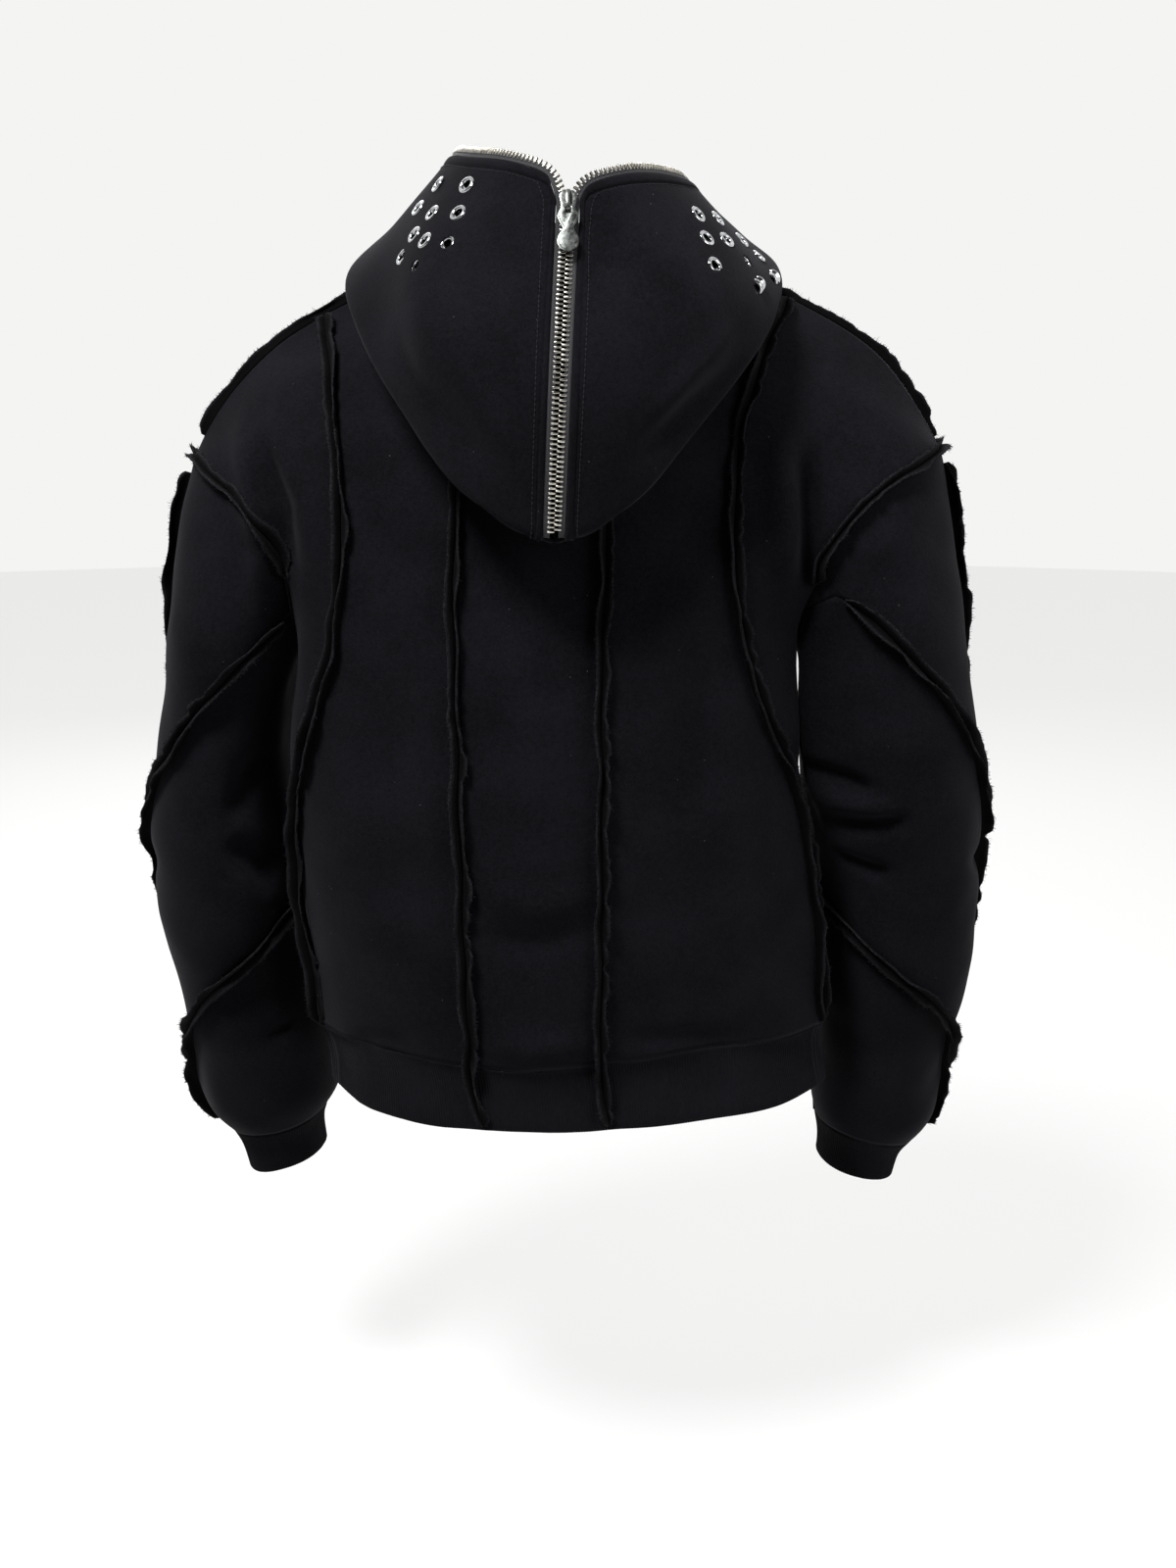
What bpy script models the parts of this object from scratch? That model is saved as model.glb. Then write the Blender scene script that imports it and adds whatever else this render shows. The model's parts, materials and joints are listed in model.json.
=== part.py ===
"""Zip-up hoodie, worn and hollow, with its hood down: raw seam edges on the outside, a metal zip that runs
on over the hood, and eyelets in the hood.

Metres, +Z up. The front faces -Y, the wearer's left is +X. The origin is the middle of the neck opening, at the
height of the points where neck and shoulder meet, which is where a wearer holds the garment up.
"""

import math
from bisect import bisect_right
from collections import namedtuple

import bmesh
import bpy
import numpy as np
from mathutils import Vector
from mathutils.bvhtree import BVHTree

MM = 0.001
LEFT, RIGHT = 1, -1
SIDE_NAMES = {LEFT: "left", RIGHT: "right"}

# ---------------------------------------------------------------- driving sizes
FLEECE_WALL = 2.2 * MM  # heavy cotton fleece
HOOD_WALL = 3.0 * MM  # two layers of it, stitched together
RIB_WALL = 2.4 * MM
SEAM_GAP = 0.3 * MM
ZIP_HALF_GAP = 8.0 * MM  # from the zip's middle to the cloth's edge
ZIP_CHAIN_THICK = 3.0 * MM  # across the teeth
ZIP_TAPE_THICK = 1.0 * MM
ZIP_FRONT_STRIDE = 2  # rows of the front between the strips' sections
ZIP_END_SHARE = 0.45  # how far the closed zip runs into the hood's lowest cell
ZIP_CHAIN_FROM = 4.2 * MM  # from the cloth's edge to the chain
ZIP_TURN_SQUASH = 0.3  # how much of its sideways part the cloth's normal keeps where the zip's halves part
BACK_EDGE_ANGLE = 1  # up to here a hood section is its half's back edge
FRONT_EDGE_ANGLE = 179  # and from here its front edge
NEAR_FRONT_ANGLE = 175  # from here the neck runs straight to the zip
RAW_EDGE_THICK = 1.6 * MM
RAW_EDGE_LIFT = 0.5 * MM  # from the seam to the root of the raw edges
EYELET_OUTER_R = 6.6 * MM
EYELET_HOLE_R = 3.7 * MM
EYELET_RIM = 1.1 * MM
EYELET_CORNERS = 8
EYELET_CLEAR = 0.15 * MM  # between the cloth and each rim
EYELET_BARREL = 0.6 * MM  # wall of the barrel in the hole
EYELET_BARREL_CLEAR = 0.45 * MM  # from the hole's edge
EYELET_CROWN = 1.3 * MM  # from the bore to the top of the rim
EYELET_BACK_LESS = 0.8 * MM  # by which the rim at the back is smaller
EYELET_BORE_SHARE = 0.7  # of the rim's height at the bore
EYELET_REACH = 12.0 * MM  # how far from an eyelet its cloth is looked for
EYELET_REACH_ABOVE = 10.0 * MM  # and over its rim, where the hood's other folds come nearer
EYELET_LOOK_SHARE = 0.6  # of the hole's radius, where the cloth's height is taken
EYELET_LOOK_OVER = 0.2 * MM  # outside the rim, where it is taken too
HOLE_OVER = 2.0 * MM  # how far a hole's cutter stands out of the cloth

# ---------------------------------------------------------------- body
# Levels 0 to 8 run from the hem rib's seam to the underarm, levels 8 to 18 on to the shoulder seam and neck.
# Each side of each face has columns 0 (middle) to 10 (side seam, then armhole).
UNDERARM_LEVEL = 8
TOP_LEVEL = 18
ARMHOLE_STEPS = 8
BODY_LEVELS = tuple(range(UNDERARM_LEVEL)) + tuple(
    UNDERARM_LEVEL + (TOP_LEVEL - UNDERARM_LEVEL) * step / ARMHOLE_STEPS for step in range(ARMHOLE_STEPS + 1)
)
COLUMNS = 10
BACK_SEAM_COLUMN = 2
CURVED_SEAM_COLUMN = 6
NECK_POINT_COLUMN = 4

BodyRow = namedtuple(
    "BodyRow", "level back_x back_y back_z front_y front_z middle_reach edge_reach"
)
BODY_ROWS = (
    BodyRow(0, 0.027, 0.147, -0.592, -0.134, -0.592, 0.115, 0.085),
    BodyRow(2, 0.027, 0.153, -0.512, -0.139, -0.512, 0.118, 0.090),
    BodyRow(4, 0.027, 0.152, -0.432, -0.139, -0.432, 0.120, 0.095),
    BodyRow(6, 0.027, 0.147, -0.356, -0.136, -0.358, 0.120, 0.102),
    BodyRow(8, 0.026, 0.140, -0.286, -0.131, -0.292, 0.118, 0.110),
    BodyRow(10, 0.024, 0.133, -0.226, -0.128, -0.246, 0.113, 0.060),
    BodyRow(12, 0.020, 0.125, -0.166, -0.125, -0.204, 0.107, 0.044),
    BodyRow(14, 0.014, 0.114, -0.108, -0.121, -0.162, 0.100, 0.048),
    BodyRow(16, 0.006, 0.098, -0.056, -0.115, -0.119, 0.090, 0.066),
    BodyRow(18, 0.000, 0.078, -0.012, -0.107, -0.078, 0.080, 0.080),
)

SideRow = namedtuple("SideRow", "level left_x right_x y")
SIDE_ROWS = (
    SideRow(0, 0.209, 0.207, 0.020),
    SideRow(2, 0.217, 0.199, 0.022),
    SideRow(4, 0.225, 0.189, 0.020),
    SideRow(6, 0.225, 0.181, 0.012),
    SideRow(8, 0.215, 0.178, 0.000),
)
SIDE_RISE_LEVEL = 4  # from here up the side seam's points part from their row to meet the underarm

# The way that a row of the body runs into the armhole, by the angle round it: 0 underarm, 90 back, 180 shoulder.
EdgeDirection = namedtuple("EdgeDirection", "angle out forward down")
EDGE_DIRECTIONS = (
    EdgeDirection(0, 0.00, 1.00, 0.00),
    EdgeDirection(36, 0.34, 0.92, 0.14),
    EdgeDirection(72, 0.62, 0.60, 0.42),
    EdgeDirection(108, 0.72, 0.28, 0.62),
    EdgeDirection(144, 0.66, 0.08, 0.72),
    EdgeDirection(180, 0.56, 0.00, 0.82),
)

# How far each back seam lies from the middle of the garment, by height.
SeamRow = namedtuple("SeamRow", "z left_x right_x")
BACK_SEAM_ROWS = (
    SeamRow(-0.60, 0.0757, -0.0219),
    SeamRow(-0.48, 0.0775, -0.0215),
    SeamRow(-0.37, 0.0790, -0.0215),
    SeamRow(-0.16, 0.0802, -0.0248),
    SeamRow(-0.06, 0.0600, -0.0400),
)
CURVED_SEAM_ROWS = (
    SeamRow(-0.600, 0.2045, -0.2015),
    SeamRow(-0.520, 0.2120, -0.1945),
    SeamRow(-0.450, 0.2185, -0.1865),
    SeamRow(-0.395, 0.2130, -0.1740),
    SeamRow(-0.350, 0.1960, -0.1540),
    SeamRow(-0.303, 0.1770, -0.1340),
    SeamRow(-0.250, 0.1660, -0.1190),
    SeamRow(-0.203, 0.1625, -0.1160),
    SeamRow(-0.141, 0.1655, -0.1180),
    SeamRow(-0.092, 0.1730, -0.1270),
    SeamRow(-0.034, 0.1880, -0.1650),
)

# The neck opening by the angle round it: 0 back, 90 side, 180 front.
NeckRow = namedtuple("NeckRow", "angle radius z")
NECK_ROWS = (
    NeckRow(0, 0.078, -0.012),
    NeckRow(45, 0.081, -0.005),
    NeckRow(90, 0.086, 0.000),
    NeckRow(135, 0.094, -0.036),
    NeckRow(180, 0.107, -0.078),
)
NECK_COLUMN_ANGLES = (0, 17, 35, 62, 90)  # of body columns 0 to 4
SHOULDER_OUT = (0.075, -0.004)  # how far the shoulder seam sets off from the neck, across and up
SHOULDER_DOWN = (0.026, -0.081)  # and how it comes to the armhole
SHOULDER_BLEND_LEVEL = 9  # from here up the rows turn into the line of the neck and shoulder seam
SHOULDER_BLEND_POWER = 2.2
SEAM_FALLBACK = 0.8  # share of a row at which a seam stands that its line doesn't cross
SHOULDER_SOFTENING = 0.45  # columns over which each lower level evens out the corner at the neck
EVENING_PASSES = 2  # by which each row settles between its neighbours

# Soft folds pushed into the body's walls: the middle and size of each, in rows of the surface.
BodyFold = namedtuple("BodyFold", "side face level column level_size column_size depth")
BODY_FOLDS = (
    BodyFold(RIGHT, "back", 0.0, 3.6, 2.6, 1.2, -0.013),
    BodyFold(LEFT, "back", 0.0, 4.6, 2.8, 1.5, -0.009),
    BodyFold(LEFT, "back", 0.0, 7.4, 3.6, 1.2, 0.005),
    BodyFold(RIGHT, "back", 0.6, 7.0, 3.2, 1.5, 0.005),
    BodyFold(LEFT, "front", 0.0, 4.0, 3.0, 1.4, -0.008),
    BodyFold(RIGHT, "front", 0.0, 5.2, 3.0, 1.4, -0.008),
    BodyFold(RIGHT, "front", 1.0, 2.4, 4.0, 1.3, 0.005),
    BodyFold(LEFT, "back", 11.0, 7.6, 3.2, 1.4, 0.005),
    BodyFold(RIGHT, "back", 11.6, 8.0, 3.0, 1.2, -0.006),
)

# ---------------------------------------------------------------- sleeves
# Each ring leans with the arm. tilt is the lean of its inner-to-outer line, reach and depth are its half sizes,
# sag draws its back and front in towards the neck. Ring 0 is the armhole and ring 14 the cuff's seam.
CUFF_RING = 14
CUFF_RINGS = (14, 15, 16)
SLEEVE_STEPS = (0, 1, 2, 3, 3.5, 4, 4.5, 5, 6, 7, 8, 8.5, 9, 9.5, 10, 10.5, 11, 12, 13, 14)
SLEEVE_COLUMNS = ARMHOLE_STEPS
SleeveRing = namedtuple("SleeveRing", "ring x y z tilt reach depth sag")
SLEEVE_RINGS = {
    LEFT: (
        SleeveRing(0, 0.2550, 0.000, -0.2140, 60.6, 0.0815, 0.083, 0.035),
        SleeveRing(1, 0.2604, 0.000, -0.2350, 51.4, 0.0730, 0.085, 0.028),
        SleeveRing(2, 0.2655, 0.000, -0.2620, 38.0, 0.0628, 0.087, 0.018),
        SleeveRing(3, 0.2700, 0.000, -0.2940, 23.4, 0.0566, 0.087, 0.008),
        SleeveRing(4, 0.2738, -0.002, -0.3300, 11.0, 0.0548, 0.087, 0.002),
        SleeveRing(6, 0.2835, -0.010, -0.4100, 0.0, 0.0615, 0.085, 0.000),
        SleeveRing(8, 0.2830, -0.021, -0.4900, -5.0, 0.0642, 0.082, 0.000),
        SleeveRing(10, 0.2738, -0.033, -0.5700, -7.0, 0.0642, 0.077, 0.000),
        SleeveRing(12, 0.2662, -0.045, -0.6500, -8.6, 0.0639, 0.070, 0.000),
        SleeveRing(13, 0.2655, -0.051, -0.6950, -10.0, 0.0645, 0.067, 0.000),
        SleeveRing(14, 0.2640, -0.054, -0.7180, -12.0, 0.0450, 0.050, 0.000),
        SleeveRing(15, 0.2625, -0.056, -0.7330, -12.5, 0.0375, 0.042, 0.000),
        SleeveRing(16, 0.2600, -0.059, -0.7570, -13.0, 0.0365, 0.041, 0.000),
    ),
    RIGHT: (
        SleeveRing(0, 0.2340, 0.000, -0.2101, 54.1, 0.0927, 0.083, 0.037),
        SleeveRing(1, 0.2403, 0.000, -0.2340, 46.4, 0.0843, 0.085, 0.029),
        SleeveRing(2, 0.2451, 0.000, -0.2635, 34.5, 0.0741, 0.087, 0.018),
        SleeveRing(3, 0.2468, 0.000, -0.2970, 19.8, 0.0710, 0.087, 0.008),
        SleeveRing(4, 0.2514, -0.002, -0.3340, 8.5, 0.0712, 0.087, 0.002),
        SleeveRing(6, 0.2597, -0.010, -0.4120, 0.0, 0.0757, 0.085, 0.000),
        SleeveRing(8, 0.2674, -0.021, -0.4920, -4.5, 0.0744, 0.082, 0.000),
        SleeveRing(10, 0.2682, -0.033, -0.5720, -7.0, 0.0685, 0.077, 0.000),
        SleeveRing(12, 0.2643, -0.045, -0.6540, -9.0, 0.0603, 0.070, 0.000),
        SleeveRing(13, 0.2665, -0.051, -0.7030, -10.5, 0.0630, 0.067, 0.000),
        SleeveRing(14, 0.2610, -0.054, -0.7270, -12.0, 0.0465, 0.050, 0.000),
        SleeveRing(15, 0.2570, -0.056, -0.7430, -12.0, 0.0375, 0.042, 0.000),
        SleeveRing(16, 0.2540, -0.059, -0.7660, -12.0, 0.0365, 0.041, 0.000),
    ),
}
SLEEVE_BODY_GAP = 4.6 * MM  # where a sleeve lies flat along the body's side

# Two seams wind down each sleeve and part it into two panels: the angle of each at each ring, in degrees round
# the sleeve: 0 inner, 90 back, 180 outer, 270 front. The under seam starts two steps of the armhole up its back.
UNDER_SEAM_STEPS = 2
WindingRow = namedtuple("WindingRow", "ring outer_seam under_seam")
WINDING_ROWS = {
    LEFT: (
        WindingRow(0, 180, 45),
        WindingRow(1, 181, 50),
        WindingRow(2, 183, 58),
        WindingRow(3, 188, 74),
        WindingRow(4, 197, 98),
        WindingRow(5, 224, 128),
        WindingRow(6, 268, 158),
        WindingRow(7, 322, 178),
        WindingRow(8, 370, 187),
        WindingRow(9, 424, 191),
        WindingRow(10, 474, 206),
        WindingRow(11, 508, 238),
        WindingRow(12, 531, 284),
        WindingRow(13, 542, 324),
        WindingRow(14, 548, 352),
    ),
    RIGHT: (
        WindingRow(0, 180, 45),
        WindingRow(1, 181, 66),
        WindingRow(2, 183, 82),
        WindingRow(3, 188, 99),
        WindingRow(4, 197, 121),
        WindingRow(5, 224, 145),
        WindingRow(6, 268, 166),
        WindingRow(7, 322, 181),
        WindingRow(8, 370, 187),
        WindingRow(9, 424, 191),
        WindingRow(10, 474, 206),
        WindingRow(11, 508, 238),
        WindingRow(12, 531, 284),
        WindingRow(13, 542, 324),
        WindingRow(14, 548, 352),
    ),
}

SleeveFold = namedtuple("SleeveFold", "side ring angle ring_size angle_size depth")
SLEEVE_FOLDS = (
    SleeveFold(LEFT, 5.0, 60, 1.3, 60, -0.006),
    SleeveFold(LEFT, 8.2, 110, 1.2, 70, 0.005),
    SleeveFold(LEFT, 10.2, 60, 1.1, 60, -0.007),
    SleeveFold(LEFT, 12.0, 120, 1.2, 60, 0.006),
    SleeveFold(LEFT, 9.5, 300, 1.2, 60, -0.006),
    SleeveFold(RIGHT, 6.0, 110, 1.2, 40, 0.005),
    SleeveFold(RIGHT, 8.4, 60, 1.1, 55, -0.008),
    SleeveFold(RIGHT, 10.0, 120, 1.2, 60, 0.005),
    SleeveFold(RIGHT, 11.6, 60, 1.1, 60, -0.006),
    SleeveFold(RIGHT, 9.0, 290, 1.2, 60, -0.006),
)

# ---------------------------------------------------------------- ribs
HemRow = namedtuple("HemRow", "step drop tuck shift")
HEM_SIDE_TUCK = 0.7  # how much the sides are drawn in, against the front and back
HEM_LIFT_FADE = 0.15  # by which the body's creases run out with each row
HEM_ROWS = (
    HemRow(0, 0.000, 0.0000, 0.0000),
    HemRow(1, 0.007, 0.0050, -0.0010),
    HemRow(2, 0.028, 0.0060, -0.0040),
    HemRow(3, 0.052, 0.0040, -0.0075),
)

# ---------------------------------------------------------------- hood
# Each section stands in an upright plane through the neck's middle, at an angle round it: 0 back, 90 side, 180
# front. It runs from the neck seam up over the lip, down the underside to the fold, and up to the opening's edge.
HoodRow = namedtuple(
    "HoodRow",
    "angle lip_r lip_z under_r under_z fold_r fold_z bulge_r bulge_z edge_r edge_z",
)
HOOD_ROWS = {
    LEFT: (
        HoodRow(0, 0.104, 0.016, 0.146, -0.085, 0.186, -0.190, 0.202, -0.085, 0.160, 0.030),
        HoodRow(5, 0.104, 0.016, 0.146, -0.082, 0.185, -0.187, 0.201, -0.077, 0.154, 0.046),
        HoodRow(10, 0.105, 0.016, 0.146, -0.078, 0.184, -0.180, 0.200, -0.070, 0.150, 0.052),
        HoodRow(18, 0.106, 0.016, 0.147, -0.070, 0.182, -0.163, 0.196, -0.058, 0.142, 0.058),
        HoodRow(30, 0.108, 0.016, 0.149, -0.055, 0.180, -0.130, 0.189, -0.036, 0.128, 0.064),
        HoodRow(48, 0.110, 0.016, 0.150, -0.032, 0.174, -0.076, 0.160, -0.002, 0.110, 0.070),
        HoodRow(68, 0.110, 0.015, 0.144, -0.010, 0.168, -0.032, 0.138, 0.026, 0.096, 0.071),
        HoodRow(90, 0.106, 0.014, 0.132, 0.005, 0.159, -0.004, 0.119, 0.038, 0.088, 0.065),
        HoodRow(115, 0.103, 0.004, 0.119, 0.003, 0.137, 0.003, 0.114, 0.027, 0.093, 0.044),
        HoodRow(142, 0.104, -0.030, 0.110, -0.021, 0.114, -0.012, 0.113, -0.003, 0.106, 0.004),
        HoodRow(165, 0.106, -0.061, 0.107, -0.053, 0.108, -0.045, 0.108, -0.037, 0.106, -0.029),
        HoodRow(180, 0.1055, -0.072, 0.104, -0.066, 0.1025, -0.060, 0.101, -0.053, 0.0990, -0.045),
    ),
    RIGHT: (
        HoodRow(0, 0.104, 0.016, 0.146, -0.085, 0.186, -0.190, 0.202, -0.085, 0.160, 0.030),
        HoodRow(5, 0.104, 0.016, 0.146, -0.082, 0.185, -0.187, 0.201, -0.079, 0.154, 0.040),
        HoodRow(10, 0.105, 0.016, 0.146, -0.078, 0.184, -0.180, 0.200, -0.072, 0.150, 0.045),
        HoodRow(18, 0.106, 0.016, 0.147, -0.068, 0.182, -0.160, 0.196, -0.060, 0.143, 0.049),
        HoodRow(30, 0.108, 0.014, 0.149, -0.052, 0.178, -0.122, 0.188, -0.038, 0.130, 0.052),
        HoodRow(48, 0.110, 0.012, 0.150, -0.030, 0.174, -0.068, 0.168, -0.011, 0.114, 0.053),
        HoodRow(68, 0.110, 0.012, 0.140, -0.009, 0.162, -0.027, 0.139, 0.015, 0.098, 0.050),
        HoodRow(90, 0.106, 0.012, 0.129, 0.004, 0.151, -0.004, 0.118, 0.028, 0.088, 0.047),
        HoodRow(115, 0.103, 0.004, 0.119, 0.003, 0.135, 0.003, 0.114, 0.021, 0.093, 0.034),
        HoodRow(142, 0.104, -0.030, 0.110, -0.021, 0.114, -0.012, 0.113, -0.004, 0.106, 0.002),
        HoodRow(165, 0.106, -0.061, 0.107, -0.053, 0.108, -0.045, 0.108, -0.037, 0.106, -0.029),
        HoodRow(180, 0.1055, -0.072, 0.104, -0.066, 0.1025, -0.060, 0.101, -0.053, 0.0990, -0.045),
    ),
}
HOOD_ANGLES = (0, 5, 10, 16, 24, 34, 46, 60, 75, 92, 112, 134, 157, 180)
HOOD_SHARES = (
    0.0, 0.08, 0.16, 0.25, 0.31, 0.37, 0.43, 0.50, 0.571, 0.643, 0.714, 0.775, 0.84, 0.90, 0.95, 1.0
)
HOOD_GAP_SHARE = 0.571  # from here on the hood's halves part for the zip
HOOD_FOLD_HALF = 9.0 * MM  # half the roundness of the lower fold
HOOD_FOLD_BACK = 0.8  # share of that by which its shoulders stand back from its tip
HOOD_INSIDE = (0.10, 0.10, 0.02)  # between a half's under and upper cloth, on the wearer's left
HOOD_FOLD_FADE = (112, 150)  # angles between which that roundness runs out
HOOD_LEAN = 0.045  # the hood's tip hangs this much to the wearer's left for its height
HOOD_LEAN_FROM = 0.03
HOOD_SEAM_LIFT = 1.2 * MM  # of the hood's lower edge over the neck seam

# Eyelets sit in two groups: where each is, by the angle round the hood and the share of the section.
Eyelet = namedtuple("Eyelet", "angle share")
EYELETS = {
    LEFT: (
        Eyelet(46, 0.960),
        Eyelet(29.5, 0.972),
        Eyelet(52, 0.922),
        Eyelet(39.5, 0.932),
        Eyelet(29, 0.945),
        Eyelet(43, 0.900),
        Eyelet(36, 0.907),
        Eyelet(28.5, 0.917),
        Eyelet(45.5, 0.865),
        Eyelet(36, 0.880),
    ),
    RIGHT: (
        Eyelet(38.5, 0.952),
        Eyelet(50, 0.940),
        Eyelet(37.5, 0.924),
        Eyelet(46, 0.912),
        Eyelet(60, 0.885),
        Eyelet(66.5, 0.820),
        Eyelet(51, 0.867),
        Eyelet(36, 0.892),
        Eyelet(66.5, 0.757),
        Eyelet(52, 0.815),
    ),
}

# ---------------------------------------------------------------- raw seam edges
# Two plies of cloth stand up along each seam and part at their edges.
RawEdge = namedtuple("RawEdge", "name width splay lean wave_length wave phase step")
RAW_EDGES = {
    "vertical_left": RawEdge("raw_edge_vertical_left", 0.0095, 0.42, 0.00, 0.120, 0.0010, 0.4, 0.030),
    "vertical_right": RawEdge("raw_edge_vertical_right", 0.0095, 0.42, 0.00, 0.110, 0.0010, 1.9, 0.030),
    "curved_left": RawEdge("raw_edge_curved_left", 0.0100, 0.42, 0.00, 0.130, 0.0012, 0.9, 0.026),
    "curved_right": RawEdge("raw_edge_curved_right", 0.0100, 0.42, 0.00, 0.120, 0.0012, 2.7, 0.026),
    "shoulder_left": RawEdge("raw_edge_shoulder_left", 0.0100, 0.35, -0.60, 0.070, 0.0010, 0.2, 0.016),
    "shoulder_right": RawEdge("raw_edge_shoulder_right", 0.0100, 0.35, 1.00, 0.070, 0.0010, 1.4, 0.016),
    "armhole_left": RawEdge("raw_edge_armhole_left", 0.0100, 0.30, 0.00, 0.090, 0.0010, 0.7, 0.022),
    "armhole_right": RawEdge("raw_edge_armhole_right", 0.0100, 0.30, 0.00, 0.090, 0.0010, 2.2, 0.022),
    "outer_left": RawEdge("raw_edge_outer_left", 0.0105, 0.32, 0.00, 0.100, 0.0012, 0.3, 0.026),
    "outer_right": RawEdge("raw_edge_outer_right", 0.0105, 0.32, 0.00, 0.105, 0.0012, 1.1, 0.026),
    "under_left": RawEdge("raw_edge_under_left", 0.0105, 0.32, 0.00, 0.095, 0.0012, 2.4, 0.026),
    "under_right": RawEdge("raw_edge_under_right", 0.0105, 0.32, 0.00, 0.100, 0.0012, 0.8, 0.026),
}
RAW_NOTCH = 3.0 * MM  # how far up the two plies are stitched together
RAW_EDGE_LOOK = 3.5 * MM  # how far over a seam the cloth is looked for
RAW_EDGE_LOOKS = 9  # places between two of its sections at which a raw edge is kept clear
RAW_EDGE_CLOSEST = 0.45  # least distance between two sections, in steps
RAW_EDGE_FARTHEST = 1.3  # and the greatest before one more stands between them
RAW_EDGE_AIM = 3.0 * MM  # over which a seam's way is taken
RAW_EDGE_BEVEL = 0.3 * MM  # by which a ply's inner corner stands higher
RAW_EDGE_SWAY = 0.15  # radians by which a ply may stray
RAW_LEAN_WAVE = 0.10  # radians of sway of both plies
RAW_SPLAY_WAVE = 0.08  # radians of sway of each
RAW_SECOND_WAVE = 0.57  # second wave's length, in lengths of the first
RAW_SECOND_PHASE = 2.3
RAW_ROOT_OVER = 1.1  # how far past a ply's root the cloth under it is looked at
RAW_EDGE_ROOM = 1.0 * MM  # kept free over a raw edge where other cloth lies on it
RAW_EDGE_LEAST = 0.10  # share of its height to which it is pressed at most

# ---------------------------------------------------------------- sliders and pulls
SLIDER_RISE = {"front": 4.0 * MM, "hood": -2.5 * MM}  # from where the strips part to the slider's middle
SLIDER_SUNK = 0.3 * MM  # by which its parts run into one another
SLIDER_POST_SHORT = 0.2  # from the wedge to the plate's end, in mm
SLIDER_CLEAR = 2.4 * MM  # from the zip's mid plane to each plate
SLIDER_PLATE = 1.2 * MM
SLIDER_OUTLINE = (  # half width and height along the zip
    (3.6, -8.0),
    (4.7, -7.0),
    (4.9, -1.0),
    (6.1, 3.0),
    (5.8, 6.6),
    (3.4, 7.8),
)
SLIDER_POST = (1.0, 2.6)  # half width and length of the wedge between the parting chains
BRIDGE_HALF_WIDTH = 1.2 * MM
BRIDGE_HALF_SPAN = 7.4 * MM
BRIDGE_BAR = 1.2 * MM
BRIDGE_ROOM = 2.9 * MM
PULL_DROP = 4.8 * MM  # from the slider's middle down to where the pull hangs in the bridge's lower end
PULL_THICK = 1.8 * MM
PULL_OUTLINE = (  # half width and distance down from the hinge
    (3.4, -1.0),
    (4.5, -0.4),
    (5.2, 2.5),
    (7.4, 7.4),
    (5.6, 12.0),
    (3.0, 16.4),
    (5.0, 19.0),
    (7.0, 22.8),
    (7.2, 27.0),
    (5.4, 30.6),
    (2.0, 32.6),
)
PULL_HOLE = ((2.2, 1.0), (2.2, 5.4), (1.2, 6.6))

COLOURS = {
    "fleece": (0.0075, 0.008, 0.010, 1.0),
    "rib": (0.007, 0.0075, 0.009, 1.0),
    "zip tape": (0.006, 0.006, 0.007, 1.0),
    "zip metal": (0.46, 0.46, 0.47, 1.0),
    "dark metal": (0.10, 0.10, 0.11, 1.0),
    "chrome": (0.62, 0.62, 0.64, 1.0),
}
METALS = ("zip metal", "dark metal", "chrome")
WELD = 0.02 * MM
STEEPEST_SEAM = 0.6  # sine of the angle under which a seam counts as running along the cloth's normal


# ---------------------------------------------------------------- curves and tables
def table_value(rows, key, *fields):
    """Values of a table's columns at a key between its rows, along a smooth curve through them."""
    keys = [row[0] for row in rows]
    data = np.array([[getattr(row, field) for field in fields] for row in rows])
    key = min(max(key, keys[0]), keys[-1])
    low = max(0, min(bisect_right(keys, key) - 1, len(keys) - 2))
    span = keys[low + 1] - keys[low]
    share = (key - keys[low]) / span

    def slope(index):
        before, after = max(index - 1, 0), min(index + 1, len(keys) - 1)
        return (data[after] - data[before]) / (keys[after] - keys[before])

    return (
        data[low] * (2 * share**3 - 3 * share**2 + 1)
        + slope(low) * span * (share**3 - 2 * share**2 + share)
        + data[low + 1] * (3 * share**2 - 2 * share**3)
        + slope(low + 1) * span * (share**3 - share**2)
    )


def bezier(start, leave, arrive, end, count=120):
    """Points along a cubic curve from its four control points."""
    share = np.linspace(0, 1, count)[:, None]
    rest = 1 - share
    return (
        rest**3 * start
        + 3 * rest**2 * share * leave
        + 3 * rest * share**2 * arrive
        + share**3 * end
    )


def through(controls, shares):
    """Points at given shares of a smooth curve through control points."""
    knots = np.linspace(0, 1, len(controls))
    slopes = np.gradient(controls, knots, axis=0)
    places = []
    for share in shares:
        low = max(0, min(bisect_right(list(knots), share) - 1, len(knots) - 2))
        span = knots[low + 1] - knots[low]
        part = (share - knots[low]) / span
        places.append(
            controls[low] * (2 * part**3 - 3 * part**2 + 1)
            + slopes[low] * span * (part**3 - 2 * part**2 + part)
            + controls[low + 1] * (3 * part**2 - 2 * part**3)
            + slopes[low + 1] * span * (part**3 - part**2)
        )
    return np.array(places)


def lengths_along(points):
    """Distance of each point of a line from its start."""
    steps = np.linalg.norm(np.diff(points, axis=0), axis=1)
    return np.concatenate(([0.0], np.cumsum(steps)))


def at_length(points, lengths, distance):
    """Point of a line at a distance from its start."""
    return np.array([np.interp(distance, lengths, points[:, axis]) for axis in range(3)])


def columns_between(points, marks, counts):
    """Points of a line, a number of even steps between each two marked distances."""
    lengths = lengths_along(points)
    distances = [marks[0]]
    for start, end, count in zip(marks, marks[1:], counts):
        distances.extend(np.linspace(start, end, count + 1)[1:])
    return np.array([at_length(points, lengths, distance) for distance in distances])


def unit(vector):
    """The vector at length one."""
    return vector / max(np.linalg.norm(vector), 1e-12)


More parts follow.
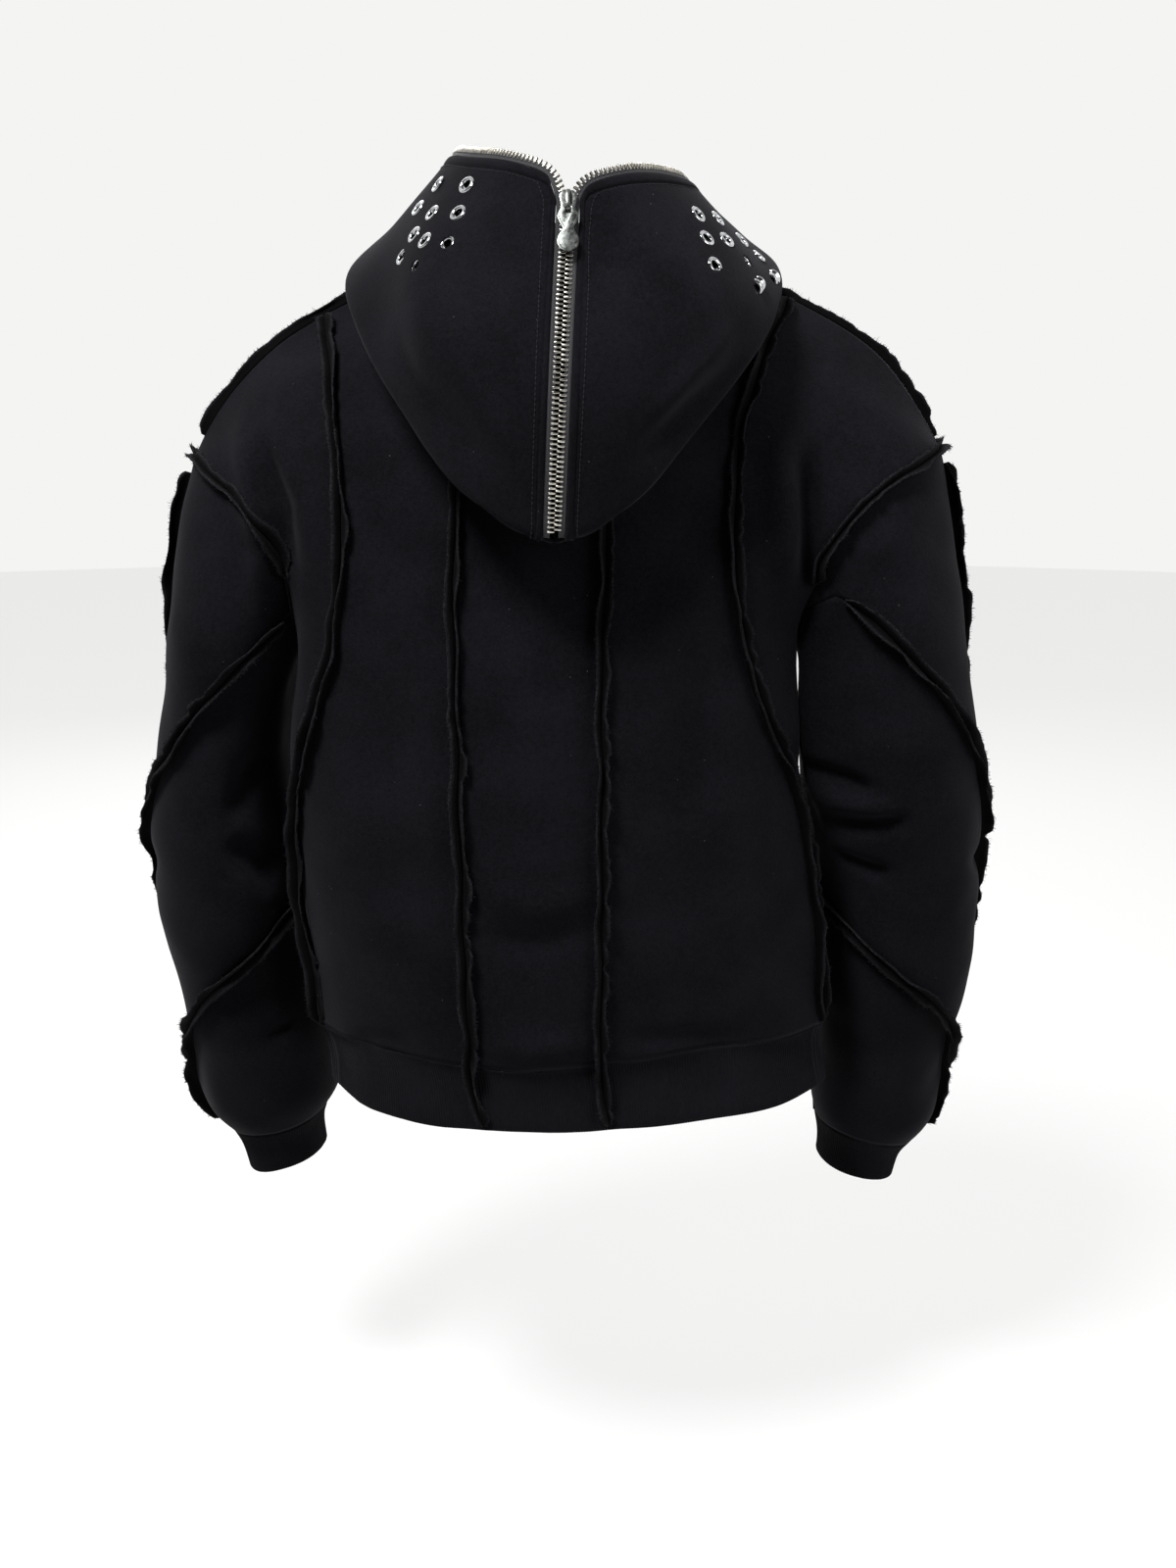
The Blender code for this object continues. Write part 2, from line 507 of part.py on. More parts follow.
def smooth_step(share):
    """Zero to one with level ends."""
    share = min(max(share, 0.0), 1.0)
    return share * share * (3 - 2 * share)


def bump(distance, size):
    """Height of a soft fold at a distance from its middle."""
    return math.exp(-0.5 * (distance / size) ** 2)


# ---------------------------------------------------------------- the cloth's skin
def sleeve_point(side, ring, angle):
    """Point of a sleeve at a ring and an angle round it."""
    x, y, z, tilt, reach, depth, sag = table_value(
        SLEEVE_RINGS[side], ring, "x", "y", "z", "tilt", "reach", "depth", "sag"
    )
    lean, turn = math.radians(tilt), math.radians(angle)
    outward = np.array([side * math.cos(lean), 0, math.sin(lean)])
    neckward = np.array([-side * math.sin(lean), 0, math.cos(lean)])
    backward = np.array([0, depth * math.sin(turn), 0])
    middle = np.array([side * x, y, z])
    return (
        middle
        - outward * reach * math.cos(turn)
        + backward
        + neckward * sag * math.sin(turn) ** 2
    )


def beside_body(side, ring, place, body_tree):
    """The sleeve's point, moved out where it would lie in the body's side."""
    gap = SLEEVE_BODY_GAP * min(ring / 1.5, 1.0)
    start = Vector((side * 0.6, place[1], place[2]))
    hit = body_tree.ray_cast(start, Vector((-side, 0, 0)))[0]
    if hit is None:
        return place
    nearest = abs(hit[0]) + gap
    if side * place[0] >= nearest:
        return place
    return np.array([side * nearest, place[1], place[2]])


def sleeve_lift(side, ring, angle):
    """How far the sleeve's folds push it out at a ring and angle."""
    lift = 0.0
    for fold in SLEEVE_FOLDS:
        if fold.side == side:
            turn = (angle - fold.angle + 180) % 360 - 180
            lift += fold.depth * bump(ring - fold.ring, fold.ring_size) * bump(turn, fold.angle_size)
    return lift * smooth_step(ring / 2) * smooth_step((CUFF_RING - ring) / 1.5)


def neck_point(side, angle):
    """Point of the neck seam at an angle round it from the back."""
    radius, z = table_value(NECK_ROWS, angle, "radius", "z")
    turn = math.radians(angle)
    x = radius * math.sin(turn)
    if angle > NEAR_FRONT_ANGLE:
        x = ZIP_HALF_GAP
    return np.array([side * x, radius * math.cos(turn), z])


def seam_mark(points, side, rows):
    """Distance along a row of the body at which a back seam crosses it."""
    lengths = lengths_along(points)
    column = "left_x" if side == LEFT else "right_x"
    for place, distance in zip(points, lengths):
        if side * place[0] >= side * table_value(rows, place[2], column)[0]:
            return distance
    return lengths[-1] * SEAM_FALLBACK


def plain_body_row(side, face, level):
    """Row of the body from its middle to the side seam or armhole, as one curve."""
    heading = -1 if face == "back" else 1
    if face == "back":
        middle = table_value(BODY_ROWS, level, "back_x", "back_y", "back_z")
    else:
        y, z = table_value(BODY_ROWS, level, "front_y", "front_z")
        middle = np.array([side * ZIP_HALF_GAP, y, z])
    middle_reach, edge_reach = table_value(BODY_ROWS, level, "middle_reach", "edge_reach")
    if level < UNDERARM_LEVEL:
        left_x, right_x, y = table_value(SIDE_ROWS, level, "left_x", "right_x", "y")
        out, forward, down = EDGE_DIRECTIONS[0][1:]
        underarm_rise = sleeve_point(side, 0, 0)[2] - table_value(BODY_ROWS, UNDERARM_LEVEL, "back_z")[0]
        share = smooth_step((level - SIDE_RISE_LEVEL) / (UNDERARM_LEVEL - SIDE_RISE_LEVEL))
        z = table_value(BODY_ROWS, level, "back_z")[0] + share * underarm_rise
        end = np.array([side * (left_x if side == LEFT else right_x), y, z])
    else:
        angle = 180 * (level - UNDERARM_LEVEL) / (TOP_LEVEL - UNDERARM_LEVEL)
        end = sleeve_point(side, 0, angle if face == "back" else 360 - angle)
        out, forward, down = table_value(EDGE_DIRECTIONS, angle, "out", "forward", "down")
    arrival = unit(np.array([side * out, heading * forward, -down]))
    return bezier(
        middle,
        middle + np.array([side * middle_reach, 0, 0]),
        end - arrival * edge_reach,
        end,
    )


def cut_body_row(side, face, points):
    """Row of the body cut at its seams into columns."""
    end = lengths_along(points)[-1]
    if face == "front":
        return columns_between(points, (0, end), (COLUMNS,))
    back_seam = seam_mark(points, side, BACK_SEAM_ROWS)
    curved_seam = seam_mark(points, side, CURVED_SEAM_ROWS)
    counts = (BACK_SEAM_COLUMN, CURVED_SEAM_COLUMN - BACK_SEAM_COLUMN, COLUMNS - CURVED_SEAM_COLUMN)
    return columns_between(points, (0, back_seam, curved_seam, end), counts)


def top_body_row(side, face):
    """Line of the neck seam and shoulder seam."""
    angles = NECK_COLUMN_ANGLES if face == "back" else [180 - angle for angle in NECK_COLUMN_ANGLES]
    neck = [neck_point(side, angle) for angle in angles]
    start, end = neck[-1], sleeve_point(side, 0, 180)
    leave = start + np.array([side * SHOULDER_OUT[0], 0, SHOULDER_OUT[1]])
    arrive = end - np.array([side * SHOULDER_DOWN[0], 0, SHOULDER_DOWN[1]])
    ridge = bezier(start, leave, arrive, end)
    seam = seam_mark(ridge, side, CURVED_SEAM_ROWS)
    counts = (CURVED_SEAM_COLUMN - NECK_POINT_COLUMN, COLUMNS - CURVED_SEAM_COLUMN)
    shoulder = columns_between(ridge, (0, seam, lengths_along(ridge)[-1]), counts)
    return np.array(neck + list(shoulder[1:]))


def softened(row, size):
    """Row of moves evened out over neighbouring columns, its two ends held."""
    if size < 0.05:
        return row
    ends = np.concatenate([-row[:0:-1], row, -row[-2::-1]])
    offsets = np.arange(-len(row) + 1, len(row))
    weights = np.exp(-0.5 * (offsets / size) ** 2)
    weights /= weights.sum()
    soft = np.array([(ends[index : index + len(offsets)] * weights[:, None]).sum(0) for index in range(len(row))])
    soft[0] = 0.0
    soft[-1] = 0.0
    return soft


def body_rows(side, face):
    """All the rows of one side of the back or front, from hem to shoulder."""
    top = top_body_row(side, face)
    turn = top - cut_body_row(side, face, plain_body_row(side, face, TOP_LEVEL))
    rows = []
    for level in BODY_LEVELS:
        row = cut_body_row(side, face, plain_body_row(side, face, level))
        climb = max(level - SHOULDER_BLEND_LEVEL, 0) / (TOP_LEVEL - SHOULDER_BLEND_LEVEL)
        blend = climb**SHOULDER_BLEND_POWER
        rows.append(row + softened(turn, SHOULDER_SOFTENING * (TOP_LEVEL - level)) * blend)
    return evened(np.array(rows))


def evened(rows):
    """Rows drawn towards the mean of the rows over and under them, the middle and the edge held."""
    for _ in range(EVENING_PASSES):
        rows[1:-1, 1:-1] += (rows[2:, 1:-1] + rows[:-2, 1:-1] - 2 * rows[1:-1, 1:-1]) / 4
    return rows


def body_lift(side, face, level, column):
    """How far the body's folds push it out at a point."""
    lift = 0.0
    for fold in BODY_FOLDS:
        if fold.side == side and fold.face == face:
            lift += (
                fold.depth
                * bump(level - fold.level, fold.level_size)
                * bump(column - fold.column, fold.column_size)
            )
    if face == "front":
        lift *= smooth_step(column / 2)
    return lift * smooth_step((COLUMNS - column) / 2) * smooth_step((TOP_LEVEL - level) / 3)


class Skin:
    """One skin of cloth whose pieces share the points along their seams."""

    def __init__(self):
        self.points = []
        self.lifts = []
        self.cells = {}
        self.places = {}
        self.centre_line = []
        self.seam_lines = []
        self.normals = None

    def add(self, place, lift=0.0):
        """Index of the point at a place, made if there is none."""
        key = tuple(int(round(value / WELD)) for value in place)
        near = [
            (key[0] + i, key[1] + j, key[2] + k)
            for i in (0, -1, 1)
            for j in (0, -1, 1)
            for k in (0, -1, 1)
        ]
        for candidate in near:
            if candidate in self.places:
                return self.places[candidate]
        self.places[key] = len(self.points)
        self.points.append(np.array(place, dtype=float))
        self.lifts.append(lift)
        return self.places[key]

    def patch(self, rows, lifts, piece_of, inside):
        """Cells between rows of points, each given to a piece; they face away from a point inside."""
        indices = [
            [self.add(place, lift) for place, lift in zip(row, lift_row)] for row, lift_row in zip(rows, lifts)
        ]
        cells = []
        facing = 0.0
        for low, (near, far) in enumerate(zip(indices, indices[1:])):
            for column in range(len(near) - 1):
                cell = (near[column], near[column + 1], far[column + 1], far[column])
                corners = [self.points[index] for index in cell]
                normal = np.cross(corners[2] - corners[0], corners[3] - corners[1])
                facing += float(np.dot(normal, sum(corners) / 4 - inside))
                cells.append((piece_of(low, column), cell))
        for piece, cell in cells:
            ordered = cell if facing > 0 else cell[::-1]
            self.cells.setdefault(piece, []).append(ordered)
        return np.array(indices)

    def settle(self):
        """Push the folds out and work out the skin's smooth normals."""
        self.points = np.array(self.points)
        self._find_normals()
        self.points = self.points + self.normals * np.array(self.lifts)[:, None]
        self._find_normals()

    def _find_normals(self):
        self.normals = np.zeros_like(self.points)
        for cells in self.cells.values():
            facing = {}
            for cell in cells:
                a, b, c, d = (self.points[index] for index in cell)
                normal = unit(np.cross(c - a, d - b))
                for index in cell:
                    facing[index] = facing.get(index, 0) + normal
            for index, normal in facing.items():
                self.normals[index] += unit(normal)
        self.normals[self.centre_line, 0] = 0.0
        for line in self.seam_lines:
            for before, index, after in zip(line[:1] + line, line, line[1:] + line[-1:]):
                along = unit(self.points[after] - self.points[before])
                self.normals[index] -= along * np.dot(self.normals[index], along)
        sizes = np.linalg.norm(self.normals, axis=1)
        self.normals /= np.maximum(sizes, 1e-12)[:, None]

    def solid(self, piece, wall):
        """Points and triangles of one piece as a closed wall, half a seam's gap inside its borders."""
        cells = self.cells[piece]
        directed = {}
        for cell in cells:
            for start, end in zip(cell, cell[1:] + cell[:1]):
                directed[(start, end)] = directed.get((start, end), 0) + 1
        border = [edge for edge in directed if (edge[1], edge[0]) not in directed]
        middles = {}
        for cell in cells:
            for edge in zip(cell, cell[1:] + cell[:1]):
                middles[edge] = sum(self.points[index] for index in cell) / 4
        inward = {}
        for start, end in border:
            along = unit(self.points[end] - self.points[start])
            for index in (start, end):
                way = np.cross(self.normals[index], along)
                if np.linalg.norm(way) < STEEPEST_SEAM:
                    way = middles[start, end] - self.points[start]
                    way -= along * np.dot(way, along)
                inward.setdefault(index, []).append(unit(way))
        used = sorted({index for cell in cells for index in cell})
        order = {index: place for place, index in enumerate(used)}
        outer = []
        for index in used:
            place = self.points[index]
            if index in inward:
                ways = inward[index]
                total = sum(ways)
                place = place + total / max(float(np.dot(total, ways[0])), 0.5) * SEAM_GAP / 2
            outer.append(place)
        outer = np.array(outer)
        inner = outer - self.normals[used] * wall
        count = len(used)
        triangles = []
        for cell in cells:
            a, b, c, d = (order[index] for index in cell)
            if np.linalg.norm(outer[a] - outer[c]) <= np.linalg.norm(outer[b] - outer[d]):
                halves = ((a, b, c), (a, c, d))
            else:
                halves = ((a, b, d), (b, c, d))
            for half in halves:
                triangles.append(half)
                triangles.append(tuple(index + count for index in half[::-1]))
        for start, end in border:
            a, b = order[start], order[end]
            if start < end:
                triangles.append((a, b + count, b))
                triangles.append((a, a + count, b + count))
            else:
                triangles.append((a, a + count, b))
                triangles.append((b, a + count, b + count))
        return np.concatenate([outer, inner]), triangles


# ---------------------------------------------------------------- objects
def material(name):
    """Material of a given name, made once."""
    found = bpy.data.materials.get(name)
    if found is None:
        found = bpy.data.materials.new(name)
        found.use_nodes = True
        shader = found.node_tree.nodes["Principled BSDF"]
        shader.inputs["Base Color"].default_value = COLOURS[name]
        shader.inputs["Metallic"].default_value = 1.0 if name in METALS else 0.0
        shader.inputs["Roughness"].default_value = 0.3 if name in METALS else 0.95
        found.diffuse_color = COLOURS[name]
    return found


def make_object(name, points, faces, finish, origin=(0, 0, 0)):
    """Object with outward faces, its origin at a given place."""
    middle = np.array(origin, dtype=float)
    mesh = bpy.data.meshes.new(name)
    mesh.from_pydata([tuple(point - middle) for point in points], [], [tuple(face) for face in faces])
    shape = bmesh.new()
    shape.from_mesh(mesh)
    bmesh.ops.triangulate(shape, faces=[face for face in shape.faces if len(face.verts) > 3])
    bmesh.ops.recalc_face_normals(shape, faces=shape.faces)
    if shape.calc_volume(signed=True) < 0:
        bmesh.ops.reverse_faces(shape, faces=shape.faces)
    shape.to_mesh(mesh)
    shape.free()
    mesh.materials.append(material(finish))
    made = bpy.data.objects.new(name, mesh)
    made.location = origin
    bpy.context.scene.collection.objects.link(made)
    return made


def combine(made, cutter_points, cutter_faces, operation):
    """Cut a shape out of an object, or join it on, for good."""
    mesh = bpy.data.meshes.new("cutter")
    mesh.from_pydata([tuple(point) for point in cutter_points], [], cutter_faces)
    shape = bmesh.new()
    shape.from_mesh(mesh)
    bmesh.ops.recalc_face_normals(shape, faces=shape.faces)
    shape.to_mesh(mesh)
    shape.free()
    cutter = bpy.data.objects.new("cutter", mesh)
    cutter.hide_render = True
    cutter.display_type = "WIRE"
    bpy.context.scene.collection.objects.link(cutter)
    modifier = made.modifiers.new("combine", "BOOLEAN")
    modifier.operation = operation
    modifier.solver = "EXACT"
    modifier.object = cutter
    view = bpy.context.evaluated_depsgraph_get()
    result = bpy.data.meshes.new_from_object(made.evaluated_get(view))
    made.modifiers.clear()
    made.data = result
    bpy.data.objects.remove(cutter, do_unlink=True)
    cleaned = bmesh.new()
    cleaned.from_mesh(result)
    bmesh.ops.remove_doubles(cleaned, verts=cleaned.verts, dist=0.005 * MM)
    bmesh.ops.dissolve_degenerate(cleaned, edges=cleaned.edges, dist=0.005 * MM)
    bmesh.ops.triangulate(cleaned, faces=cleaned.faces)
    cleaned.to_mesh(result)
    cleaned.free()


def swept(sections):
    """Points and faces of a closed body through sections of as many points each."""
    count = len(sections[0])
    points = [point for section in sections for point in section]
    faces = []
    for station in range(len(sections) - 1):
        for index in range(count):
            after = (index + 1) % count
            near, far = station * count, (station + 1) * count
            faces.append((near + index, near + after, far + after, far + index))
    faces.append(tuple(reversed(range(count))))
    last = (len(sections) - 1) * count
    faces.append(tuple(range(last, last + count)))
    return points, faces


# ---------------------------------------------------------------- body and sleeves
def build_body_skin():
    """Skin of body, sleeves, ribs and cuffs, with the lines of its seams."""
    skin = Skin()
    seams = {}
    grids = {}
    for side in (LEFT, RIGHT):
        word = SIDE_NAMES[side]
        for face in ("back", "front"):
            rows = body_rows(side, face)
            lifts = [
                [body_lift(side, face, level, column) for column in range(COLUMNS + 1)] for level in BODY_LEVELS
            ]
            if face == "front":
                pieces = [f"front_{word}"] * COLUMNS
            else:
                pieces = (
                    ["back_centre"] * BACK_SEAM_COLUMN
                    + [f"back_{word}"] * (CURVED_SEAM_COLUMN - BACK_SEAM_COLUMN)
                    + [f"side_{word}"] * (COLUMNS - CURVED_SEAM_COLUMN)
                )
            middle = np.array([0.0, 0.0, -0.4])
            grids[(side, face)] = skin.patch(rows, lifts, lambda row, column, names=pieces: names[column], middle)
        add_hem(skin, side, grids, seams)
    body_tree = body_side_tree(skin)
    for side in (LEFT, RIGHT):
        word = SIDE_NAMES[side]
        add_sleeve(skin, side, seams, body_tree)
        back = grids[(side, "back")]
        hem = seams[f"hem_{word}"]
        seams[f"vertical_{word}"] = list(hem[::-1, BACK_SEAM_COLUMN]) + list(back[1:, BACK_SEAM_COLUMN])
        seams[f"curved_{word}"] = list(back[:, CURVED_SEAM_COLUMN])
        seams[f"shoulder_{word}"] = list(back[-1, CURVED_SEAM_COLUMN:])
        front = grids[(side, "front")]
        seams[f"armhole_{word}"] = list(back[UNDERARM_LEVEL:, COLUMNS]) + list(front[-2:UNDERARM_LEVEL:-1, COLUMNS])
        seams[f"zip_front_{word}"] = list(hem[::-1, -1]) + list(front[1:, 0])
        skin.centre_line.extend(seams[f"zip_front_{word}"])
        skin.seam_lines.append(seams[f"armhole_{word}"])
    skin.settle()
    return skin, seams


def add_hem(skin, side, grids, seams):
    """Hem rib of one side, hanging from the bottom row of the body."""
    word = SIDE_NAMES[side]
    back = [skin.points[index] for index in grids[(side, "back")][0]]
    front = [skin.points[index] for index in grids[(side, "front")][0]]
    back_lifts = [skin.lifts[index] for index in grids[(side, "back")][0]]
    front_lifts = [skin.lifts[index] for index in grids[(side, "front")][0]]
    line = back + front[-2::-1]
    line_lifts = back_lifts + front_lifts[-2::-1]
    rows, lifts = [], []
    for rib in HEM_ROWS:
        row, row_lifts = [], []
        for place, lift in zip(line, line_lifts):
            inward = unit(np.array([-place[0] * HEM_SIDE_TUCK, -place[1], 0.0]))
            moved = place + inward * rib.tuck + np.array([rib.shift, 0, -rib.drop])
            if abs(abs(place[0]) - ZIP_HALF_GAP) < WELD and place[1] < 0:
                moved[0] = place[0]
            row.append(moved)
            row_lifts.append(lift * (1 - HEM_LIFT_FADE * rib.step))
        rows.append(np.array(row))
        lifts.append(row_lifts)
    names = ["hem_rib_back"] * BACK_SEAM_COLUMN + [f"hem_rib_{word}"] * (len(line) - 1 - BACK_SEAM_COLUMN)
    seams[f"hem_{word}"] = skin.patch(
        rows, lifts, lambda row, column: names[column], np.array([0.0, 0.0, -0.62])
    )


def body_side_tree(skin):
    """Search tree of the body's skin as far as it is made."""
    cells = [cell for cells in skin.cells.values() for cell in cells]
    return BVHTree.FromPolygons([Vector(point) for point in skin.points], cells)


def add_sleeve(skin, side, seams, body_tree):
    """Two winding panels of a sleeve and its cuff."""
    word = SIDE_NAMES[side]
    inside = sleeve_point(side, 7, 0) * 0.5 + sleeve_point(side, 7, 180) * 0.5
    winding = [table_value(WINDING_ROWS[side], ring, "outer_seam", "under_seam") for ring in SLEEVE_STEPS]
    first_columns, second_columns = SLEEVE_COLUMNS - UNDER_SEAM_STEPS, SLEEVE_COLUMNS + UNDER_SEAM_STEPS
    spans = {
        f"sleeve_{word}_first": ([(under, outer) for outer, under in winding], first_columns),
        f"sleeve_{word}_second": ([(outer, under + 360) for outer, under in winding], second_columns),
    }
    for name, (span, columns) in spans.items():
        turns = [np.linspace(start, end, columns + 1) for start, end in span]
        rows = [[sleeve_point(side, 0, turn) for turn in turns[0]]]
        for ring, ring_turns in zip(SLEEVE_STEPS[1:], turns[1:]):
            rows.append([beside_body(side, ring, sleeve_point(side, ring, turn), body_tree) for turn in ring_turns])
        lifts = [
            [sleeve_lift(side, ring, turn) for turn in ring_turns] for ring, ring_turns in zip(SLEEVE_STEPS, turns)
        ]
        grid = skin.patch(rows, lifts, lambda row, column, piece=name: piece, inside)
        if name.endswith("first"):
            seams[f"under_{word}"] = list(grid[:, 0])
            seams[f"outer_{word}"] = list(grid[:, -1])
    outer, under = winding[-1]
    cuff_turns = list(np.linspace(under, outer, first_columns + 1))
    cuff_turns += list(np.linspace(outer, under + 360, second_columns + 1))[1:]
    rows = []
    for ring in CUFF_RINGS:
        rows.append([beside_body(side, ring, sleeve_point(side, ring, turn), body_tree) for turn in cuff_turns])
    lifts = [[0.0] * len(cuff_turns) for row in rows]
    middle = sleeve_point(side, 15, 0) * 0.5 + sleeve_point(side, 15, 180) * 0.5
    skin.patch(rows, lifts, lambda row, column: f"cuff_{word}", middle)


# ---------------------------------------------------------------- hood
def hood_section(side, angle, shares):
    """Points of the hood's section at an angle round the neck."""
    names = [name for part in ("lip", "under", "fold", "bulge", "edge") for name in (part + "_r", part + "_z")]
    values = table_value(HOOD_ROWS[side], angle, *names)
    start = neck_point(side, angle)
    radius = math.hypot(start[0], start[1]) if angle <= NEAR_FRONT_ANGLE else abs(start[1])
    lip, under, fold, bulge, edge = (values[index : index + 2] for index in range(0, 10, 2))
    fade_from, fade_to = HOOD_FOLD_FADE
    fade = smooth_step((angle - fade_from) / (fade_to - fade_from))
    way = unit(fold - (under + bulge) / 2)
    beside = np.array([way[1], -way[0]])
    if np.dot(beside, under - fold) < 0:
        beside = -beside
    back_off = fold - way * HOOD_FOLD_HALF * HOOD_FOLD_BACK
    before = (back_off + beside * HOOD_FOLD_HALF) * (1 - fade) + (under + 2 * fold) / 3 * fade
    after = (back_off - beside * HOOD_FOLD_HALF) * (1 - fade) + (bulge + 2 * fold) / 3 * fade
    start_flat = (radius, start[2] + HOOD_SEAM_LIFT)
    controls = np.array([start_flat, lip, under, before, fold, after, bulge, edge])
    flat = through(controls, shares)
    turn = math.radians(angle)
    places = []
    for share, (out, height) in zip(shares, flat):
        x, y = out * math.sin(turn), out * math.cos(turn)
        if angle < BACK_EDGE_ANGLE:
            x = SEAM_GAP / 2 if share < HOOD_GAP_SHARE else ZIP_HALF_GAP
        elif angle > FRONT_EDGE_ANGLE:
            x = ZIP_HALF_GAP
        lean = HOOD_LEAN * max(HOOD_LEAN_FROM - height, 0.0) * max(math.cos(turn), 0.0)
        places.append(np.array([side * x + lean, y, height]))
    return places


def build_hood_skin():
    """Skin of both halves of the hood, with the line of its opening and of its closed zip."""
    skin = Skin()
    seams = {}
    for side in (LEFT, RIGHT):
        word = SIDE_NAMES[side]
        rows = [hood_section(side, angle, HOOD_SHARES) for angle in HOOD_ANGLES]
        lifts = [[0.0] * len(HOOD_SHARES) for row in rows]
        inside = np.array([side * HOOD_INSIDE[0], *HOOD_INSIDE[1:]])
        grid = skin.patch(rows, lifts, lambda row, column, name=f"hood_{word}": name, inside)
        closed_from = HOOD_SHARES.index(HOOD_GAP_SHARE)
        seams[f"zip_neck_{word}"] = list(grid[-1, :])
        seams[f"zip_opening_{word}"] = list(grid[::-1, -1])
        seams[f"zip_closed_{word}"] = list(grid[0, : closed_from - 1 : -1])
        skin.centre_line.extend(list(grid[0, :]) + list(grid[-1, :]))
    skin.settle()
    return skin, seams


def surface_tree(points, triangles):
    """Search tree of a closed wall's surface."""
    return BVHTree.FromPolygons([Vector(point) for point in points], triangles)


def eyelet_frame(side, spot, tree):
    """Where an eyelet sits: its middle on the cloth, the way it faces, and the cloth's height on both faces."""
    step = 0.5
    here, up = hood_section(side, spot.angle, (spot.share, spot.share + 0.01))
    onward = hood_section(side, spot.angle + step, (spot.share,))[0]
    facing = unit(np.cross(onward - here, up - here))
    if np.dot(facing, here - np.array([side * HOOD_INSIDE[0], *HOOD_INSIDE[1:]])) < 0:
        facing = -facing
    hit, normal, _, _ = tree.ray_cast(Vector(here + facing * EYELET_REACH), Vector(-facing))
    middle, facing = np.array(hit), np.array(normal)
    if np.dot(facing, here - np.array([side * HOOD_INSIDE[0], *HOOD_INSIDE[1:]])) < 0:
        facing = -facing
    across = unit(np.cross(facing, np.array([0.0, 0.0, 1.0])))
    upright = np.cross(facing, across)
    front, back = [], []
    for radius in (EYELET_HOLE_R * EYELET_LOOK_SHARE, EYELET_OUTER_R + EYELET_LOOK_OVER):
        for turn in np.linspace(0, 2 * math.pi, 16, endpoint=False):
            spot_at = middle + (across * math.cos(turn) + upright * math.sin(turn)) * radius
            above = tree.ray_cast(Vector(spot_at + facing * EYELET_REACH_ABOVE), Vector(-facing))[0]
            below = tree.ray_cast(Vector(spot_at - facing * EYELET_REACH), Vector(facing))[0]
            if above is not None:
                front.append(float(np.dot(np.array(above) - middle, facing)))
            if below is not None:
                back.append(float(np.dot(np.array(below) - middle, facing)))
    return middle, facing, across, upright, max(front), min(back)


def build_hood(skin):
    """Both halves of the hood, with holes where the eyelets are set, and the eyelets."""
    for side in (LEFT, RIGHT):
        word = SIDE_NAMES[side]
        points, triangles = skin.solid(f"hood_{word}", HOOD_WALL)
        made = make_object(f"hood_{word}", points, triangles, "fleece")
        tree = surface_tree(points, triangles)
        cutter_points, cutter_faces = [], []
        for number, spot in enumerate(EYELETS[side], start=1):
            middle, facing, across, upright, front, back = eyelet_frame(side, spot, tree)
            rings = []
            for height in (front + HOLE_OVER, back - HOLE_OVER):
                rings.append(ring_points(middle + facing * height, across, upright, EYELET_HOLE_R, EYELET_CORNERS))
            hole_points, hole_faces = swept(rings)
            first = len(cutter_points)
            cutter_points.extend(hole_points)
            cutter_faces.extend(tuple(index + first for index in face) for face in hole_faces)
            build_eyelet(f"eyelet_{word}_{number}", middle, facing, across, upright, front, back)
        combine(made, cutter_points, cutter_faces, "DIFFERENCE")


def ring_points(middle, across, upright, radius, count):
    """Points of a circle."""
    turns = np.linspace(0, 2 * math.pi, count, endpoint=False)
    return [middle + (across * math.cos(turn) + upright * math.sin(turn)) * radius for turn in turns]


def build_eyelet(name, middle, facing, across, upright, front, back):
    """Eyelet with a rim on both faces of the cloth and a barrel through its hole."""
    clear = EYELET_CLEAR
    barrel = EYELET_HOLE_R - EYELET_BARREL_CLEAR
    bore = barrel - EYELET_BARREL
    profile = (
        (bore, front + clear + EYELET_RIM * EYELET_BORE_SHARE),
        (bore + EYELET_CROWN, front + clear + EYELET_RIM),
        (EYELET_OUTER_R, front + clear),
        (barrel, front + clear),
        (barrel, back - clear),
        (EYELET_OUTER_R - EYELET_BACK_LESS, back - clear),
        (bore, back - clear - EYELET_RIM * EYELET_BORE_SHARE),
    )
    count = EYELET_CORNERS
    rings = [ring_points(middle + facing * height, across, upright, radius, count) for radius, height in profile]
    points = [point for ring in rings for point in ring]
    faces = []
    for index in range(len(profile)):
        after = (index + 1) % len(profile)
        for turn in range(count):
            onward = (turn + 1) % count
            faces.append(
                (index * count + turn, index * count + onward, after * count + onward, after * count + turn)
            )
    make_object(name, points, faces, "chrome", middle)


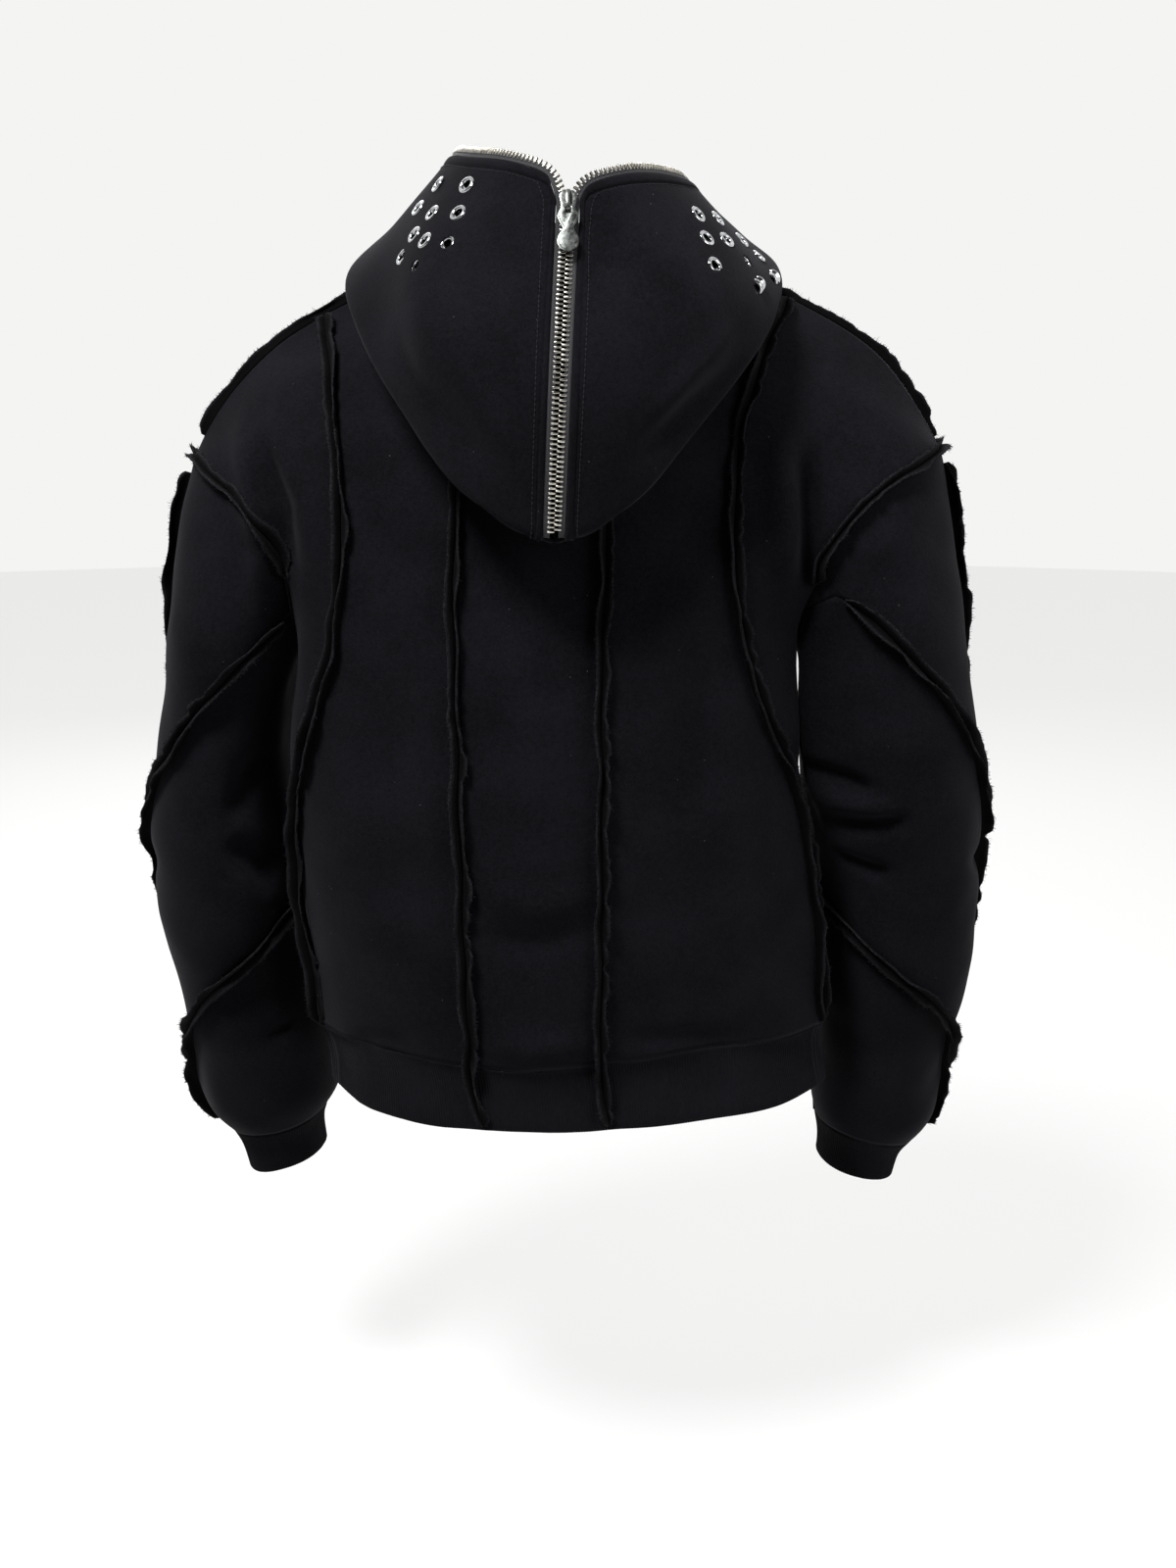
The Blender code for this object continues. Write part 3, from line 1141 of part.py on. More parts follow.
# ---------------------------------------------------------------- zip
def build_zip(body, body_seams, hood, hood_seams):
    """Two strips of zip tape with their chain: up the front, round the hood's opening and down its back."""
    sliders = {}
    for side in (LEFT, RIGHT):
        word = SIDE_NAMES[side]
        stations = []
        for index in body_seams[f"zip_front_{word}"][:-1:ZIP_FRONT_STRIDE]:
            stations.append((body.points[index], body.normals[index], FLEECE_WALL, True))
        for index in hood_seams[f"zip_neck_{word}"][1:]:
            stations.append((hood.points[index], hood.normals[index], HOOD_WALL, True))
        front_turn = len(stations) - 1
        for index in hood_seams[f"zip_opening_{word}"][1:]:
            stations.append((hood.points[index], hood.normals[index], HOOD_WALL, False))
        hood_turn = len(stations) - 1
        for index in hood_seams[f"zip_closed_{word}"][1:-1]:
            stations.append((hood.points[index], hood.normals[index], HOOD_WALL, True))
        lowest = hood_seams[f"zip_closed_{word}"][-1]
        sections = []
        middles = [place - normal * wall / 2 for place, normal, wall, _ in stations]
        end = hood.points[lowest] - hood.normals[lowest] * HOOD_WALL / 2
        middles[-1] = middles[-1] * (1 - ZIP_END_SHARE) + end * ZIP_END_SHARE
        for number, (place, normal, wall, closed) in enumerate(stations):
            if number in (front_turn + 1, hood_turn - 1):
                normal = normal * np.array([ZIP_TURN_SQUASH, 1.0, 1.0])
            along = unit(middles[min(number + 1, len(middles) - 1)] - middles[max(number - 1, 0)])
            closed = closed or number == hood_turn
            if closed:
                across = np.array([-side, 0.0, 0.0])
                out = unit(np.cross(along, across) * side)
            else:
                out = unit(normal - along * np.dot(normal, along))
                across = unit(np.cross(out, along)) * side
            sections.append(zip_section(middles[number], across, out))
        points, faces = swept(sections)
        make_object(f"zip_{word}", points, faces, "zip tape")
        sliders[side] = (sections, front_turn, hood_turn)
    return sliders


def zip_section(middle, across, out):
    """Section of a tape and its half of the chain, across from the cloth's edge."""
    chain_from = ZIP_CHAIN_FROM
    chain_to = ZIP_HALF_GAP - SEAM_GAP / 2
    thin, thick = ZIP_TAPE_THICK / 2, ZIP_CHAIN_THICK / 2
    outline = (
        (SEAM_GAP, -thin),
        (chain_from, -thin),
        (chain_from, -thick),
        (chain_to, -thick),
        (chain_to, thick),
        (chain_from, thick),
        (chain_from, thin),
        (SEAM_GAP, thin),
    )
    return [middle + across * reach + out * height for reach, height in outline]


# ---------------------------------------------------------------- raw edges
def build_raw_edge(spec, skin, line, start_trim, end_trim, tree):
    """Two plies of cloth that stand up along a seam and part, with a wavy edge."""
    places = np.array([skin.points[index] for index in line])
    normals = np.array([skin.normals[index] for index in line])
    lengths = lengths_along(places)
    total = lengths[-1]
    distances = [start_trim, total - end_trim]
    for near, far in zip(lengths, lengths[1:]):
        distances.append(near)
        if far - near > spec.step * RAW_EDGE_FARTHEST:
            distances.append((near + far) / 2)
    inside = [distance for distance in distances if start_trim <= distance <= total - end_trim]
    kept = [start_trim]
    for distance in sorted(set(inside)):
        if distance - kept[-1] > spec.step * RAW_EDGE_CLOSEST:
            kept.append(distance)
    kept[-1] = total - end_trim
    frames = []
    for distance in kept:
        place = at_length(places, lengths, distance)
        normal = unit(at_length(normals, lengths, distance))
        ahead = at_length(places, lengths, min(distance + RAW_EDGE_AIM, total))
        behind = at_length(places, lengths, max(distance - RAW_EDGE_AIM, 0))
        along = unit(ahead - behind)
        across = unit(np.cross(along, normal))
        frames.append((place, across, np.cross(across, along), distance))
    rises = [clear_rise(tree, *frame[:3]) for frame in frames]
    sizes = [free_size(spec, tree, *frame[:3], rise) for frame, rise in zip(frames, rises)]
    for number in range(len(frames) - 1):
        (place, across, normal, _), (other, other_across, other_normal, _) = frames[number : number + 2]
        for share in np.linspace(0.1, 0.9, RAW_EDGE_LOOKS):
            between = (
                place * (1 - share) + other * share,
                unit(across * (1 - share) + other_across * share),
                unit(normal * (1 - share) + other_normal * share),
            )
            rise = clear_rise(tree, *between)
            size = free_size(spec, tree, *between, rise)
            rises[number] = max(rises[number], rise)
            rises[number + 1] = max(rises[number + 1], rise)
            sizes[number] = min(sizes[number], size)
            sizes[number + 1] = min(sizes[number + 1], size)
    sections = []
    for (place, across, normal, distance), rise, size in zip(frames, rises, sizes):
        sections.append(raw_section(spec, place + normal * rise, across, normal, distance, size))
    points, faces = swept(sections)
    make_object(spec.name, points, faces, "fleece")


def clear_rise(tree, place, across, normal):
    """How high the cloth stands over a seam's line under the root of its raw edges."""
    rise = 0.0
    for reach in (-RAW_EDGE_THICK, -RAW_EDGE_THICK / 2, 0.0, RAW_EDGE_THICK / 2, RAW_EDGE_THICK):
        start = place + across * reach * RAW_ROOT_OVER + normal * RAW_EDGE_LOOK
        hit = tree.ray_cast(Vector(start), Vector(-normal), RAW_EDGE_LOOK * 2)[0]
        if hit is not None:
            rise = max(rise, float(np.dot(np.array(hit) - place, normal)))
    return rise


def free_size(spec, tree, place, across, normal, rise):
    """Share of its full height that a raw edge has room for before it meets other cloth."""
    tall = spec.width + spec.wave + RAW_EDGE_LIFT
    start = Vector(place + normal * (rise + RAW_EDGE_LIFT))
    free = tall + RAW_EDGE_ROOM
    for turn in np.linspace(-spec.splay - RAW_EDGE_SWAY, spec.splay + RAW_EDGE_SWAY, 5) + spec.lean:
        way = across * math.sin(turn) + normal * math.cos(turn)
        distance = tree.ray_cast(start, Vector(way), free)[3]
        if distance is not None:
            free = min(free, distance)
    return max((free - RAW_EDGE_ROOM) / tall, RAW_EDGE_LEAST)


def raw_section(spec, place, across, normal, distance, size):
    """Section of a raw edge at a distance along its seam."""
    wave = math.sin(2 * math.pi * distance / spec.wave_length + spec.phase)
    second = math.sin(2 * math.pi * distance / (spec.wave_length * RAW_SECOND_WAVE) + spec.phase * RAW_SECOND_PHASE)
    lean = spec.lean + RAW_LEAN_WAVE * wave
    tall = (spec.width + spec.wave * second) * size
    short = (spec.width - spec.wave * wave) * size
    ply = RAW_EDGE_THICK
    notch = (math.sin(lean) * RAW_NOTCH * size, RAW_EDGE_LIFT + math.cos(lean) * RAW_NOTCH * size)
    left = -(spec.splay + RAW_SPLAY_WAVE * second) + lean
    right = spec.splay + RAW_SPLAY_WAVE * wave + lean
    outline = (
        (-ply, RAW_EDGE_LIFT),
        (-ply + math.sin(left) * tall, RAW_EDGE_LIFT + math.cos(left) * tall),
        (math.sin(left) * tall, RAW_EDGE_LIFT + math.cos(left) * tall + RAW_EDGE_BEVEL),
        notch,
        (math.sin(right) * short, RAW_EDGE_LIFT + math.cos(right) * short + RAW_EDGE_BEVEL),
        (ply + math.sin(right) * short, RAW_EDGE_LIFT + math.cos(right) * short),
        (ply, RAW_EDGE_LIFT),
    )
    return [place + across * reach + normal * height for reach, height in outline]


def build_raw_edges(skin, seams, tree):
    """All the raw edges, each cut short where it meets another seam."""
    for side in (LEFT, RIGHT):
        word = SIDE_NAMES[side]
        trims = {
            "vertical": (0.001, 0.115),
            "curved": (0.001, 0.030),
            "shoulder": (0.006, 0.012),
            "armhole": (0.085, 0.070),
            "outer": (0.014, 0.006),
            "under": (0.020, 0.006),
        }
        for kind, (start, end) in trims.items():
            spec = RAW_EDGES[f"{kind}_{word}"]
            build_raw_edge(spec, skin, seams[f"{kind}_{word}"], start, end, tree)


# ---------------------------------------------------------------- sliders and pulls
def slab(outline, low, high, frame):
    """Points and faces of a plate: an outline in the zip's plane between two heights over it."""
    ring = [(half, along) for half, along in outline] + [(-half, along) for half, along in outline[::-1]]
    sections = [[frame(across * MM, along * MM, height) for across, along in ring] for height in (low, high)]
    return swept(sections)


def box(across, along, height, frame):
    """Points and faces of a block between two values on each axis of a frame."""
    sections = [
        [frame(x, y, z) for x, y in ((across[0], along[0]), (across[1], along[0]), (across[1], along[1]),
                                     (across[0], along[1]))]
        for z in height
    ]
    return swept(sections)


def zip_frame(middle, upward, outward):
    """Function that places a point given across, along and over the zip."""
    sideways = np.cross(upward, outward)

    def place(across, along, height):
        return middle + sideways * across + upward * along + outward * height

    return place


def build_slider(name, middle, upward, outward):
    """Slider of two plates held by a wedge between the chains, with a bridge for its pull."""
    frame = zip_frame(middle, upward, outward)
    top = SLIDER_CLEAR + SLIDER_PLATE
    made = make_object(name, *slab(SLIDER_OUTLINE, SLIDER_CLEAR, top, frame), "dark metal", middle)
    half_post, post_length = SLIDER_POST
    post_top = SLIDER_OUTLINE[-1][1]
    inner = BRIDGE_HALF_SPAN - BRIDGE_BAR
    half = BRIDGE_HALF_WIDTH
    room = top + BRIDGE_ROOM
    sunk = SLIDER_SUNK
    parts = (
        slab(SLIDER_OUTLINE, -top, -SLIDER_CLEAR, frame),
        box(
            (-half_post * MM, half_post * MM),
            ((post_top - post_length) * MM, (post_top - SLIDER_POST_SHORT) * MM),
            (-SLIDER_CLEAR - sunk, SLIDER_CLEAR + sunk),
            frame,
        ),
        box((-half, half), (-BRIDGE_HALF_SPAN, -inner), (top - sunk, room + sunk), frame),
        box((-half, half), (inner, BRIDGE_HALF_SPAN), (top - sunk, room + sunk), frame),
        box((-half, half), (-BRIDGE_HALF_SPAN, BRIDGE_HALF_SPAN), (room, room + BRIDGE_BAR), frame),
    )
    for points, faces in parts:
        combine(made, points, faces, "UNION")


def build_pull(name, middle, upward, outward):
    """Plain lobed pull that hangs from the slider's bridge, its origin on its hinge."""
    hinge = middle - upward * PULL_DROP + outward * (SLIDER_CLEAR + SLIDER_PLATE + BRIDGE_ROOM / 2)
    pull = zip_frame(hinge, -upward, outward)
    points, faces = slab(PULL_OUTLINE, -PULL_THICK / 2, PULL_THICK / 2, pull)
    made = make_object(name, points, faces, "dark metal", hinge)
    hole_points, hole_faces = slab(PULL_HOLE, -PULL_THICK, PULL_THICK, pull)
    combine(made, hole_points, hole_faces, "DIFFERENCE")


def build_sliders(strips):
    """Sliders and pulls where the zip parts at the front and at the back of the hood."""
    sections, front_turn, hood_turn = strips[LEFT]
    for name, turn, step in (("front", front_turn, -1), ("hood", hood_turn, 1)):
        here = np.mean([strips[side][0][turn] for side in (LEFT, RIGHT)], axis=(0, 1))
        below = np.mean([strips[side][0][turn + step] for side in (LEFT, RIGHT)], axis=(0, 1))
        upward = unit(here - below)
        upward[0] = 0.0
        sideways = np.array([1.0, 0.0, 0.0])
        outward = unit(np.cross(upward, sideways))
        if np.dot(outward, here) < 0:
            outward = -outward
        here[0] = 0.0
        middle = here + upward * SLIDER_RISE[name]
        build_slider(f"slider_{name}", middle, upward, outward)
        build_pull(f"pull_{name}", middle, upward, outward)


# ---------------------------------------------------------------- build
def main():
    """Build the whole garment."""
    for existing in list(bpy.data.objects):
        bpy.data.objects.remove(existing, do_unlink=True)
    bpy.context.scene.unit_settings.system = "METRIC"
    body, body_seams = build_body_skin()
    cloth_points, cloth_triangles = [], []
    for piece in sorted(body.cells):
        wall = RIB_WALL if piece.startswith(("hem_rib", "cuff")) else FLEECE_WALL
        finish = "rib" if piece.startswith(("hem_rib", "cuff")) else "fleece"
        points, triangles = body.solid(piece, wall)
        make_object(piece, points, triangles, finish)
        first = len(cloth_points)
        cloth_points.extend(points)
        cloth_triangles.extend(tuple(index + first for index in triangle) for triangle in triangles)
    hood, hood_seams = build_hood_skin()
    build_hood(hood)
    strips = build_zip(body, body_seams, hood, hood_seams)
    build_sliders(strips)
    build_raw_edges(body, body_seams, surface_tree(cloth_points, cloth_triangles))


main()
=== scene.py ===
"""Worn zip-up hoodie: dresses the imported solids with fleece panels, raw seam edges, ribs, zip and eyelets.

Metres, +Z up. The front faces -Y and the wearer's left is +X, as in the frame. Cloth is made as thin shells on
its solids' forms, and one field of soft creases moves every piece alike, so that what is sewn stays together.
"""

from __future__ import annotations

import json
import logging
import math
from bisect import bisect_right
from collections.abc import Callable
from dataclasses import dataclass, field
from enum import Enum

import bmesh
import bpy
import numpy as np
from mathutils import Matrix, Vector
from mathutils.bvhtree import BVHTree
from mathutils.kdtree import KDTree

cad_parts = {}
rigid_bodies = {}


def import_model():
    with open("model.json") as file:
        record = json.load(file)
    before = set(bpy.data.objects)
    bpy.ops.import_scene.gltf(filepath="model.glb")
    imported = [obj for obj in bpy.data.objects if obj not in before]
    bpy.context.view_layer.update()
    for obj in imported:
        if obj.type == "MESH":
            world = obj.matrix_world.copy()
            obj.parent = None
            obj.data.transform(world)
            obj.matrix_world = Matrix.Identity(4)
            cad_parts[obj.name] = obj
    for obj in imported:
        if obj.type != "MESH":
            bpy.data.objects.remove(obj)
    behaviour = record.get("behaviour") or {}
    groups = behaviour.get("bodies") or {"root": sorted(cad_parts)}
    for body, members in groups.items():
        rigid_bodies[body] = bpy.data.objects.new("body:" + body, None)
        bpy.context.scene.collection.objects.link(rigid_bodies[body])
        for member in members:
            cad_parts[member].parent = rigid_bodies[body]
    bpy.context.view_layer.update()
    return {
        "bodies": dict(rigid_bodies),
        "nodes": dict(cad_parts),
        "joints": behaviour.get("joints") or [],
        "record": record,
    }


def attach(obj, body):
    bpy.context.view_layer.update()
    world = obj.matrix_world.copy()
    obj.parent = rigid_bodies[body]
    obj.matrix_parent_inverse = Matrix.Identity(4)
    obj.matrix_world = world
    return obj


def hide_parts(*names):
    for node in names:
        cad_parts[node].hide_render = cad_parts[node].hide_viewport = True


LOG = logging.getLogger("hoodie")
MM = 0.001
FLEECE_WALL = 2.2 * MM
HOOD_WALL = 3.0 * MM
ZIP_HALF_GAP = 8.0 * MM
SEAM_GAP = 0.3 * MM


class Side(Enum):
    """Side of the wearer; the value is the sign of X there."""

    LEFT = 1
    RIGHT = -1

    @property
    def word(self) -> str:
        """Name of the side as the nodes spell it."""
        return self.name.lower()


# ------------------------------------------------------------------ small tools
def unit(vectors: np.ndarray) -> np.ndarray:
    """Vectors at length one."""
    sizes = np.linalg.norm(vectors, axis=-1, keepdims=True)
    return vectors / np.maximum(sizes, 1e-12)


def smooth_step(share: np.ndarray) -> np.ndarray:
    """Zero to one with level ends."""
    share = np.clip(share, 0.0, 1.0)
    return share * share * (3 - 2 * share)


def lengths_along(points: np.ndarray) -> np.ndarray:
    """Distance of each point of a line from its start."""
    steps = np.linalg.norm(np.diff(points, axis=0), axis=1)
    return np.concatenate(([0.0], np.cumsum(steps)))


def even_line(points: np.ndarray, step: float) -> np.ndarray:
    """A line with its points set at even steps.

    Args:
        points: the line's points.
        step: distance between two new points.

    Returns:
        The new points, both ends kept.
    """
    lengths = lengths_along(points)
    count = max(int(round(lengths[-1] / step)), 2)
    places = np.linspace(0, lengths[-1], count + 1)
    return np.stack([np.interp(places, lengths, points[:, axis]) for axis in range(3)], axis=1)


def softened(values: np.ndarray, size: float, rounds: int = 1) -> np.ndarray:
    """Values along a line evened out over neighbours.

    Args:
        values: one value or vector for each point.
        size: spread, in points.
        rounds: how often.

    Returns:
        The evened values.
    """
    reach = max(int(size * 3), 1)
    weights = np.exp(-0.5 * (np.arange(-reach, reach + 1) / max(size, 1e-3)) ** 2)
    weights /= weights.sum()
    flat = values.reshape(len(values), -1)
    for _ in range(rounds):
        padded = np.concatenate([np.repeat(flat[:1], reach, 0), flat, np.repeat(flat[-1:], reach, 0)])
        flat = np.stack(
            [np.convolve(padded[:, column], weights, mode="valid") for column in range(flat.shape[1])], axis=1
        )
    return flat.reshape(values.shape)


def spline(points: np.ndarray, places: np.ndarray) -> np.ndarray:
    """Points of the smooth line that a subdivided border takes, its two ends held.

    Args:
        points: corners of the coarse line, along the first axis.
        places: where to look, counted in corners from the first.

    Returns:
        One point for each place.
    """
    rows = np.concatenate([[2 * points[0] - points[1]], points, [2 * points[-1] - points[-2]]])
    low = np.clip(np.floor(places).astype(int), 0, len(points) - 2)
    part = (places - low).reshape((-1,) + (1,) * (points.ndim - 1))
    a, b, c, d = (rows[low + step] for step in range(4))
    return (
        (1 - part) ** 3 * a
        + (3 * part**3 - 6 * part**2 + 4) * b
        + (-3 * part**3 + 3 * part**2 + 3 * part + 1) * c
        + part**3 * d
    ) / 6


def grid_faces(rows: int, columns: int, first: int = 0, closed: bool = False) -> list[tuple[int, ...]]:
    """Faces between the points of a grid.

    Args:
        rows: points down.
        columns: points across.
        first: index of the grid's first point.
        closed: whether the last column meets the first.

    Returns:
        Four corners for each face.
    """
    faces = []
    for row in range(rows - 1):
        for column in range(columns if closed else columns - 1):
            after = (column + 1) % columns
            near, far = first + row * columns, first + (row + 1) * columns
            faces.append((near + column, near + after, far + after, far + column))
    return faces


def make_piece(name: str, points: np.ndarray, faces: list[tuple[int, ...]], turn_out: bool = True) -> bpy.types.Object:
    """Object at the origin with its place in its mesh.

    Args:
        name: of the object.
        points: vertices in the frame.
        faces: corners of each face.
        turn_out: whether the faces are turned outwards.

    Returns:
        The linked object.
    """
    mesh = bpy.data.meshes.new(name)
    mesh.from_pydata([tuple(point) for point in points], [], faces)
    mesh.validate()
    if turn_out:
        shape = bmesh.new()
        shape.from_mesh(mesh)
        bmesh.ops.recalc_face_normals(shape, faces=shape.faces)
        shape.to_mesh(mesh)
        shape.free()
    mesh.polygons.foreach_set("use_smooth", [True] * len(mesh.polygons))
    made = bpy.data.objects.new(name, mesh)
    bpy.context.scene.collection.objects.link(made)
    return made


def mesh_points(made: bpy.types.Object) -> np.ndarray:
    """Vertices of an object's mesh."""
    values = np.empty(len(made.data.vertices) * 3)
    made.data.vertices.foreach_get("co", values)
    return values.reshape(-1, 3)


def set_points(made: bpy.types.Object, points: np.ndarray) -> None:
    """Moves the vertices of an object's mesh."""
    made.data.vertices.foreach_set("co", points.ravel())
    made.data.update()


def deselect() -> None:
    """Leaves nothing selected."""
    bpy.ops.object.select_all(action="DESELECT")


def apply_modifiers(made: bpy.types.Object) -> None:
    """Applies an object's modifiers in order."""
    deselect()
    made.select_set(True)
    bpy.context.view_layer.objects.active = made
    for name in [modifier.name for modifier in made.modifiers]:
        bpy.ops.object.modifier_apply(modifier=name)


# ------------------------------------------------------------------ finishes
def linear(code: str) -> tuple[float, float, float, float]:
    """Colour of an sRGB hex code in linear light."""
    values = [int(code[index : index + 2], 16) / 255 for index in (1, 3, 5)]
    turned = [value / 12.92 if value <= 0.04045 else ((value + 0.055) / 1.055) ** 2.4 for value in values]
    return (*turned, 1.0)


def add_node(
    tree: bpy.types.NodeTree, kind: str, settings: dict | None = None, links: dict | None = None
) -> bpy.types.Node:
    """Adds a node with its settings and links.

    Args:
        tree: the material's nodes.
        kind: type of the node.
        settings: properties and input values by name.
        links: output sockets by the input they go to.

    Returns:
        The node.
    """
    node = tree.nodes.new(kind)
    for key, value in (settings or {}).items():
        if isinstance(key, str) and hasattr(node, key):
            setattr(node, key, value)
        else:
            node.inputs[key].default_value = value
    for key, source in (links or {}).items():
        tree.links.new(source, node.inputs[key])
    return node


def set_ramp(node: bpy.types.Node, stops: list[tuple[float, str]]) -> bpy.types.Node:
    """Gives a colour ramp its stops, as places and hex codes."""
    elements = node.color_ramp.elements
    while len(elements) < len(stops):
        elements.new(0.5)
    for element, (place, code) in zip(elements, stops):
        element.position = place
        element.color = linear(code)
    return node


@dataclass(frozen=True)
class Fleece:
    """Heavy cotton fleece, loop-knit, brushed and dyed black: matt, with a dusty haze where light grazes it."""

    name: str = "brushed cotton fleece"
    dark: str = "#070609"
    light: str = "#16151a"
    lint: str = "#5a585c"
    sheen: float = 0.05
    sheen_tint: str = "#c2c2cc"
    roughness: float = 0.93
    grain: float = 1.3 * MM  # the knit's 0.6 mm loops, drawn as coarse as they need to show
    grain_height: float = 0.22 * MM
    fray: bool = False

    def make(self) -> bpy.types.Material:
        """Material of the cloth, made once."""
        found = bpy.data.materials.get(self.name)
        if found is not None:
            return found
        made = bpy.data.materials.new(self.name)
        made.use_nodes = True
        tree = made.node_tree
        shader = tree.nodes["Principled BSDF"]
        places = add_node(tree, "ShaderNodeTexCoord").outputs["Object"]
        cloud = add_node(
            tree, "ShaderNodeTexNoise", {"Scale": 1 / 0.055, "Detail": 3.0, "Roughness": 0.55}, {"Vector": places}
        )
        nap = add_node(
            tree, "ShaderNodeTexNoise", {"Scale": 1 / 0.0035, "Detail": 3.0, "Roughness": 0.7}, {"Vector": places}
        )
        grain = add_node(
            tree, "ShaderNodeTexNoise", {"Scale": 1 / self.grain, "Detail": 2.0, "Roughness": 0.6}, {"Vector": places}
        )
        mixed = add_node(
            tree,
            "ShaderNodeMath",
            {"operation": "MULTIPLY_ADD", 1: 0.35},
            {0: nap.outputs["Fac"], 2: add_node(
                tree,
                "ShaderNodeMath",
                {"operation": "MULTIPLY_ADD", 1: 0.30},
                {0: cloud.outputs["Fac"], 2: add_node(
                    tree, "ShaderNodeMath", {"operation": "MULTIPLY", 1: 0.35}, {0: grain.outputs["Fac"]}
                ).outputs[0]},
            ).outputs[0]},
        )
        ramp = set_ramp(
            add_node(tree, "ShaderNodeValToRGB", None, {"Fac": mixed.outputs[0]}),
            [(0.40, self.dark), (0.60, self.light)],
        )
        specks = add_node(tree, "ShaderNodeTexVoronoi", {"Scale": 1 / 0.011}, {"Vector": places})
        near = add_node(
            tree, "ShaderNodeMath", {"operation": "LESS_THAN", 1: 0.032}, {0: specks.outputs["Distance"]}
        )
        picked = add_node(tree, "ShaderNodeSeparateColor", None, {"Color": specks.outputs["Color"]})
        some = add_node(
            tree, "ShaderNodeMath", {"operation": "GREATER_THAN", 1: 0.62}, {0: picked.outputs["Red"]}
        )
        lint = add_node(
            tree, "ShaderNodeMath", {"operation": "MULTIPLY"}, {0: near.outputs[0], 1: some.outputs[0]}
        )
        colour = add_node(
            tree,
            "ShaderNodeMix",
            {"data_type": "RGBA", 7: linear(self.lint)},
            {0: lint.outputs[0], 6: ramp.outputs["Color"]},
        )
        surface = colour.outputs[2]
        height = grain.outputs["Fac"]
        if self.fray:
            fray_and_shade_shares = add_node(tree, "ShaderNodeAttribute", {"attribute_name": "fray"})
            loops = add_node(
                tree, "ShaderNodeTexVoronoi", {"Scale": 1 / 0.0016}, {"Vector": places}
            )
            tip = add_node(
                tree, "ShaderNodeMapRange", {"From Min": 0.72, "From Max": 1.0}, {"Value": fray_and_shade_shares.outputs["Fac"]}
            )
            share = add_node(
                tree,
                "ShaderNodeMath",
                {"operation": "MULTIPLY"},
                {0: tip.outputs["Result"], 1: loops.outputs["Distance"]},
            )
            lighter = add_node(
                tree,
                "ShaderNodeMix",
                {"data_type": "RGBA", 7: linear("#2b2a2e")},
                {0: share.outputs[0], 6: surface},
            )
            # Painted shade: the colour darkens to a quarter towards each ply's root, where the channel between the
            # plies lies in shade.
            root = add_node(
                tree,
                "ShaderNodeMapRange",
                {"From Min": 0.35, "From Max": 0.85, "To Min": 0.25, "To Max": 1.0},
                {"Value": fray_and_shade_shares.outputs["Fac"]},
            )
            shaded = add_node(
                tree,
                "ShaderNodeMix",
                {"data_type": "RGBA", "blend_type": "MULTIPLY", 0: 1.0},
                {6: lighter.outputs[2], 7: root.outputs["Result"]},
            )
            surface = shaded.outputs[2]
            height = add_node(
                tree,
                "ShaderNodeMath",
                {"operation": "MULTIPLY_ADD", 1: 0.8},
                {0: loops.outputs["Distance"], 2: height},
            ).outputs[0]
        tree.links.new(surface, shader.inputs["Base Color"])
        fine = add_node(
            tree,
            "ShaderNodeBump",
            {"Strength": 1.0, "Distance": self.grain_height},
            {"Height": height},
        )
        soft = add_node(
            tree,
            "ShaderNodeBump",
            {"Strength": 0.8, "Distance": 0.22 * MM},
            {"Height": nap.outputs["Fac"], "Normal": fine.outputs["Normal"]},
        )
        tree.links.new(soft.outputs["Normal"], shader.inputs["Normal"])
        rough = add_node(
            tree,
            "ShaderNodeMapRange",
            {"From Min": 0.3, "From Max": 0.7, "To Min": self.roughness - 0.06, "To Max": self.roughness + 0.05},
            {"Value": nap.outputs["Fac"]},
        )
        tree.links.new(rough.outputs["Result"], shader.inputs["Roughness"])
        shader.inputs["Sheen Weight"].default_value = self.sheen
        shader.inputs["Sheen Roughness"].default_value = 0.45
        shader.inputs["Sheen Tint"].default_value = linear(self.sheen_tint)
        shader.inputs["Specular IOR Level"].default_value = 0.07
        return made


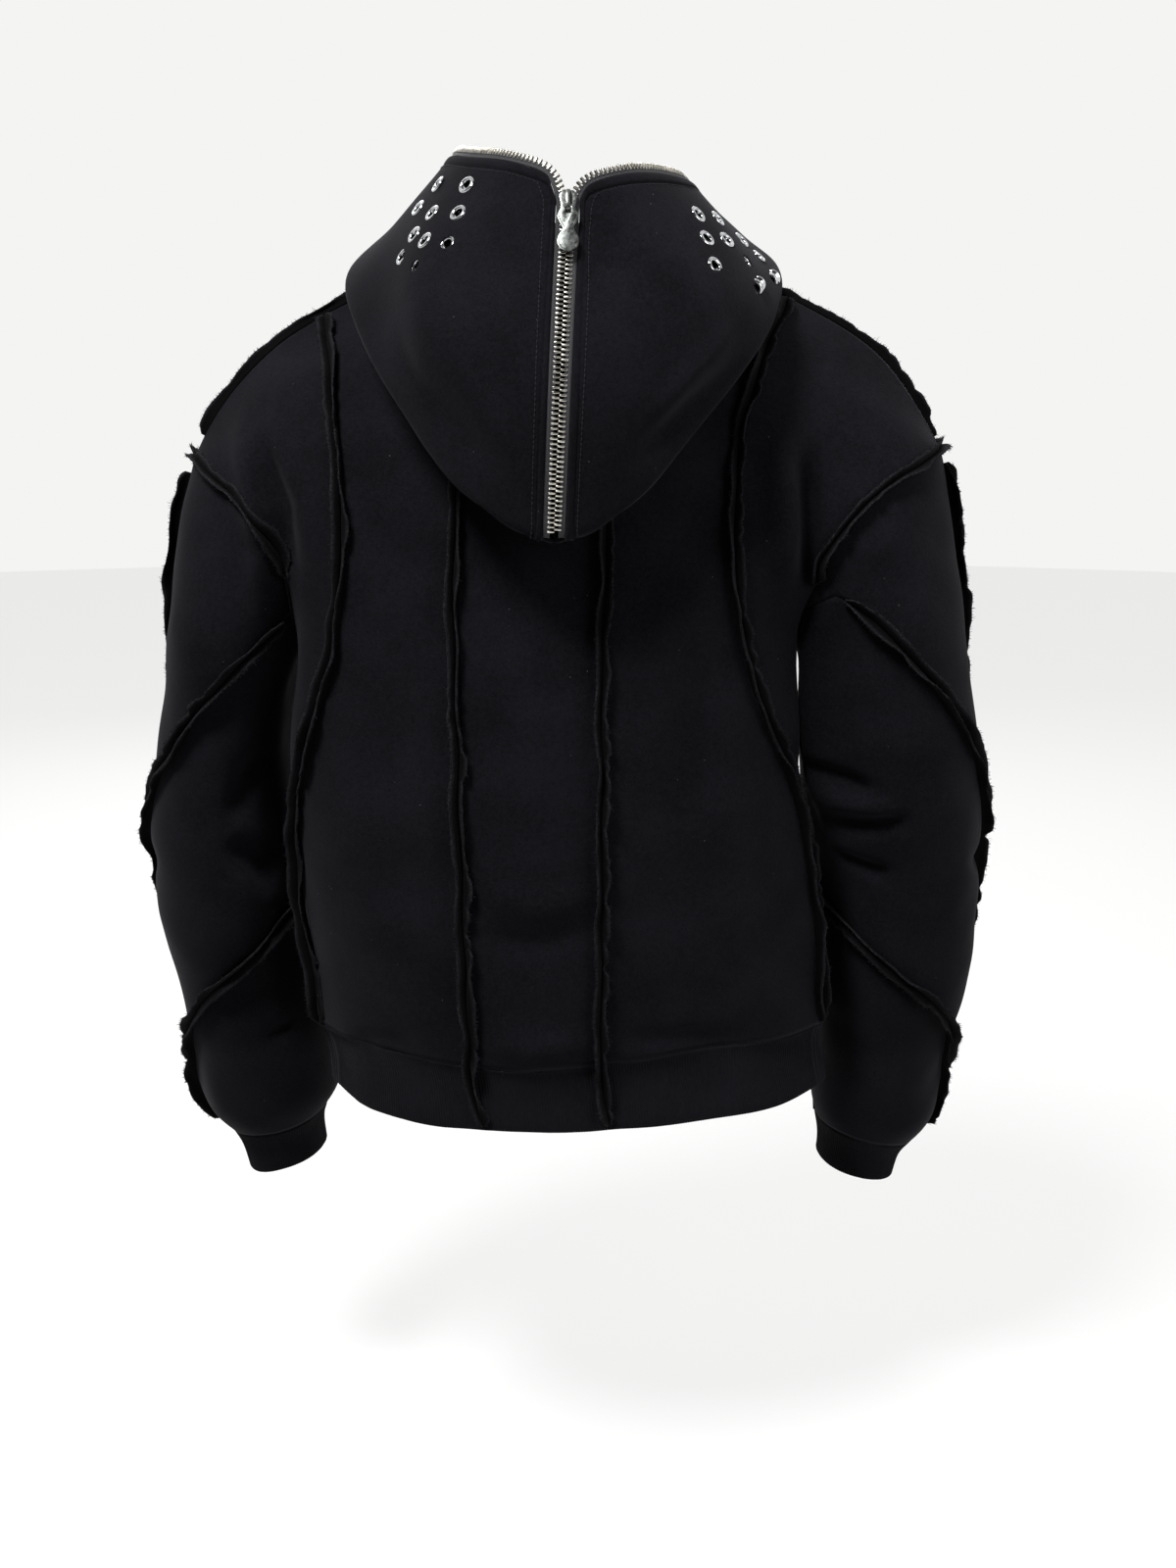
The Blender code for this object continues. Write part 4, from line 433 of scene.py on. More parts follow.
@dataclass(frozen=True)
class Tape:
    """Woven polyester zip tape, black, in a herringbone of about 1 mm: a fine slanted ribbing with a dull gloss."""

    name: str = "woven polyester tape"
    dark: str = "#0b0b0e"
    light: str = "#26262c"
    weave: float = 1.1 * MM

    def make(self) -> bpy.types.Material:
        """Material of the tape, made once. It follows the tape's own map: across and along, in metres."""
        found = bpy.data.materials.get(self.name)
        if found is not None:
            return found
        made = bpy.data.materials.new(self.name)
        made.use_nodes = True
        tree = made.node_tree
        shader = tree.nodes["Principled BSDF"]
        places = add_node(tree, "ShaderNodeUVMap", {"uv_map": "tape"}).outputs["UV"]
        parts = add_node(tree, "ShaderNodeSeparateXYZ", None, {"Vector": places})
        folded = add_node(
            tree, "ShaderNodeMath", {"operation": "PINGPONG", 1: 1.6 * MM}, {0: parts.outputs["X"]}
        )
        slanted = add_node(
            tree, "ShaderNodeMath", {"operation": "ADD"}, {0: folded.outputs[0], 1: parts.outputs["Y"]}
        )
        turns = add_node(
            tree, "ShaderNodeMath", {"operation": "MULTIPLY", 1: 2 * math.pi / self.weave}, {0: slanted.outputs[0]}
        )
        wave = add_node(tree, "ShaderNodeMath", {"operation": "SINE"}, {0: turns.outputs[0]})
        share = add_node(
            tree, "ShaderNodeMapRange", {"From Min": -1.0, "From Max": 1.0}, {"Value": wave.outputs[0]}
        )
        ramp = set_ramp(
            add_node(tree, "ShaderNodeValToRGB", None, {"Fac": share.outputs["Result"]}),
            [(0.2, self.dark), (0.9, self.light)],
        )
        tree.links.new(ramp.outputs["Color"], shader.inputs["Base Color"])
        bump = add_node(
            tree, "ShaderNodeBump", {"Strength": 1.0, "Distance": 0.15 * MM}, {"Height": share.outputs["Result"]}
        )
        tree.links.new(bump.outputs["Normal"], shader.inputs["Normal"])
        shader.inputs["Roughness"].default_value = 0.62
        shader.inputs["Sheen Weight"].default_value = 0.08
        return made


@dataclass(frozen=True)
class Metal:
    """Cast or stamped metal with a plated skin, worn by handling: a clean gloss, broken by fine scuffs."""

    name: str
    colour: str
    worn: str
    roughness: float
    scuff: float = 6.0 * MM

    def make(self) -> bpy.types.Material:
        """Material of the metal, made once."""
        found = bpy.data.materials.get(self.name)
        if found is not None:
            return found
        made = bpy.data.materials.new(self.name)
        made.use_nodes = True
        tree = made.node_tree
        shader = tree.nodes["Principled BSDF"]
        places = add_node(tree, "ShaderNodeTexCoord").outputs["Object"]
        patch = add_node(
            tree, "ShaderNodeTexNoise", {"Scale": 1 / self.scuff, "Detail": 4.0, "Roughness": 0.65}, {"Vector": places}
        )
        fine = add_node(tree, "ShaderNodeTexNoise", {"Scale": 1 / (0.5 * MM), "Detail": 2.0}, {"Vector": places})
        ramp = set_ramp(
            add_node(tree, "ShaderNodeValToRGB", None, {"Fac": patch.outputs["Fac"]}),
            [(0.42, self.colour), (0.68, self.worn)],
        )
        tree.links.new(ramp.outputs["Color"], shader.inputs["Base Color"])
        rough = add_node(
            tree,
            "ShaderNodeMapRange",
            {"From Min": 0.3, "From Max": 0.7, "To Min": self.roughness * 0.8, "To Max": self.roughness * 1.5},
            {"Value": patch.outputs["Fac"]},
        )
        tree.links.new(rough.outputs["Result"], shader.inputs["Roughness"])
        bump = add_node(
            tree, "ShaderNodeBump", {"Strength": 0.5, "Distance": 0.02 * MM}, {"Height": fine.outputs["Fac"]}
        )
        tree.links.new(bump.outputs["Normal"], shader.inputs["Normal"])
        shader.inputs["Metallic"].default_value = 1.0
        return made


FLEECE = Fleece()
# Painted shade: the raw edges are the panels' fleece coloured darker, so that the plies read as the shaded channel of
# each seam.
SHADED_RAW_FLEECE = Fleece(
    name="cut edge of cotton fleece", dark="#030304", light="#0b0b0d", sheen=0.01, grain_height=0.2 * MM, fray=True
)
RIB = Fleece(name="cotton rib knit", dark="#0c0b0e", light="#18161b", grain=0.9 * MM, sheen=0.06)
THREAD = Fleece(name="spun polyester thread", dark="#1b1b1e", light="#2c2c31", grain=0.5 * MM, roughness=0.55)
TAPE = Tape()
NICKEL = Metal("nickel-plated brass", "#aeaba2", "#d6d2c8", 0.22)  # polished zip teeth
CHROME = Metal("chrome-plated brass", "#b9bbbd", "#e6e7e9", 0.08)  # eyelets
GUNMETAL = Metal("gunmetal-plated zinc", "#5d605d", "#7d807e", 0.30, scuff=3.0 * MM)  # slider and pull


# ------------------------------------------------------------------ soft creases
@dataclass(frozen=True)
class Crease:
    """Soft trough or ridge in worn cloth.

    The line runs through its points, the height fades over the half width to both sides and towards both ends,
    and the cloth moves along push.
    """

    path: tuple[tuple[float, float, float], ...]
    width: float
    height: float
    push: tuple[float, float, float]

    def shift(self, points: np.ndarray) -> np.ndarray:
        """How far each point moves."""
        line = even_line(np.array(self.path), 6 * MM)
        reach = self.width * 3.2
        low, high = line.min(0) - reach, line.max(0) + reach
        near = np.all((points > low) & (points < high), axis=1)
        moved = np.zeros_like(points)
        if not near.any():
            return moved
        close = points[near]
        best = np.full(len(close), 1e9)
        share = np.zeros(len(close))
        count = len(line) - 1
        for index in range(count):
            start, way = line[index], line[index + 1] - line[index]
            part = np.clip(((close - start) @ way) / (way @ way), 0, 1)
            gap = np.linalg.norm(close - start - part[:, None] * way, axis=1)
            better = gap < best
            best[better] = gap[better]
            share[better] = (index + part[better]) / count
        taper = smooth_step(np.minimum(share, 1 - share) / 0.38 + 0.12)
        strength = self.height * np.exp(-0.5 * (best / self.width) ** 2) * taper
        moved[near] = strength[:, None] * unit(np.array(self.push))
        return moved


@dataclass
class Drape:
    """The one field of creases and slight unevenness that moves every piece of cloth alike."""

    creases: tuple[Crease, ...]
    waves: int = 8
    wave_height: float = 0.42 * MM
    still_half_width: float = 0.014
    seed: int = 11

    def shift(self, points: np.ndarray) -> np.ndarray:
        """How far each point of the cloth moves.

        Args:
            points: places on the unmoved cloth.

        Returns:
            One move for each.
        """
        moved = np.zeros_like(points)
        random = np.random.default_rng(self.seed)
        for _ in range(self.waves):
            way = unit(random.normal(size=3))
            length = random.uniform(0.035, 0.12)
            turn = random.uniform(0, 2 * math.pi)
            push = random.normal(size=3) * self.wave_height * (length / 0.08)
            moved += np.sin(points @ way * (2 * math.pi / length) + turn)[:, None] * push
        moved *= smooth_step((np.abs(points[:, 0]) - self.still_half_width) / 0.03)[:, None]
        for crease in self.creases:
            moved += crease.shift(points)
        return moved

    def settle(self, made: bpy.types.Object) -> None:
        """Moves a piece's vertices with the cloth."""
        points = mesh_points(made)
        set_points(made, points + self.shift(points))


# ------------------------------------------------------------------ cloth panels
def seat(made: bpy.types.Object, nodes: tuple[str, ...], body: str = "garment") -> None:
    """Puts a piece on its body in place of its nodes.

    Args:
        made: the piece.
        nodes: what it stands for.
        body: what it moves with.
    """
    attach(made, body)
    if nodes:
        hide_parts(*nodes)
    LOG.info("%s: %d faces", made.name, len(made.data.polygons))


def middles_by_height(frame: dict, nodes: tuple[str, ...], bins: int = 24) -> np.ndarray:
    """Middles of a tube of cloth at even heights, as rows of height, x and y."""
    corners = []
    for node in nodes:
        mesh = frame["nodes"][node].data
        values = np.empty(len(mesh.vertices) * 3)
        mesh.vertices.foreach_get("co", values)
        corners.append(values.reshape(-1, 3))
    corners = np.concatenate(corners)
    heights = np.linspace(corners[:, 2].min(), corners[:, 2].max(), bins)
    rows = []
    for height in heights:
        near = corners[np.abs(corners[:, 2] - height) < 0.035]
        if len(near) > 3:
            middle = (near.min(0) + near.max(0)) / 2
            rows.append((height, middle[0], middle[1]))
    return np.array(rows)


def outer_skin(shape: bmesh.types.BMesh, inside: np.ndarray, is_rim: Callable) -> set[int]:
    """Indices of the faces on a wall's outside.

    Args:
        shape: the closed wall.
        inside: middles of the tube it is part of, as rows of height, x and y.
        is_rim: tells whether an edge bounds a skin.

    Returns:
        The faces of the skin that looks away from the middles.
    """
    shape.faces.ensure_lookup_table()
    unseen = set(range(len(shape.faces)))
    skins = []
    while unseen:
        start = unseen.pop()
        skin, queue = [start], [start]
        while queue:
            face = shape.faces[queue.pop()]
            for edge in face.edges:
                if is_rim(edge):
                    continue
                for other in edge.link_faces:
                    if other.index in unseen:
                        unseen.discard(other.index)
                        skin.append(other.index)
                        queue.append(other.index)
        skins.append(skin)
    skins.sort(key=len, reverse=True)
    facing = []
    for skin in skins[:2]:
        middles = np.array([shape.faces[index].calc_center_median() for index in skin])
        normals = np.array([shape.faces[index].normal for index in skin])
        across = (np.interp(middles[:, 2], inside[:, 0], inside[:, axis]) for axis in (1, 2))
        axis = np.stack([*across, middles[:, 2]], axis=1)
        facing.append(float(np.mean(np.sum((middles - axis) * normals, axis=1))))
    return set(skins[int(np.argmax(facing))])


@dataclass
class ClothPanel:
    """One cut piece of the garment as a thin smooth shell on its solid's form."""

    node: str
    inside: np.ndarray = field(repr=False)  # middles of the tube it is part of, by height
    finish: Fleece = FLEECE
    flat: tuple[float, float] = (0.3, 0.6)
    area: float = 0.1
    levels: int = 3
    rim_angle: float = 52.0
    made: bpy.types.Object = field(default=None, repr=False)
    border: np.ndarray = field(default=None, repr=False)
    border_normals: np.ndarray = field(default=None, repr=False)

    def build(self, frame: dict) -> bpy.types.Object:
        """Shell of the panel, smooth inside its sewn borders.

        Args:
            frame: the loaded frame.

        Returns:
            The panel's object.
        """
        mesh = frame["nodes"][self.node].data.copy()
        mesh.materials.clear()
        shape = bmesh.new()
        shape.from_mesh(mesh)
        bmesh.ops.remove_doubles(shape, verts=shape.verts, dist=0.01 * MM)
        bmesh.ops.join_triangles(
            shape,
            faces=shape.faces,
            angle_face_threshold=math.radians(48),
            angle_shape_threshold=math.radians(85),
        )
        sharp = shape.edges.layers.float.new("crease_edge")
        for edge in shape.edges:
            edge[sharp] = 1.0 if edge.calc_face_angle(0) > math.radians(self.rim_angle) else 0.0
        shape.to_mesh(mesh)
        shape.free()
        self.made = bpy.data.objects.new(f"cloth_{self.node}", mesh)
        bpy.context.scene.collection.objects.link(self.made)
        smoother = self.made.modifiers.new("smooth", "SUBSURF")
        smoother.levels = smoother.render_levels = self.levels
        smoother.boundary_smooth = "PRESERVE_CORNERS"
        apply_modifiers(self.made)
        self._find_border()
        return self.made

    def _find_border(self) -> None:
        """Works out which faces are the outside and the ordered line round them."""
        shape = bmesh.new()
        shape.from_mesh(self.made.data)
        sharp = shape.edges.layers.float["crease_edge"]
        shape.faces.ensure_lookup_table()
        outer = outer_skin(shape, self.inside, lambda edge: edge[sharp] > 0.5)
        after: dict[int, list[int]] = {}
        normals: dict[int, np.ndarray] = {}
        for edge in shape.edges:
            if edge[sharp] > 0.5 and sum(face.index in outer for face in edge.link_faces) == 1:
                a, b = (vertex.index for vertex in edge.verts)
                after.setdefault(a, []).append(b)
                after.setdefault(b, []).append(a)
                normal = next(np.array(face.normal) for face in edge.link_faces if face.index in outer)
                for index in (a, b):
                    normals[index] = normals.get(index, 0) + normal
        loops = []
        left = set(after)
        while left:
            start = min(left)
            loop = [start]
            left.discard(start)
            while True:
                step = [index for index in after[loop[-1]] if index in left]
                if not step:
                    break
                loop.append(step[0])
                left.discard(step[0])
            loops.append(loop)
        loop = max(loops, key=len)
        shape.verts.ensure_lookup_table()
        self.border = np.array([shape.verts[index].co for index in loop])
        self.border_normals = unit(np.array([normals[index] for index in loop]))
        shape.free()

    def dress(self, drape: Drape) -> None:
        """Drapes the panel, gives it its finish and puts it on its body."""
        drape.settle(self.made)
        self.made.data.materials.append(self.finish.make())
        self.made.data.polygons.foreach_set("use_smooth", [True] * len(self.made.data.polygons))
        attribute = self.made.data.attributes.get("crease_edge")
        if attribute is not None:
            self.made.data.attributes.remove(attribute)
        seat(self.made, (self.node,))


# ------------------------------------------------------------------ seams
@dataclass
class SeamLine:
    """Where two panels are sewn, with the cloth's outward normals."""

    points: np.ndarray
    normals: np.ndarray

    def joined_to(self, other: "SeamLine") -> "SeamLine":
        """This line with another behind it, both brought to even steps."""
        points = np.concatenate([self.points, other.points])
        normals = np.concatenate([self.normals, other.normals])
        lengths = lengths_along(points)
        places = np.linspace(0, lengths[-1], int(lengths[-1] / (2.5 * MM)))
        both = np.concatenate([points, normals], axis=1)
        both = np.stack([np.interp(places, lengths, both[:, column]) for column in range(6)], axis=1)
        both = softened(both, 2.0)
        return SeamLine(both[:, :3], unit(both[:, 3:]))

    def turned(self) -> "SeamLine":
        """The same line from its other end."""
        return SeamLine(self.points[::-1], self.normals[::-1])

    def raised(self, cloth: BVHTree) -> "SeamLine":
        """The same line, which runs round a sleeve, brought onto the outside of the cloth."""
        reach = 6 * MM
        outward = unit(self.points - self.points.mean(axis=0))
        places = []
        for place, way in zip(self.points, outward):
            hit = cloth.find_nearest(Vector(place + way * reach), reach * 2)[0]
            places.append(place if hit is None else np.array(hit))
        return SeamLine(softened(np.array(places), 2.0), unit(softened(outward, 2.0)))

    def frames(self) -> tuple[np.ndarray, np.ndarray, np.ndarray]:
        """The ways along, across and up from the cloth at each point."""
        along = unit(softened(np.gradient(self.points, axis=0), 1.5))
        normals = softened(self.normals, 2.0)
        normals = unit(normals - np.sum(normals * along, axis=1, keepdims=True) * along)
        return along, np.cross(along, normals), normals


def sewn_lines(
    first: ClothPanel, others: list[ClothPanel], step: float = 2.5 * MM, reach: float = 1.3 * MM
) -> list[SeamLine]:
    """Stretches of a panel's border that lie against others.

    Args:
        first: the panel whose border is followed.
        others: what it is sewn to.
        step: distance between two points of a line.
        reach: how far apart the borders may lie.

    Returns:
        The lines over 50 mm, longest first, each from its lower end up.
    """
    near = np.concatenate([even_line(np.vstack([other.border, other.border[:1]]), 0.6 * MM) for other in others])
    tree = KDTree(len(near))
    for index, place in enumerate(near):
        tree.insert(Vector(place), index)
    tree.balance()
    loop = np.vstack([first.border, first.border[:1]])
    loop_normals = np.vstack([first.border_normals, first.border_normals[:1]])
    lengths = lengths_along(loop)
    count = int(lengths[-1] / step)
    places = np.linspace(0, lengths[-1], count, endpoint=False)
    points = np.stack([np.interp(places, lengths, loop[:, axis]) for axis in range(3)], axis=1)
    normals = np.stack([np.interp(places, lengths, loop_normals[:, axis]) for axis in range(3)], axis=1)
    touches = np.array([tree.find(Vector(place))[2] < reach for place in points])
    for turn in range(1, 4):
        touches |= np.roll(touches, turn) & np.roll(touches, -turn)
    if touches.all():
        touches[int(np.argmin(points[:, 2]))] = False
    first_gap = int(np.argmin(touches))
    order = (np.arange(count) + first_gap) % count
    runs, run = [], []
    for index in [*order, order[0]]:
        if touches[index]:
            run.append(index)
        elif run:
            runs.append(run)
            run = []
    lines = []
    for run in sorted(runs, key=len, reverse=True):
        if len(run) * step < 0.05:
            continue
        if points[run[0], 2] > points[run[-1], 2]:
            run = run[::-1]
        lines.append(SeamLine(softened(points[run], 1.0), unit(normals[run])))
    return lines


@dataclass
class RawSeam:
    """Seam allowance left on the outside: two plies that stand up from the stitches, part and curl, fraying at their
    tops.
    """

    node: str
    width: float = 9.5 * MM
    splay: float = 0.42
    lean: float = 0.0
    wave_length: float = 0.075
    phase: float = 0.3
    trims: tuple[float, float] = (1 * MM, 1 * MM)
    ply: float = 1.5 * MM
    sunk: float = 2.0 * MM
    stitched: float = 3.0 * MM
    room: float = 1.0 * MM
    tapered: float = 14.0 * MM
    fibre_spacing: float = 1.2 * MM  # from one loose thread to the next
    seed: int = 1

    def build(self, line: SeamLine, cloth: BVHTree) -> bpy.types.Object:
        """Both plies with their loose fibres.

        Args:
            line: the seam that they stand on.
            cloth: the garment's surface, which they keep clear of.

        Returns:
            The raw edge's object.
        """
        lengths = lengths_along(line.points)
        kept = (lengths >= self.trims[0]) & (lengths <= lengths[-1] - self.trims[1])
        points, lengths = line.points[kept], lengths[kept]
        _, across, upward = (part[kept] for part in line.frames())
        random = np.random.default_rng(self.seed)
        rough = softened(random.normal(size=(len(points), 6)), 1.2) * 1.2
        slow = softened(random.normal(size=(len(points), 6)), 7.0) * 5.0
        notch = 1 - softened(0.55 * (random.random(len(points)) < 0.10), 0.9)
        ends = smooth_step(np.minimum(lengths - lengths[0], lengths[-1] - lengths) / self.tapered + 0.45)
        wave = np.sin(2 * math.pi * lengths / self.wave_length + self.phase)
        second = np.sin(2 * math.pi * lengths / (self.wave_length * 0.61) + self.phase * 2.3)
        lean = self.lean + 0.10 * wave + 0.10 * slow[:, 0]
        free = self._free(points, across, upward, lean, cloth)
        all_points, all_faces, fray_and_shade_shares = [], [], []
        for hand in (-1, 1):
            tall = self.width + MM * (0.7 * second * hand + 0.7 * slow[:, 1 + hand] + 0.65 * rough[:, 1 + hand])
            tall = np.minimum(tall * (notch if hand > 0 else 1.0) * ends, free) + self.sunk
            turn = lean + hand * (self.splay + 0.12 * second + 0.14 * slow[:, 4] * hand) + 0.05 * rough[:, 3]
            curl = 0.40 * hand + 0.35 * slow[:, 3 + hand]
            rings, shares = self._ply(points, across, upward, tall, turn, lean, curl, hand)
            first = len(all_points)
            count = rings.shape[1]
            all_points.extend(rings.reshape(-1, 3))
            all_faces.extend(grid_faces(len(rings), count, first, closed=True))
            all_faces.append(tuple(first + index for index in range(count)))
            last = first + (len(rings) - 1) * count
            all_faces.append(tuple(last + index for index in reversed(range(count))))
            fray_and_shade_shares.extend(np.tile(shares, len(rings)))
            self._fibres(rings, all_points, all_faces, fray_and_shade_shares, random)
        made = make_piece(f"seam_{self.node}", np.array(all_points), all_faces)
        # Share up each ply, 0 at its root and 1 at its top: the material frays the top and paints shade at the root
        # with it.
        values = np.array(fray_and_shade_shares, dtype=np.float32)
        made.data.attributes.new("fray", "FLOAT", "POINT").data.foreach_set("value", values)
        return made

    def _free(
        self, points: np.ndarray, across: np.ndarray, upward: np.ndarray, lean: np.ndarray, cloth: BVHTree
    ) -> np.ndarray:
        """How tall the edge may stand at each point before it meets other cloth."""
        tall = self.width + 3 * MM
        room = np.full(len(points), tall)
        for turn in (-self.splay, 0.0, self.splay):
            for index, (place, side, up, tilt) in enumerate(zip(points, across, upward, lean)):
                way = side * math.sin(turn + tilt) + up * math.cos(turn + tilt)
                hit = cloth.ray_cast(Vector(place + up * 1.2 * MM), Vector(way), tall)[3]
                if hit is not None:
                    room[index] = min(room[index], max(hit - self.room, 1.2 * MM))
        lowest = np.array([room[max(0, index - 2) : index + 3].min() for index in range(len(room))])
        return softened(lowest, 1.5)

    def _ply(
        self,
        points: np.ndarray,
        across: np.ndarray,
        upward: np.ndarray,
        tall: np.ndarray,
        turn: np.ndarray,
        lean: np.ndarray,
        curl: np.ndarray,
        hand: int,
    ) -> tuple[np.ndarray, np.ndarray]:
        """Sections of one ply and the share up the ply at each of their points, which sets its fraying at the top and
        its painted shade at the root.
        """
        shares = np.array([0.0, 0.22, 0.40, 0.60, 0.80, 0.93])
        centre = [points + across * (hand * self.ply * 0.5) - upward * self.sunk]
        for near, far in zip(shares, shares[1:]):
            middle = (near + far) / 2
            stitched = smooth_step((middle * tall - self.sunk - self.stitched * 0.5) / self.stitched)
            angle = lean * 0.6 * (1 - stitched) + (turn + curl * max(middle - 0.45, 0) * 1.8) * stitched
            way = across * np.sin(angle)[:, None] + upward * np.cos(angle)[:, None]
            centre.append(centre[-1] + way * (tall * (far - near))[:, None])
        centre = np.array(centre)
        ways = unit(np.gradient(centre, axis=0))
        sides = unit(np.cross(ways, np.gradient(points, axis=0)[None]))
        half = self.ply / 2 * np.array([0.9, 0.95, 1.0, 1.05, 1.15, 0.95])[:, None, None]
        top = centre[-1] + ways[-1] * (tall * 0.07)[:, None]
        left, right = centre - sides * half, centre + sides * half
        rings = np.concatenate([left, top[None], right[::-1]])
        fray = np.concatenate([shares, [1.0], shares[::-1]])
        return rings.transpose(1, 0, 2), fray

    def _fibres(
        self,
        rings: np.ndarray,
        points: list,
        faces: list,
        fray_and_shade_shares: list,
        random: np.random.Generator,
    ) -> None:
        """Adds loose fibres along a ply's top."""
        top_index = rings.shape[1] // 2
        tops = rings[:, top_index]
        below = (rings[:, top_index - 1] + rings[:, top_index + 1]) / 2
        ways = unit(tops - below)
        widths = rings[:, top_index + 1] - rings[:, top_index - 1]
        count = int(lengths_along(tops)[-1] / self.fibre_spacing)
        spots = random.uniform(0, len(tops) - 1.001, count)
        tufts = softened(random.random(len(tops)) ** 4, 1.0)
        tufts = tufts / max(tufts.max(), 1e-9)
        for spot in spots:
            low, part = int(spot), spot % 1
            base = tops[low] * (1 - part) + tops[low + 1] * part
            base = base + widths[low] * random.uniform(-0.42, 0.42) - ways[low] * 0.6 * MM
            size = (random.gamma(2.0, 0.50) + 1.2 + 1.6 * tufts[low] * random.random()) * MM
            way = unit(ways[low] + random.normal(size=3) * 0.40)
            bend = unit(way + random.normal(size=3) * 0.7)
            add_fibre(points, faces, base, way, bend, size, random.uniform(0.12, 0.30) * MM)
            fray_and_shade_shares.extend([1.0] * 7)


def add_fibre(
    points: list, faces: list, base: np.ndarray, way: np.ndarray, bend: np.ndarray, size: float, thick: float
) -> None:
    """Adds one tapered fibre, bent in its middle, as a closed three-sided thread."""
    beside = unit(np.cross(way, [0.31, 0.52, 0.79]))
    other = np.cross(way, beside)
    first = len(points)
    middle = base + way * size * 0.5
    for place, radius in ((base, thick), (middle, thick * 0.8)):
        for turn in (0.0, 2.094, 4.189):
            points.append(place + (beside * math.cos(turn) + other * math.sin(turn)) * radius)
    points.append(middle + bend * size * 0.5)
    for side in range(3):
        after = (side + 1) % 3
        faces.append((first + side, first + after, first + 3 + after, first + 3 + side))
        faces.append((first + 3 + side, first + 3 + after, first + 6))
    faces.append((first + 2, first + 1, first))


